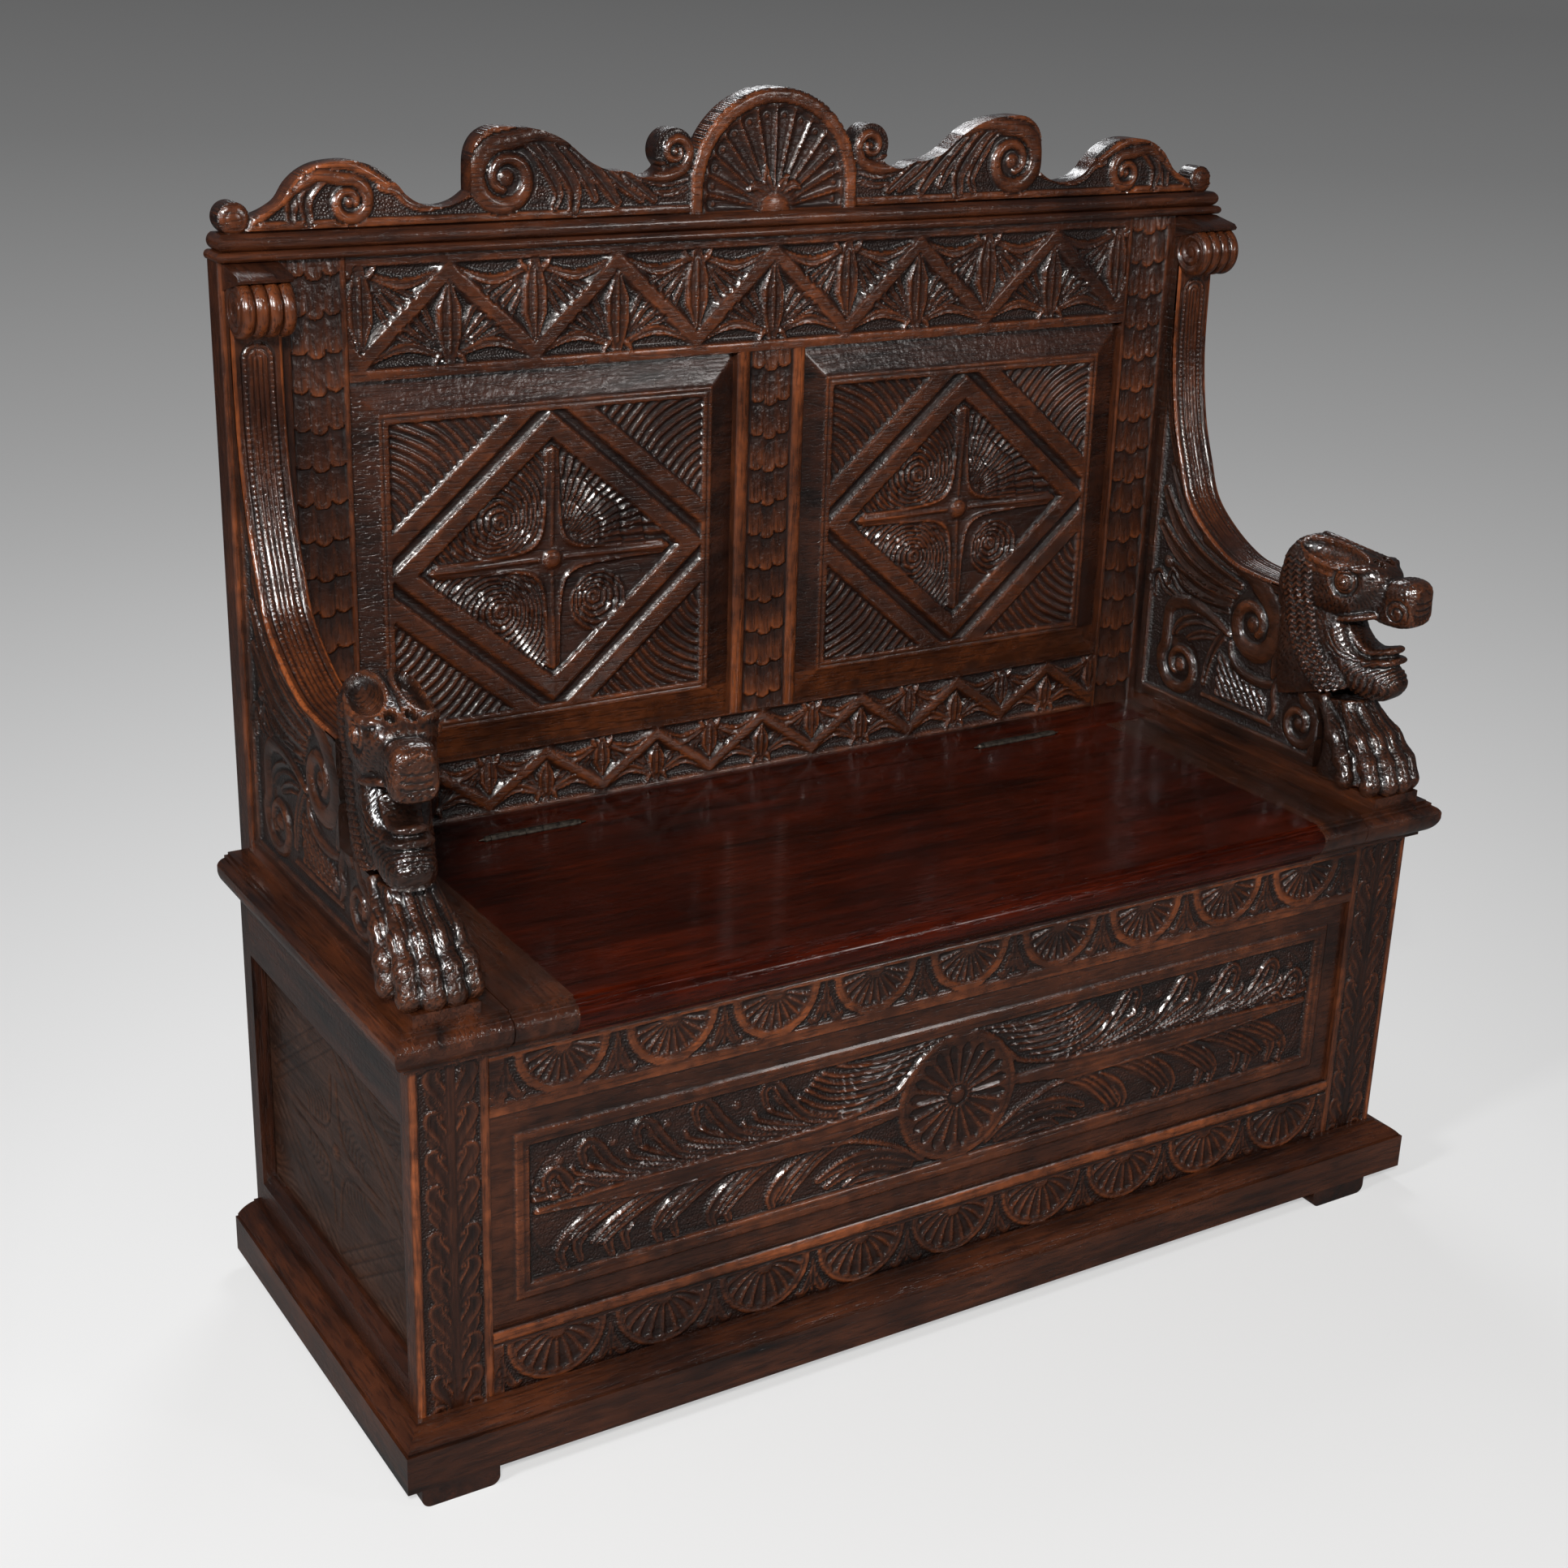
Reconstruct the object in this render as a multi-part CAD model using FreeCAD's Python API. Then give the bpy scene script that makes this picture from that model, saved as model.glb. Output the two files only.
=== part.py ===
import FreeCAD, Part
import math
import os

from FreeCAD import Vector

# Carved oak hall settle: a box seat with a hinged lid, a panelled back with a
# scrolled crest, and solid arms that end in lion heads on paws.
# Millimetres. X runs along the seat, Y from front to back, Z up.
# The pieces are drawn with Y zero on the front of the box and Z zero on the
# floor, and are moved along Y on export so that the origin is under the middle.

# Overall box
BOX_WIDTH = 1150.0
BOX_DEPTH = 424.0
FOOT_HEIGHT = 18.5
PLINTH_BOARD_HEIGHT = 38.2
PLINTH_MOULDING_HEIGHT = 14.3
BOX_TOP = 419.0
SEAT_THICKNESS = 40.0
PLINTH_FRONT_OVERHANG = 30.5
PLINTH_SIDE_OVERHANG = 24.4
SEAT_FRONT_OVERHANG = 24.8
SEAT_SIDE_OVERHANG = 21.0

# Feet: plain blocks with rounded lower corners, as far in as on the old piece
FOOT_LENGTH = 75.0
FOOT_DEPTH = 70.0
FOOT_ROUND = 9.0
FOOT_INSET_LEFT = 13.0
FOOT_INSET_RIGHT = 53.0

# Framing of the box
FRAME_BOARD = 22.0
FRONT_STILE_WIDTH = 73.0
FRONT_TOP_RAIL_HEIGHT = 66.0
FRONT_BOTTOM_RAIL_TOP = 136.0
RAIL_BEAD = 9.0
REAR_STILE_WIDTH = 62.0
SIDE_RAIL_BOARD = 24.0
SIDE_TOP_RAIL_HEIGHT = 63.0
SIDE_BOTTOM_RAIL_TOP = 108.0
SIDE_PANEL_RECESS = 14.0
PANEL_TONGUE = 8.0
GROOVE_DEPTH = 6.0
FLOOR_BOARD = 14.0
FLOOR_TOP = 84.0
BACK_BOARD = 10.0

# Front panel: raised field with a sunk ground, a rosette and two long sprays
FRONT_MARGIN_DEPTH = 14.0
FRONT_FIELD_DEPTH = 6.0
FRONT_FIELD_MARGIN = 24.0
FRONT_FIELD_BEVEL = 8.0
FRONT_FIELD_BORDER = 11.0
GROUND_SINK = 3.0
ROSETTE_RADIUS = 70.0
ROSETTE_RING = 8.0
ROSETTE_HUB = 8.0
ROSETTE_PETALS = 20
MIDRIB_SHARE = 0.82
MIDRIB_HEIGHT = 11.0

# Lid and seat rails. The hinge line is set off from the face of the back.
SEAT_END_WIDTH = 87.0
CLEAT_WIDTH = 60.0
HINGE_SETBACK = 58.4
LID_GAP = 1.0
LID_REST_GAP = 0.3

# Hinges
HINGE_PLACE_SHARE = 0.615
HINGE_LENGTH = 94.0
HINGE_KNUCKLES = 5
KNUCKLE_RADIUS = 4.2
PIN_RADIUS = 2.0
PIN_CLEARANCE = 0.3
KNUCKLE_CLEARANCE = 0.4
LEAF_WIDTH = 30.0
LEAF_THICKNESS = 2.4
FINIAL_LENGTH = 12.0

# Back frame
BACK_THICKNESS = 27.6
BACK_SIDE_INSET = 4.0
BACK_STILE_WIDTH = 118.2
BACK_HEIGHT = 565.0
BACK_TOP_RAIL_HEIGHT = 114.0
BACK_BOTTOM_RAIL_HEIGHT = 67.0
MUNTIN_HALF_WIDTH = 40.0
STILE_CORNER_ROUND = 6.0

# Back panels: bevelled and fielded, with a double lozenge and a star
BACK_MARGIN_DEPTH = 13.0
BACK_FIELD_DEPTH = 3.0
BACK_BEVEL_SIDE = 27.4
BACK_BEVEL_END = 31.0
BACK_FIELD_BORDER = 8.0
LOZENGE_MARGIN_SIDE = 11.0
LOZENGE_MARGIN_END = 15.5
LOZENGE_BAND = 18.0
LOZENGE_CHANNEL = 13.0
STAR_SHARE_ACROSS = 0.726
STAR_SHARE_UP = 0.772
STAR_TIP = 5.0
STAR_WAIST_SHARE = 0.18
BUTTON_RADIUS = 10.0
CARVING_RELIEF = 4.0

# Zigzag friezes on the top and bottom rails of the back
ZIGZAG_BAND = 11.0
TOP_ZIGZAG_HALF_PITCH = 88.0
TOP_ZIGZAG_MARGIN = 14.5
LOW_ZIGZAG_HALF_PITCH = 64.0
LOW_ZIGZAG_MARGIN = 9.0

# Cornice under the crest
CORNICE_HEIGHT = 24.0
CORNICE_BEAD_OUT = 9.0
CORNICE_TORUS_OUT = 6.0
CORNICE_BEAD_HEIGHT = 9.0

# Crest board: a shell arch between leaf scrolls, volutes and end balls.
# Positions are (distance from the middle, height above the cornice), drawn for
# a back of this half width and stretched with it.
CREST_DRAWN_HALF_WIDTH = 571.0
CREST_THICKNESS = 25.6
CREST_RELIEF = 5.0
ARCH_RADIUS = 96.0
ARCH_CENTRE_RISE = 22.0
ARCH_RIM = 14.0
SHELL_PETALS = 13
SHELL_SINK = 9.0
SHELL_BUTTON = 16.0
CREST_FILLET = 8.0
SMALL_VOLUTE = (113.0, 60.0)
SMALL_VOLUTE_RADIUS = 21.0
BIG_VOLUTE = (291.0, 39.5)
BIG_VOLUTE_RADIUS = 36.0
END_VOLUTE = (446.0, 24.0)
END_VOLUTE_RADIUS = 23.0
END_BALL = (552.0, 12.5)
END_BALL_RADIUS = 14.5
VALLEY = (165.0, 42.0)
LEAF_BEND = (215.0, 60.0)
LEAF_TOP = (277.0, 85.0)
SCROLL_FALL = (327.0, 28.0)
STRAP_LOW = (368.0, 17.0)
STRAP_STEP = (398.0, 36.0)
SCROLL_TOP = (458.0, 59.0)
SCROLL_TAIL = (508.0, 27.0)
STRAP_WIDTH = 10.0
LEAF_TIPS = ((143.0, 12.0), (180.0, 12.0), (230.0, 7.0))

# Arms. The front edge runs through points given as (share of the arm's reach
# in front of the back, share of the height of the back above the seat), from
# under the roll down to the lion's crown. Places in front of the back are
# shares of the depth between the box front and the back.
ARM_INSET = 9.0
ARM_THICKNESS = 47.0
ARM_BASE_HEIGHT = 12.0
ARM_BASE_SPREAD = 7.0
ARM_BASE_OVERHANG = 8.0
ARM_FOOT_SHARE = 0.242
ARM_NECK_SHARE = 0.417
ARM_NECK_RISE = 97.0
ARM_EDGE = ((0.043, 0.892), (0.108, 0.609), (0.264, 0.45), (0.424, 0.395), (0.61, 0.361),
            (0.784, 0.351), (1.0, 0.349))
ARM_SINK = 4.0
ARM_SINK_MARGIN = 12.0
ROLL_RADIUS = 26.0
ROLL_DROP = 36.5
ROLL_REEDS = 4
ROLL_SPREAD = 2.0
ROLL_GROOVE = 4.0
CAP_HEIGHT = 12.0
CAP_PROJECTION = 14.0

# Scrolls on both faces of an arm: share of the depth, share of the height of
# the back, and radius.
ARM_VOLUTES = ((0.55, 0.234, 36.0), (0.328, 0.094, 26.0), (0.807, 0.108, 34.0))
VOLUTE_RING_SHARE = 0.26
VOLUTE_EYE_SHARE = 0.34

# Lion heads and paws. Heights build up from the neck, lengths from the snout.
HEAD_YAW = 10.0
HEAD_PIVOT_SHARE = 0.56
CHIN_RISE = 18.0
JAW_HEIGHT = 38.0
MOUTH_GAP = 29.0
MUZZLE_HEIGHT = 54.0
CROWN_RISE = 28.0
EYE_DROP = 34.0
MUZZLE_HALF_WIDTH = 21.0
SKULL_HALF_WIDTH = 36.0
JAW_SETBACK = 8.0
BROW_SHARE = 0.315
EYE_SHARE = 0.43
MOUTH_SHARE = 0.51
EAR_PLACE_SHARE = 0.61
EAR_HALF_LENGTH = 40.0
EAR_HALF_WIDTH = 13.0
EAR_DEPTH = 9.0
EAR_TILT_ANGLE = 38.0
EYE_RADIUS = 8.5
MANE_HALF_WIDTH = 31.0
TONGUE_HALF_WIDTH = 15.0
TONGUE_THICKNESS = 11.0
PAW_OVERHANG = 14.0
PAW_HALF_WIDTH = 38.0
PAW_TOE_COUNT = 4
PAW_HEIGHT = 47.0

# Flat sides of round forms, and straight runs of one bend
BEND_RUN_COUNT = 4
DISC_SIDE_COUNT = 16
ARCH_SIDE_COUNT = 36
SMALL_SIDE_COUNT = 12

# Values worked out from the sizes above
HALF_BOX = BOX_WIDTH / 2
PLINTH_TOP = FOOT_HEIGHT + PLINTH_BOARD_HEIGHT + PLINTH_MOULDING_HEIGHT
SEAT_TOP = BOX_TOP + SEAT_THICKNESS
BACK_FRONT = BOX_DEPTH - BACK_THICKNESS
BACK_TOP = SEAT_TOP + BACK_HEIGHT
BACK_HALF_WIDTH = HALF_BOX - BACK_SIDE_INSET
BACK_STILE_INNER = BACK_HALF_WIDTH - BACK_STILE_WIDTH
BACK_TOP_RAIL_BOTTOM = BACK_TOP - BACK_TOP_RAIL_HEIGHT
LID_HALF_WIDTH = HALF_BOX - SEAT_END_WIDTH
HINGE_LINE = BACK_FRONT - HINGE_SETBACK
HINGE_POSITION = HINGE_PLACE_SHARE * LID_HALF_WIDTH
CORNICE_TOP = BACK_TOP + CORNICE_HEIGHT
FRONT_STILE_INNER = HALF_BOX - FRONT_STILE_WIDTH
FRONT_TOP_RAIL_BOTTOM = BOX_TOP - FRONT_TOP_RAIL_HEIGHT
SIDE_TOP_RAIL_BOTTOM = BOX_TOP - SIDE_TOP_RAIL_HEIGHT
SIDE_INNER = HALF_BOX - SIDE_RAIL_BOARD
BACK_PANEL_BOTTOM = SEAT_TOP + BACK_BOTTOM_RAIL_HEIGHT
ARM_OUTER = HALF_BOX - ARM_INSET
ARM_INNER = ARM_OUTER - ARM_THICKNESS
ARM_CENTRE = (ARM_INNER + ARM_OUTER) / 2
ARM_BASE_TOP = SEAT_TOP + ARM_BASE_HEIGHT
ARM_FOOT_FRONT = ARM_FOOT_SHARE * BACK_FRONT
ARM_NECK_FRONT = ARM_NECK_SHARE * BACK_FRONT
ARM_NECK_HEIGHT = SEAT_TOP + ARM_NECK_RISE
MIDDLE_DEPTH = (BOX_DEPTH - PLINTH_FRONT_OVERHANG) / 2
SIDES = (("left", -1), ("right", 1))


def box(x0, x1, y0, y1, z0, z1):
    """Straight block between two corners."""
    return Part.makeBox(x1 - x0, y1 - y0, z1 - z0, Vector(x0, y0, z0))


def mirrored(shape, sign):
    """The shape itself for the right side, its mirror image for the left."""
    if sign > 0:
        return shape
    return shape.mirror(Vector(0, 0, 0), Vector(1, 0, 0))


def one(shapes):
    """Pieces of one timber joined into a single solid."""
    joined = shapes[0].fuse(shapes[1:]).removeSplitter()
    return joined.Solids[0] if len(joined.Solids) == 1 else joined


def wire_of(path, place):
    """Closed wire through a path of (a, b) points; an entry of two points is
    an arc through the first that ends on the second."""
    points = []
    edges = []
    for step in path:
        if isinstance(step[0], tuple):
            middle, end = place(*step[0]), place(*step[1])
            edges.append(Part.Arc(points[-1], middle, end).toShape())
            points.append(end)
        else:
            end = place(*step)
            if points:
                edges.append(Part.makeLine(points[-1], end))
            points.append(end)
    if points[-1].distanceToPoint(points[0]) > 1e-6:
        edges.append(Part.makeLine(points[-1], points[0]))
    return Part.Wire(edges)


def along_x(path, x0, x1):
    """Profile in Y and Z, run along X."""
    face = Part.Face(wire_of(path, lambda y, z: Vector(x0, y, z)))
    return face.extrude(Vector(x1 - x0, 0, 0))


def along_y(path, y0, y1):
    """Profile in X and Z, run along Y."""
    face = Part.Face(wire_of(path, lambda x, z: Vector(x, y0, z)))
    return face.extrude(Vector(0, y1 - y0, 0))


def along_z(path, z0, z1):
    """Outline in X and Y, run up along Z."""
    face = Part.Face(wire_of(path, lambda x, y: Vector(x, y, z0)))
    return face.extrude(Vector(0, 0, z1 - z0))


def round_path(centre, radius, count):
    """Corners of a many-sided disc round a centre, the first one on its right."""
    turn = 2 * math.pi / count
    return [(centre[0] + radius * math.cos(k * turn), centre[1] + radius * math.sin(k * turn))
            for k in range(count)]


def bend(first, middle, last):
    """Short straight runs along a bend through three points, from after the
    first to the last: a parabola that is at the middle point halfway."""
    points = []
    for k in range(1, BEND_RUN_COUNT + 1):
        t = k / BEND_RUN_COUNT
        a, b, c = (1 - t) * (1 - 2 * t), 4 * t * (1 - t), t * (2 * t - 1)
        points.append(tuple(a * p + b * q + c * r for p, q, r in zip(first, middle, last)))
    return points


def lathe(profile, origin, axis, count):
    """Turned form with flat sides; the profile is (distance along the axis,
    radius) from one end to the other, and both ends are flat."""
    points = [Vector(a, b, height) for height, radius in profile
              for a, b in round_path((0, 0), radius, count)]
    faces = [tuple(range(count - 1, -1, -1)), tuple(range(len(points) - count, len(points)))]
    for k in range(len(profile) - 1):
        for j in range(count):
            nxt = (j + 1) % count
            faces.append((k * count + j, k * count + nxt, (k + 1) * count + nxt, (k + 1) * count + j))
    shape = faceted(points, faces)
    shape.Placement = FreeCAD.Placement(origin, FreeCAD.Rotation(Vector(0, 0, 1), axis))
    return shape


def feet():
    """Four low blocks under the corners of the plinth."""
    r = FOOT_ROUND
    cut = r * (1 - math.sqrt(0.5))
    half = HALF_BOX + PLINTH_SIDE_OVERHANG
    rows = (("front", -PLINTH_FRONT_OVERHANG), ("rear", BOX_DEPTH - FOOT_DEPTH))
    pieces = {}
    for row, y0 in rows:
        for side, x0 in (("left", -half + FOOT_INSET_LEFT),
                         ("right", half - FOOT_INSET_RIGHT - FOOT_LENGTH)):
            x1 = x0 + FOOT_LENGTH
            outline = [(x0, FOOT_HEIGHT), (x0, r), ((x0 + cut, cut), (x0 + r, 0)),
                       (x1 - r, 0), ((x1 - cut, cut), (x1, r)), (x1, FOOT_HEIGHT)]
            pieces["foot_%s_%s" % (row, side)] = along_y(outline, y0, y0 + FOOT_DEPTH)
    return pieces


def plinth_section(overhang):
    """Plinth board: upright face, quirk, swelling slope and a top bead, as
    (distance out from the box, height)."""
    low, step = FOOT_HEIGHT, FOOT_HEIGHT + PLINTH_BOARD_HEIGHT
    quirk = 0.1 * overhang
    shoulder = overhang - quirk
    bead = 0.18 * overhang
    return [(0, low), (overhang, low), (overhang, step), (shoulder, step), (shoulder, step + 2),
            ((0.62 * shoulder, step + 0.62 * PLINTH_MOULDING_HEIGHT), (bead, PLINTH_TOP - 2)),
            (bead, PLINTH_TOP), (0, PLINTH_TOP)]


def turned(path, change):
    """The same path with each of its points passed through a change."""
    return [tuple(change(*point) for point in step) if isinstance(step[0], tuple) else change(*step)
            for step in path]


def plinth():
    """Skirting round the front and both sides, mitred at the front corners."""
    front_line = -PLINTH_FRONT_OVERHANG
    corner = HALF_BOX + PLINTH_SIDE_OVERHANG
    section = turned(plinth_section(PLINTH_FRONT_OVERHANG), lambda out, z: (-out, z))
    mitre = along_z([(-corner, front_line), (corner, front_line), (HALF_BOX, 0), (-HALF_BOX, 0)],
                    FOOT_HEIGHT, PLINTH_TOP)
    pieces = {"plinth_front": along_x(section, -corner, corner).common(mitre)}
    section = turned(plinth_section(PLINTH_SIDE_OVERHANG), lambda out, z: (HALF_BOX + out, z))
    mitre = along_z([(corner, front_line), (corner, BOX_DEPTH), (HALF_BOX, BOX_DEPTH), (HALF_BOX, 0)],
                    FOOT_HEIGHT, PLINTH_TOP)
    board = along_y(section, front_line, BOX_DEPTH).common(mitre)
    for side, sign in SIDES:
        pieces["plinth_" + side] = mirrored(board, sign)
    return pieces


def rail_section(low, high, bead_low, bead_high):
    """Front rail in Y and Z with a rounded bead on the edges that face the panel."""
    back, r = FRAME_BOARD, RAIL_BEAD
    cut = r * (1 - math.sqrt(0.5))
    path = [(back, low)]
    path += [(r, low), ((cut, low + cut), (0, low + r))] if bead_low else [(0, low)]
    path += [(0, high - r), ((cut, high - cut), (r, high))] if bead_high else [(0, high)]
    return path + [(back, high)]


def side_panel():
    """Panel of the right end, its edges let into the frame all round."""
    outer = HALF_BOX - SIDE_PANEL_RECESS
    rear = BOX_DEPTH - FRAME_BOARD
    return box(outer - PANEL_TONGUE, outer, FRAME_BOARD - GROOVE_DEPTH, rear + GROOVE_DEPTH,
               SIDE_BOTTOM_RAIL_TOP - GROOVE_DEPTH, SIDE_TOP_RAIL_BOTTOM + GROOVE_DEPTH)


def floor_board():
    """Floor of the box, let into the lower rails all round."""
    half = SIDE_INNER + GROOVE_DEPTH
    return box(-half, half, FRAME_BOARD - GROOVE_DEPTH, BOX_DEPTH - FRAME_BOARD + GROOVE_DEPTH,
               FLOOR_TOP - FLOOR_BOARD, FLOOR_TOP)


def front_frame():
    """Stiles, rails and the raised panel of the box front."""
    inner = FRONT_STILE_INNER
    panel_y = FRONT_MARGIN_DEPTH
    floor = floor_board()
    tongue = box(-inner - GROOVE_DEPTH, inner + GROOVE_DEPTH, panel_y, panel_y + PANEL_TONGUE,
                 FRONT_BOTTOM_RAIL_TOP - GROOVE_DEPTH, FRONT_TOP_RAIL_BOTTOM + GROOVE_DEPTH)
    stile = box(inner, HALF_BOX, 0, FRAME_BOARD, FOOT_HEIGHT, BOX_TOP)
    stile = cut_all(stile, [tongue, side_panel(), floor])
    top = along_x(rail_section(FRONT_TOP_RAIL_BOTTOM, BOX_TOP, True, False), -inner, inner)
    bottom = along_x(rail_section(FOOT_HEIGHT, FRONT_BOTTOM_RAIL_TOP, False, True), -inner, inner)
    pieces = {"front_stile_" + side: mirrored(stile, sign) for side, sign in SIDES}
    pieces["front_top_rail"] = top.cut(tongue)
    pieces["front_bottom_rail"] = cut_all(bottom, [tongue, floor])
    pieces["front_panel"] = front_panel(tongue)
    return pieces


def frustum(outer, inner, y_outer, y_inner):
    """Raised field with sloping edges between two upright rectangles, each
    given as (x0, x1, z0, z1)."""
    corners = [Vector(x, y, z) for (x0, x1, z0, z1), y in ((outer, y_outer), (inner, y_inner))
               for x, z in ((x0, z0), (x1, z0), (x1, z1), (x0, z1))]
    return faceted(corners, [(3, 2, 1, 0), (4, 5, 6, 7), (0, 1, 5, 4), (1, 2, 6, 5), (2, 3, 7, 6), (3, 0, 4, 7)])


def inset(rectangle, distance_x, distance_z):
    """Rectangle (x0, x1, z0, z1) drawn in on all sides."""
    x0, x1, z0, z1 = rectangle
    return (x0 + distance_x, x1 - distance_x, z0 + distance_z, z1 - distance_z)


def front_panel(tongue):
    """Fielded panel with a sunk ground, a petalled rosette and two long midribs."""
    opening = (-FRONT_STILE_INNER, FRONT_STILE_INNER, FRONT_BOTTOM_RAIL_TOP, FRONT_TOP_RAIL_BOTTOM)
    bevel = inset(opening, FRONT_FIELD_MARGIN - FRONT_FIELD_BEVEL,
                  FRONT_FIELD_MARGIN - FRONT_FIELD_BEVEL)
    field = inset(opening, FRONT_FIELD_MARGIN, FRONT_FIELD_MARGIN)
    ground = inset(field, FRONT_FIELD_BORDER, FRONT_FIELD_BORDER)
    ground_y = FRONT_FIELD_DEPTH + GROUND_SINK
    sink = box(ground[0], ground[1], FRONT_FIELD_DEPTH, ground_y, ground[2], ground[3])
    body = frustum(bevel, field, FRONT_MARGIN_DEPTH, FRONT_FIELD_DEPTH).cut(sink)
    height = (field[2] + field[3]) / 2
    rim = ring((0, height), ROSETTE_RADIUS, ROSETTE_RADIUS - ROSETTE_RING, FRONT_FIELD_DEPTH, ground_y)
    parts = [tongue, body, rim, rosette(height)]
    for sign in (-1, 1):
        start, end = ROSETTE_RADIUS, MIDRIB_SHARE * FRONT_STILE_INNER
        half = MIDRIB_HEIGHT / 2
        rib = along_y([(start - 1, height + half), (start - 1, height - half),
                       (end, height - 1), (end, height + 1)], FRONT_FIELD_DEPTH, ground_y)
        parts.append(mirrored(rib, sign))
    return one(parts)


def rosette(height):
    """Hub and a ring of petals, each a wedge with a ridge down its middle."""
    y_low = FRONT_FIELD_DEPTH + GROUND_SINK
    y_high = FRONT_FIELD_DEPTH
    outer = ROSETTE_RADIUS - ROSETTE_RING
    step = 2 * math.pi / ROSETTE_PETALS
    hub = ring((0, height), ROSETTE_HUB, 0, y_high, y_low)
    petals = [hub]
    for k in range(ROSETTE_PETALS):
        petals.append(petal(k * step, 0.42 * step, 0.8 * ROSETTE_HUB, 0.96 * outer, y_low, y_high,
                            Vector(0, 0, height)))
    return petals[0].fuse(petals[1:])


def petal(angle, half_angle, r_inner, r_outer, y_low, y_high, centre):
    """One ridged petal that widens outwards: five points on the ground and a
    ridge from the inner end to near the tip."""
    def at(r, a, y):
        return Vector(centre.x + r * math.cos(a), y, centre.z + r * math.sin(a))
    base = [at(r_inner, angle - half_angle, y_low), at(0.9 * r_outer, angle - half_angle, y_low),
            at(r_outer, angle, y_low), at(0.9 * r_outer, angle + half_angle, y_low),
            at(r_inner, angle + half_angle, y_low)]
    ridge = [at(r_inner, angle, y_high), at(0.86 * r_outer, angle, y_high)]
    return faceted([base[0], base[1], base[2], base[3], base[4], ridge[0], ridge[1]],
                   [(4, 3, 2, 1, 0), (0, 1, 6, 5), (1, 2, 6), (2, 3, 6), (3, 4, 5, 6), (4, 0, 5)])


def faceted(points, faces):
    """Closed solid with flat sides; sides that are not quite flat are split."""
    sides = []
    for face in faces:
        corners = [points[k] for k in face]
        flat = Part.makePolygon(corners + corners[:1])
        if len(corners) == 3 or flat_enough(corners):
            sides.append(Part.Face(flat))
            continue
        for k in range(1, len(corners) - 1):
            corner = [corners[0], corners[k], corners[k + 1]]
            sides.append(Part.Face(Part.makePolygon(corner + corner[:1])))
    solid = Part.Solid(Part.Shell(sides))
    if solid.Volume < 0:
        solid.reverse()
    return solid


def flat_enough(corners):
    """True where all corners lie in the plane of the first three."""
    normal = (corners[1] - corners[0]).cross(corners[2] - corners[0])
    return all(abs((corner - corners[0]).dot(normal)) < 1e-6 * normal.Length for corner in corners)


def box_sides():
    """Rails and panels of both ends, the rear of the box and its floor."""
    back_face = BOX_DEPTH - FRAME_BOARD
    side_tongue = side_panel()
    floor = floor_board()
    rear_inner = HALF_BOX - REAR_STILE_WIDTH
    rear_low, rear_high = SIDE_BOTTOM_RAIL_TOP, SIDE_TOP_RAIL_BOTTOM
    panel_y = back_face + (FRAME_BOARD - BACK_BOARD) / 2
    rear_tongue = box(-rear_inner - GROOVE_DEPTH, rear_inner + GROOVE_DEPTH, panel_y,
                      panel_y + BACK_BOARD, rear_low - GROOVE_DEPTH, rear_high + GROOVE_DEPTH)
    chamfer = RAIL_BEAD
    top_rail = box(SIDE_INNER, HALF_BOX, FRAME_BOARD, back_face, SIDE_TOP_RAIL_BOTTOM, BOX_TOP)
    bottom_rail = along_y([(SIDE_INNER, FOOT_HEIGHT), (HALF_BOX, FOOT_HEIGHT),
                           (HALF_BOX, SIDE_BOTTOM_RAIL_TOP - chamfer),
                           (HALF_BOX - chamfer, SIDE_BOTTOM_RAIL_TOP),
                           (SIDE_INNER, SIDE_BOTTOM_RAIL_TOP)], FRAME_BOARD, back_face)
    stile = box(rear_inner, HALF_BOX, back_face, BOX_DEPTH, FOOT_HEIGHT, BOX_TOP)
    shapes = {"side_top_rail": top_rail.cut(side_tongue),
              "side_bottom_rail": cut_all(bottom_rail, [side_tongue, floor]),
              "side_panel": side_tongue,
              "rear_stile": cut_all(stile, [side_tongue, rear_tongue, floor])}
    pieces = {}
    for name, shape in shapes.items():
        for side, sign in SIDES:
            pieces["%s_%s" % (name, side)] = mirrored(shape, sign)
    rear_top = box(-rear_inner, rear_inner, back_face, BOX_DEPTH, rear_high, BOX_TOP)
    rear_bottom = box(-rear_inner, rear_inner, back_face, BOX_DEPTH, FOOT_HEIGHT, rear_low)
    pieces["rear_top_rail"] = rear_top.cut(rear_tongue)
    pieces["rear_bottom_rail"] = cut_all(rear_bottom, [rear_tongue, floor])
    pieces["rear_panel"] = rear_tongue
    pieces["floor_board"] = floor
    return pieces


def nosing(overhang, low):
    """Moulded edge of the seat: two small steps, a thumb and a hollow below it,
    as (distance out from the box, height)."""
    top = SEAT_TOP
    drop = SEAT_THICKNESS / 16
    return [(0, low), (0.35 * overhang, low), (0.35 * overhang, top - 14.5 * drop),
            ((0.8 * overhang, top - 11.5 * drop), (overhang, top - 7.2 * drop)),
            ((0.93 * overhang, top - 3.6 * drop), (0.68 * overhang, top - 2.2 * drop)),
            (0.64 * overhang, top - 2.2 * drop), (0.64 * overhang, top - drop),
            (0.46 * overhang, top - drop), (0.46 * overhang, top), (0, top)]


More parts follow.
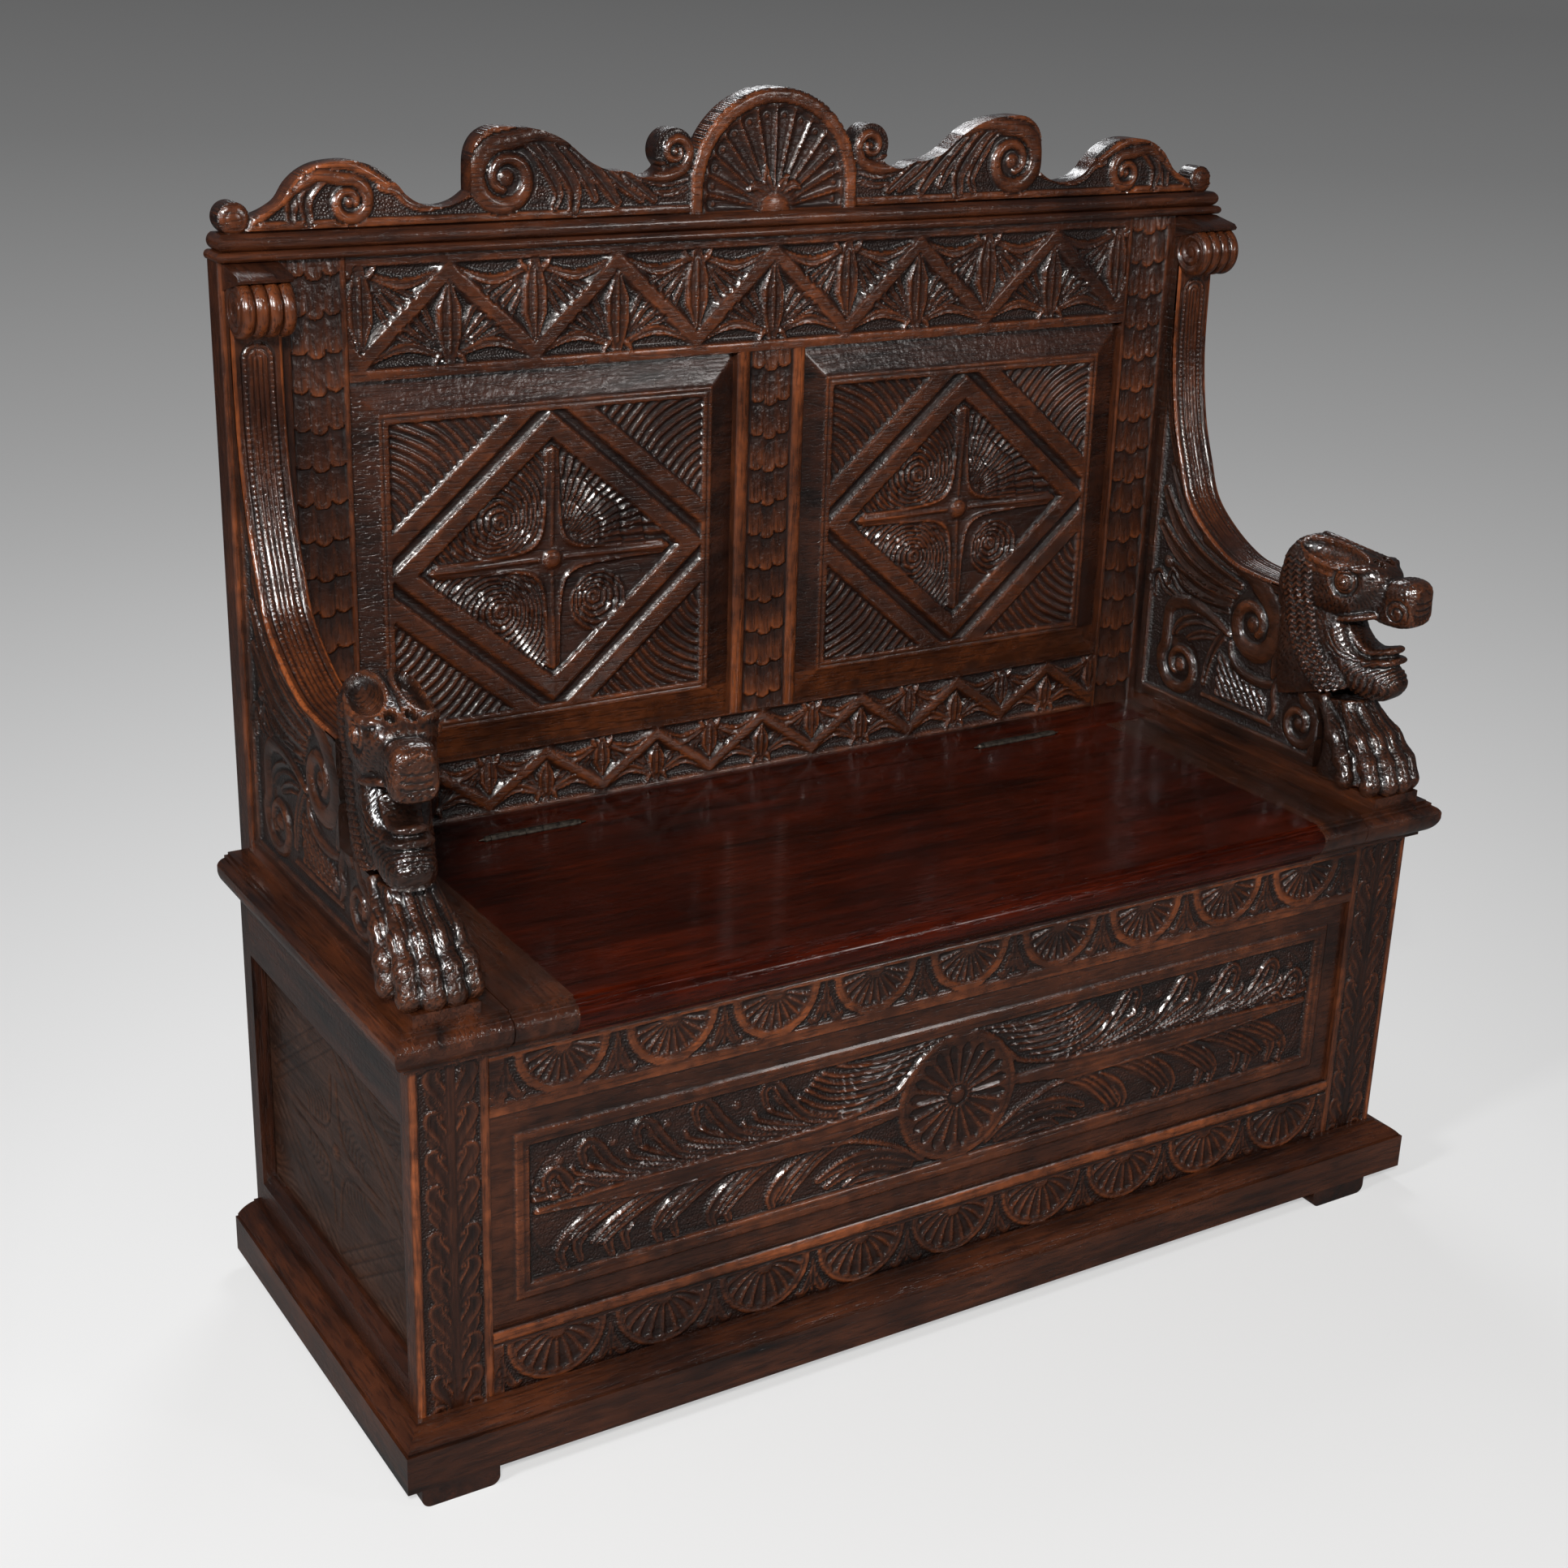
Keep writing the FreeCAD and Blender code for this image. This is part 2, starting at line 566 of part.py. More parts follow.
def seat():
    """Fixed rails at the ends and behind, and the lid with its cleats."""
    knuckles = [knuckle_space(sign * HINGE_POSITION) for sign in (-1, 1)]
    front = turned(nosing(SEAT_FRONT_OVERHANG, BOX_TOP), lambda out, z: (-out, z))
    rail_front = [(BOX_DEPTH, BOX_TOP)] + front + [(BOX_DEPTH, SEAT_TOP)]
    inner = LID_HALF_WIDTH + LID_GAP
    outer = HALF_BOX + SEAT_SIDE_OVERHANG
    side = turned(nosing(SEAT_SIDE_OVERHANG, BOX_TOP), lambda out, z: (HALF_BOX + out, z))
    rail_side = [(inner, BOX_TOP)] + side + [(inner, SEAT_TOP)]
    end_rail = along_x(rail_front, inner, outer).common(
        along_y(rail_side, -SEAT_FRONT_OVERHANG, BOX_DEPTH))
    pieces = {"seat_end_rail_" + side_name: mirrored(end_rail, sign) for side_name, sign in SIDES}
    rear = box(-inner, inner, HINGE_LINE + LID_GAP / 2, BOX_DEPTH, BOX_TOP, SEAT_TOP)
    pieces["seat_rear_rail"] = cut_all(rear, knuckles)
    lid_low = BOX_TOP + LID_REST_GAP
    lid_back = HINGE_LINE - LID_GAP / 2
    front = turned(nosing(SEAT_FRONT_OVERHANG, lid_low), lambda out, z: (-out, z))
    lid_section = [(lid_back, lid_low)] + front + [(lid_back, SEAT_TOP)]
    board_end = LID_HALF_WIDTH - CLEAT_WIDTH
    pieces["lid_board"] = cut_all(along_x(lid_section, -board_end, board_end), knuckles)
    cleat = along_x(lid_section, board_end, LID_HALF_WIDTH)
    for side_name, sign in SIDES:
        pieces["lid_cleat_" + side_name] = mirrored(cleat, sign)
    return pieces


def cut_all(shape, tools):
    """Shape with each of the tools taken out of it."""
    for tool in tools:
        shape = shape.cut(tool)
    return shape


def hinge_axis_height():
    """The pins lie just above the seat."""
    return SEAT_TOP + PIN_RADIUS / 2


def knuckle_space(x):
    """Room for the knuckles, finials and both leaves of one hinge."""
    reach = HINGE_LENGTH / 2 + FINIAL_LENGTH + KNUCKLE_CLEARANCE
    half = HINGE_LENGTH / 2
    z = hinge_axis_height()
    bore = hinge_rod(x - reach, x + reach, KNUCKLE_RADIUS + KNUCKLE_CLEARANCE, z)
    depth = LID_GAP / 2 + LEAF_THICKNESS
    leaves = box(x - half, x + half, HINGE_LINE - depth, HINGE_LINE + depth,
                 z - LEAF_WIDTH, z)
    return bore.fuse(leaves)


def hinges():
    """Two butt hinges: knuckles turn on a pin with a pointed finial at each end."""
    z = hinge_axis_height()
    step = HINGE_LENGTH / HINGE_KNUCKLES
    shapes = {"hinge_leaves_fixed": [], "hinge_leaves_moving": [], "hinge_pins": []}
    for sign in (-1, 1):
        x0 = sign * HINGE_POSITION - HINGE_LENGTH / 2
        for name, first, side in (("hinge_leaves_fixed", 0, 1), ("hinge_leaves_moving", 1, -1)):
            y_near, y_far = LID_GAP / 2, LID_GAP / 2 + LEAF_THICKNESS
            ys = sorted((HINGE_LINE + side * y_near, HINGE_LINE + side * y_far))
            plate_top = z - KNUCKLE_RADIUS - KNUCKLE_CLEARANCE
            leaf = [box(x0, x0 + HINGE_LENGTH, ys[0], ys[1], z - LEAF_WIDTH, plate_top)]
            for k in range(first, HINGE_KNUCKLES, 2):
                a = x0 + k * step + KNUCKLE_CLEARANCE / 2
                length = step - KNUCKLE_CLEARANCE
                leaf.append(hinge_rod(a, a + length, KNUCKLE_RADIUS, z))
                leaf.append(box(a, a + length, ys[0], ys[1], plate_top, z))
            bore = hinge_rod(x0, x0 + HINGE_LENGTH, PIN_RADIUS + PIN_CLEARANCE, z)
            shapes[name].append(one(leaf).cut(bore))
        shapes["hinge_pins"].append(hinge_pin(x0, z))
    return {name: Part.makeCompound(group) for name, group in shapes.items()}


def hinge_rod(x0, x1, radius, z):
    """Many-sided rod along the hinge line."""
    return along_x(round_path((HINGE_LINE, z), radius, SMALL_SIDE_COUNT), x0, x1)


def hinge_pin(x0, z):
    """Pin with a turned point beyond each end of the knuckles."""
    r, reach = KNUCKLE_RADIUS, FINIAL_LENGTH
    gap = KNUCKLE_CLEARANCE / 2
    tip = 0.08 * r
    half = [(-reach, tip), (-0.55 * reach, 0.35 * r), (-0.4 * reach, 0.8 * r), (-gap, 0.8 * r)]
    profile = half + [(-gap, PIN_RADIUS), (HINGE_LENGTH + gap, PIN_RADIUS)]
    profile += [(HINGE_LENGTH - a, b) for a, b in reversed(half)]
    return lathe(profile, Vector(x0, HINGE_LINE, z), Vector(1, 0, 0), SMALL_SIDE_COUNT)


def back_frame():
    """Stiles, rails, muntin and the two carved panels of the back."""
    front, rear = BACK_FRONT, BOX_DEPTH
    r = STILE_CORNER_ROUND
    cut = r * (1 - math.sqrt(0.5))
    outer, inner = BACK_HALF_WIDTH, BACK_STILE_INNER
    panel_y = front + BACK_MARGIN_DEPTH
    opening = (MUNTIN_HALF_WIDTH, inner, BACK_PANEL_BOTTOM, BACK_TOP_RAIL_BOTTOM)
    grooves = inset(opening, -GROOVE_DEPTH, -GROOVE_DEPTH)
    tongue = box(grooves[0], grooves[1], panel_y, panel_y + PANEL_TONGUE, grooves[2], grooves[3])
    tongues = [tongue, mirrored(tongue, -1)]
    stile = along_z([(inner, front), (outer - r, front), ((outer - cut, front + cut), (outer, front + r)),
                     (outer, rear), (inner, rear)], SEAT_TOP, BACK_TOP)
    top = box(-inner, inner, front, rear, BACK_TOP_RAIL_BOTTOM, BACK_TOP)
    bottom = box(-inner, inner, front, rear, SEAT_TOP, BACK_PANEL_BOTTOM)
    half = MUNTIN_HALF_WIDTH
    muntin = box(-half, half, front, rear, BACK_PANEL_BOTTOM, BACK_TOP_RAIL_BOTTOM)
    margin = TOP_ZIGZAG_MARGIN
    top = zigzag(cut_all(top, tongues), BACK_TOP_RAIL_BOTTOM + margin, BACK_TOP - margin, TOP_ZIGZAG_HALF_PITCH)
    margin = LOW_ZIGZAG_MARGIN
    bottom = zigzag(cut_all(bottom, tongues), SEAT_TOP + margin, BACK_PANEL_BOTTOM - margin,
                    LOW_ZIGZAG_HALF_PITCH)
    pieces = {"back_top_rail": top, "back_bottom_rail": bottom, "back_muntin": cut_all(muntin, tongues)}
    panel = back_panel(opening, tongue)
    for side, sign in SIDES:
        pieces["back_stile_" + side] = mirrored(stile.cut(tongue), sign)
        pieces["back_panel_" + side] = mirrored(panel, sign)
    return pieces


def zigzag(rail, low, high, half_pitch):
    """Sunk frieze with a raised zigzag band, peak in the middle of the rail."""
    front = BACK_FRONT
    deep = front + CARVING_RELIEF
    end = BACK_STILE_INNER - BACK_FIELD_BORDER
    zone = box(-end, end, front, deep, low, high)
    slope = math.atan2(high - low - ZIGZAG_BAND, half_pitch)
    rise = ZIGZAG_BAND / math.cos(slope) / 2
    count = math.ceil(end / half_pitch)
    middle_low, middle_high = low + ZIGZAG_BAND / 2, high - ZIGZAG_BAND / 2
    upper, lower = [], []
    for k in range(-count, count + 1):
        z = middle_high if k % 2 == 0 else middle_low
        upper.append((k * half_pitch, z + rise))
        lower.append((k * half_pitch, z - rise))
    band = along_y(upper + lower[::-1], front, deep).common(zone)
    return one([rail.cut(zone), band])


def back_panel(opening, tongue):
    """Fielded panel: a double lozenge band round a four-pointed star."""
    field_y = BACK_FRONT + BACK_FIELD_DEPTH
    ground_y = field_y + CARVING_RELIEF
    margin_y = BACK_FRONT + BACK_MARGIN_DEPTH
    field = inset(opening, BACK_BEVEL_SIDE, BACK_BEVEL_END)
    ground = inset(field, BACK_FIELD_BORDER, BACK_FIELD_BORDER)
    sink = box(ground[0], ground[1], field_y, ground_y, ground[2], ground[3])
    body = frustum(opening, field, margin_y, field_y).cut(sink)
    x, z = (opening[0] + opening[1]) / 2, (opening[2] + opening[3]) / 2
    across = (field[1] - field[0]) / 2 - LOZENGE_MARGIN_SIDE
    up = (field[3] - field[2]) / 2 - LOZENGE_MARGIN_END

    def lozenge(distance):
        """Filled lozenge whose sides lie this far outside the bright edge."""
        grow = 1 + distance * math.hypot(across, up) / (across * up)
        a, b = across * grow, up * grow
        return along_y([(x - a, z), (x, z + b), (x + a, z), (x, z - b)], field_y, ground_y)

    outer_band = lozenge(LOZENGE_CHANNEL + LOZENGE_BAND).cut(lozenge(LOZENGE_CHANNEL)).common(sink)
    inner_band = lozenge(0).cut(lozenge(-LOZENGE_BAND)).common(sink)
    a, b, tip = STAR_SHARE_ACROSS * across, STAR_SHARE_UP * up, STAR_TIP
    waist = STAR_WAIST_SHARE * across
    outline = []
    for sx, sz in ((1, 1), (1, -1), (-1, -1), (-1, 1)):
        side = [(x + sx * tip, z + sz * b), (x + sx * waist, z + sz * waist), (x + sx * a, z + sz * tip)]
        side = side if sx * sz > 0 else side[::-1]
        outline += [side[0]] + bend(*side)
    star = along_y(outline, (field_y + ground_y) / 2, ground_y).common(lozenge(-LOZENGE_BAND))
    button = ring((x, z), BUTTON_RADIUS, 0, field_y, ground_y)
    return one([tongue, body, outer_band, inner_band, star, button])


def cornice():
    """Bead and torus that run along the front and return at both ends."""
    low, high = BACK_TOP, CORNICE_TOP
    r = CORNICE_BEAD_HEIGHT / 2
    neck = CORNICE_BEAD_OUT - r
    quirk = low + 2 * r
    middle = (quirk + high) / 2

    def section(place):
        """Bead below, torus above it, as seen along the run."""
        return turned([(0, low), (neck, low), ((CORNICE_BEAD_OUT, low + r), (neck, quirk)), (1, quirk),
                       ((CORNICE_TORUS_OUT, middle), (1, high)), (0, high)], place)

    end = BACK_HALF_WIDTH - STILE_CORNER_ROUND
    front = section(lambda out, z: (BACK_FRONT - out, z))
    side = section(lambda out, z: (end + out, z))
    long_run = along_x(front + [(BOX_DEPTH, high), (BOX_DEPTH, low)], -BOX_WIDTH, BOX_WIDTH)
    right = along_y(side + [(0, high), (0, low)], 0, BOX_DEPTH)
    halves = [long_run.common(right), mirrored(long_run.common(right), -1)]
    return {"crest_cornice": one(halves)}


def ring(centre, radius, inner, y0, y1, count=DISC_SIDE_COUNT):
    """Flat ring, or a disc where inner is 0, facing along Y."""
    disc = along_y(round_path(centre, radius, count), y0, y1)
    if inner <= 0:
        return disc
    return disc.cut(along_y(round_path(centre, inner, count), y0, y1))


def crest():
    """Board sawn to the outline of the scrolls, with its ground cut back."""
    base = CORNICE_TOP
    front = BOX_DEPTH - CREST_THICKNESS
    ground = front + CREST_RELIEF
    rear = BOX_DEPTH

    stretch = BACK_HALF_WIDTH / CREST_DRAWN_HALF_WIDTH

    def up(point):
        """Point of the outline as X and Z."""
        return (stretch * point[0], base + point[1])

    def between(first, last, bulge):
        """Middle point of an arc, off the straight line by part of its length."""
        run, rise = last[0] - first[0], last[1] - first[1]
        return ((first[0] + last[0]) / 2 - bulge * rise, (first[1] + last[1]) / 2 + bulge * run)

    def arc(first, last, bulge):
        """Bend from the first point, which is left out, to the last."""
        return bend(up(first), up(between(first, last, bulge)), up(last))

    volute_low = (SMALL_VOLUTE[0] + SMALL_VOLUTE_RADIUS / 2, SMALL_VOLUTE[1] - 0.6 * SMALL_VOLUTE_RADIUS)
    scroll_out = (BIG_VOLUTE[0] + BIG_VOLUTE_RADIUS, BIG_VOLUTE[1])
    ball_low = (END_BALL[0], 0)
    edge = [up((0, 0)), up((0, SMALL_VOLUTE[1])), up((SMALL_VOLUTE[0], SMALL_VOLUTE[1])),
            up(volute_low), *arc(volute_low, VALLEY, -0.2), *arc(VALLEY, LEAF_BEND, -0.1),
            *arc(LEAF_BEND, LEAF_TOP, 0.09), *arc(LEAF_TOP, scroll_out, 0.32), up(SCROLL_FALL),
            *arc(SCROLL_FALL, STRAP_LOW, -0.12), *arc(STRAP_LOW, STRAP_STEP, -0.1),
            *arc(STRAP_STEP, SCROLL_TOP, 0.13), *arc(SCROLL_TOP, SCROLL_TAIL, 0.14),
            *arc(SCROLL_TAIL, END_BALL, -0.1), up(ball_low)]
    strap = [up(SCROLL_FALL), *arc(SCROLL_FALL, STRAP_LOW, -0.12), *arc(STRAP_LOW, STRAP_STEP, -0.1),
             *arc(STRAP_STEP, SCROLL_TOP, 0.13), *arc(SCROLL_TOP, SCROLL_TAIL, 0.14),
             *arc(SCROLL_TAIL, END_BALL, -0.1), up((END_BALL[0], END_BALL[1] - STRAP_WIDTH))]
    inner = [(x, z - STRAP_WIDTH) for x, z in (SCROLL_TAIL, SCROLL_TOP, STRAP_STEP, STRAP_LOW, SCROLL_FALL)]
    inner[0] = (SCROLL_TAIL[0] - STRAP_WIDTH, SCROLL_TAIL[1] - STRAP_WIDTH / 2)
    strap += [*arc((END_BALL[0], END_BALL[1] - STRAP_WIDTH), inner[0], 0.1),
              *arc(inner[0], inner[1], -0.14), *arc(inner[1], inner[2], -0.13),
              *arc(inner[2], inner[3], 0.1), *arc(inner[3], inner[4], 0.12)]
    leaf = [up(volute_low), *arc(volute_low, VALLEY, -0.2), *arc(VALLEY, LEAF_BEND, -0.1),
            *arc(LEAF_BEND, LEAF_TOP, 0.09), up((BIG_VOLUTE[0], BIG_VOLUTE[1]))]
    last = BIG_VOLUTE
    for tip in reversed(LEAF_TIPS):
        leaf += arc(last, tip, 0.16)
        notch = (tip[0] - STRAP_WIDTH, tip[1] + 1.6 * STRAP_WIDTH)
        leaf += arc(tip, notch, 0.12)
        last = notch
    block = box(-BOX_WIDTH, BOX_WIDTH, front, rear, base, base + ARCH_CENTRE_RISE + ARCH_RADIUS)

    arch_centre = (0, base + ARCH_CENTRE_RISE)
    discs = ((up(SMALL_VOLUTE), SMALL_VOLUTE_RADIUS), (up(BIG_VOLUTE), BIG_VOLUTE_RADIUS),
             (up(END_VOLUTE), END_VOLUTE_RADIUS), (up(END_BALL), END_BALL_RADIUS))
    half = [along_y(edge, ground, rear)]
    half += [ring(centre, radius, 0, ground, rear).common(block) for centre, radius in discs[:1] + discs[3:]]
    raised = [along_y(strap, front, ground), along_y(leaf, front, ground),
              box(ARCH_RADIUS - ARCH_RIM, up(END_BALL)[0], front, ground, base, base + CREST_FILLET)]
    for centre, radius in discs[:3]:
        raised += [ring(centre, radius, 0.62 * radius, front, ground),
                   ring(centre, 0.4 * radius, 0, front, ground)]
    raised.append(ring(discs[3][0], discs[3][1], 0, front, ground))
    eyes = [ring(centre, 0.62 * radius, 0.4 * radius, front, ground) for centre, radius in discs[:3]]
    legs = ARCH_RADIUS
    arch = one([ring(arch_centre, ARCH_RADIUS, 0, front, rear, ARCH_SIDE_COUNT).common(block),
                box(-legs, legs, front, rear, base, arch_centre[1])])
    relief = cut_all(one([shape.common(block) for shape in raised]), eyes)
    half = one(half + [relief])
    board = one([half, mirrored(half, -1), arch])
    return {"crest_board": shell(board, arch_centre, base, front)}


def shell(board, centre, base, front):
    """Hollow under the arch, with petals that spread from a half-round button."""
    inner = ARCH_RADIUS - ARCH_RIM
    deep = front + SHELL_SINK
    hollow = ring(centre, inner, 0, front, deep, ARCH_SIDE_COUNT)
    hollow = hollow.fuse(box(-inner, inner, front, deep, base, centre[1]))
    hollow = hollow.common(box(-inner, inner, front, deep, base, centre[1] + inner))
    petals = []
    step = math.pi / SHELL_PETALS
    for k in range(SHELL_PETALS):
        angle = (k + 0.5) * step
        rise = ARCH_CENTRE_RISE * math.sin(angle)
        reach = rise + math.sqrt(inner ** 2 - (ARCH_CENTRE_RISE * math.cos(angle)) ** 2)
        petals.append(petal(angle, 0.4 * step, 0.9 * SHELL_BUTTON, reach - 3, deep, front + 2,
                            Vector(0, 0, base)))
    button = ring((0, base), SHELL_BUTTON, 0, front, deep).common(
        box(-inner, inner, front, deep, base, centre[1]))
    return one([board.cut(hollow), button] + petals)


def stack(sections, turn=False):
    """Solid through many-sided sections that lie one behind the other. A section
    is (distance, half width, low, high, corner); corners are cut in two, always
    at the same slopes, so that every side of the stack is flat. With turn the
    sections lie flat and run upwards, and low and high are measured along Y."""
    points = []
    for distance, half, low, high, corner in sections:
        near = corner * (1 - math.sqrt(0.5))
        upper = [(half, high - corner), (half - near, high - near), (half - corner, high)]
        lower = [(half - corner, low), (half - near, low + near), (half, low + corner)]
        outline = upper + [(-x, z) for x, z in upper[::-1]] + [(-x, z) for x, z in lower[::-1]] + lower
        for x, z in outline:
            points.append(Vector(x, z, distance) if turn else Vector(x, distance, z))
    count = len(outline)
    faces = [tuple(range(count)), tuple(range(len(points) - 1, len(points) - count - 1, -1))]
    for k in range(len(sections) - 1):
        for j in range(count):
            nxt = (j + 1) % count
            faces.append((k * count + j, k * count + nxt, (k + 1) * count + nxt, (k + 1) * count + j))
    return faceted(points, faces)


def lion_head():
    """Head with open mouth, tongue, brow, eyes and hollow ears, drawn straight
    ahead about X zero."""
    back = ARM_NECK_FRONT
    brow, corner = BROW_SHARE * back, MOUTH_SHARE * back
    skull = back - brow
    m, s = MUZZLE_HALF_WIDTH, SKULL_HALF_WIDTH
    neck = ARM_NECK_HEIGHT
    chin = neck + CHIN_RISE
    jaw_top = chin + JAW_HEIGHT
    low = jaw_top + MOUTH_GAP
    top = low + MUZZLE_HEIGHT
    crown = top + CROWN_RISE
    upper = stack([(0, 0.62 * m, low + 0.17 * MUZZLE_HEIGHT, top - 0.18 * MUZZLE_HEIGHT, 0.28 * m),
                   (0.12 * brow, 0.92 * m, low + 0.04 * MUZZLE_HEIGHT, top - 0.05 * MUZZLE_HEIGHT, 0.43 * m),
                   (0.35 * brow, m, low, top, 0.48 * m), (0.84 * brow, 1.05 * m, low, top, 0.48 * m),
                   (brow + 0.02 * skull, 0.72 * s, low, top + 0.35 * CROWN_RISE, 0.3 * s),
                   (brow + 0.12 * skull, 0.9 * s, low, top + 0.57 * CROWN_RISE, 0.39 * s),
                   (brow + 0.34 * skull, s, low, crown - 0.07 * CROWN_RISE, 0.5 * s),
                   (brow + 0.6 * skull, s, low, crown, 0.5 * s),
                   (brow + 0.87 * skull, 0.97 * s, low, crown - 0.14 * CROWN_RISE, 0.5 * s),
                   (back, 0.86 * s, low + 0.11 * MUZZLE_HEIGHT, top + 0.29 * CROWN_RISE, 0.44 * s)])
    front = JAW_SETBACK
    jaw = stack([(front, 0.55 * m, chin + 0.1 * JAW_HEIGHT, jaw_top - 0.16 * JAW_HEIGHT, 0.24 * m),
                 (2 * front, 0.85 * m, chin, jaw_top, 0.38 * m),
                 (0.38 * corner, 0.9 * m, chin - 0.55 * CHIN_RISE, jaw_top, 0.43 * m),
                 (0.66 * corner, 1.05 * m, neck, jaw_top, 0.48 * m),
                 (1.05 * corner, 1.2 * m, neck, jaw_top, 0.48 * m)])
    wide = MANE_HALF_WIDTH
    throat = back - corner
    mane_top = low + 0.15 * MUZZLE_HEIGHT
    mane = stack([(corner, 0.8 * wide, neck, mane_top, 0.26 * wide),
                  (corner + 0.17 * throat, wide, neck, mane_top, 0.26 * wide),
                  (corner + 0.8 * throat, wide, neck, mane_top, 0.26 * wide),
                  (back, 0.82 * wide, neck, mane_top, 0.26 * wide)])
    tongue_low = jaw_top - 0.2 * TONGUE_THICKNESS
    tongue_top = tongue_low + TONGUE_THICKNESS
    wide = TONGUE_HALF_WIDTH
    tongue = stack([(0.75 * front, 0.6 * wide, tongue_low, tongue_top - 0.3 * TONGUE_THICKNESS, 0.2 * wide),
                    (2 * front, wide, tongue_low, tongue_top, 0.26 * wide),
                    (1.02 * corner, wide, tongue_low, tongue_top, 0.26 * wide)])
    parts = [upper, jaw, mane, tongue]
    for side in (-1, 1):
        parts.append(eye(side, EYE_SHARE * back, crown - EYE_DROP))
    head = one(parts)
    return cut_all(head, [ear(side, EAR_PLACE_SHARE * back, crown) for side in (-1, 1)])


def eye(side, y, z):
    """Low dome in two steps that looks forward and outward."""
    axis = Vector(side * 0.8, -0.55, 0.25)
    r = EYE_RADIUS
    profile = [(0, r), (0.75 * r, 0.7 * r), (r, 0.2 * r)]
    return lathe(profile, Vector(side * 0.78 * SKULL_HALF_WIDTH, y, z), axis, SMALL_SIDE_COUNT)


def ear(side, y, crown):
    """Bowl to be cut from the slope of the crown: an oval that narrows as it
    goes down."""
    count = SMALL_SIDE_COUNT
    points = []
    for depth, size in ((1.5 * EAR_DEPTH, 1.25), (-EAR_DEPTH, 0.6)):
        for a, b in round_path((0, 0), size, count):
            points.append(Vector(a * EAR_HALF_WIDTH, b * EAR_HALF_LENGTH, depth))
    faces = [tuple(range(count)), tuple(range(2 * count - 1, count - 1, -1))]
    for k in range(count):
        nxt = (k + 1) % count
        faces.append((k, nxt, count + nxt, count + k))
    bowl = faceted(points, faces)
    bowl.rotate(Vector(0, 0, 0), Vector(0, 1, 0), side * EAR_TILT_ANGLE)
    bowl.translate(Vector(side * 0.62 * SKULL_HALF_WIDTH, y, crown - 0.55 * EAR_DEPTH))
    return bowl


def lion_paw():
    """Foreleg and toes under the head, drawn about X zero."""
    low, neck = ARM_BASE_TOP, ARM_NECK_HEIGHT
    back, front = ARM_FOOT_FRONT, -PAW_OVERHANG
    length = back - front
    half = PAW_HALF_WIDTH
    round_off = 0.2 * half
    leg = stack([(low, 0.9 * half, front + 0.27 * length, back, round_off),
                 (low + 0.8 * PAW_HEIGHT, 0.88 * half, front + 0.25 * length, back, round_off),
                 (low + 1.25 * PAW_HEIGHT, 0.82 * half, front + 0.38 * length, back, round_off),
                 (neck, 0.76 * half, front + 0.53 * length, back, round_off)], True)
    parts = [leg]
    toe_half = half / PAW_TOE_COUNT
    high = low + PAW_HEIGHT
    for k in range(PAW_TOE_COUNT):
        place = k - (PAW_TOE_COUNT - 1) / 2
        start = front + 0.25 * toe_half * abs(place)
        toe = stack([(start, 0.7 * toe_half, low + 0.06 * PAW_HEIGHT, high - 0.5 * PAW_HEIGHT, 0.3 * toe_half),
                     (start + 0.05 * length, toe_half, low, high - 0.3 * PAW_HEIGHT, 0.4 * toe_half),
                     (start + 0.2 * length, toe_half, low, high - 0.06 * PAW_HEIGHT, 0.5 * toe_half),
                     (start + 0.31 * length, toe_half, low, high - 0.13 * PAW_HEIGHT, 0.5 * toe_half),
                     (front + 0.49 * length, toe_half, low, high, 0.5 * toe_half)])
        toe.translate(Vector(2 * toe_half * place, 0, 0))
        parts.append(toe)
    return one(parts)


def arm_panel():
    """Upright side of an arm, hollowed to the seat, with a reeded roll on top."""
    low, rear = ARM_BASE_TOP, BACK_FRONT
    reach = BACK_FRONT - ARM_NECK_FRONT
    curve = [(BACK_FRONT - out * reach, SEAT_TOP + height * BACK_HEIGHT) for out, height in ARM_EDGE]
    top = BACK_TOP
    path = [(rear, top), (rear, low), (ARM_FOOT_FRONT, low), (ARM_FOOT_FRONT, ARM_NECK_HEIGHT),
            (ARM_NECK_FRONT, ARM_NECK_HEIGHT), curve[6], *bend(curve[6], curve[5], curve[4]),
            *bend(curve[4], curve[3], curve[2]), *bend(curve[2], curve[1], curve[0]), (curve[0][0], top)]
    body = along_x(path, ARM_INNER, ARM_OUTER)
    m = ARM_SINK_MARGIN
    hollow = [(rear - m, ARM_NECK_HEIGHT + m), (rear - m, low + m), (ARM_FOOT_FRONT + m, low + m),
              (ARM_FOOT_FRONT + m, ARM_NECK_HEIGHT - m), (ARM_NECK_FRONT + m, ARM_NECK_HEIGHT + m),
              (curve[6][0] + m, curve[6][1] - m), (curve[4][0], curve[4][1] - 1.2 * m),
              (curve[2][0] + m, curve[2][1] - m), (rear - m, curve[1][1])]
    sinks = [along_x(hollow, ARM_INNER, ARM_INNER + ARM_SINK),
             along_x(hollow, ARM_OUTER - ARM_SINK, ARM_OUTER)]
    body = cut_all(body, sinks)
    parts = [body, roll(), cap()]
    for along, rise, radius in ARM_VOLUTES:
        centre = (along * BACK_FRONT, SEAT_TOP + rise * BACK_HEIGHT)
        disc, bore, knob = [round_path(centre, part * radius, SMALL_SIDE_COUNT)
                            for part in (1, 1 - VOLUTE_RING_SHARE, VOLUTE_EYE_SHARE)]
        for x in (ARM_INNER, ARM_OUTER - ARM_SINK):
            outer = x + ARM_SINK
            parts += [along_x(disc, x, outer).cut(along_x(bore, x, outer)), along_x(knob, x, outer)]
    return one(parts)


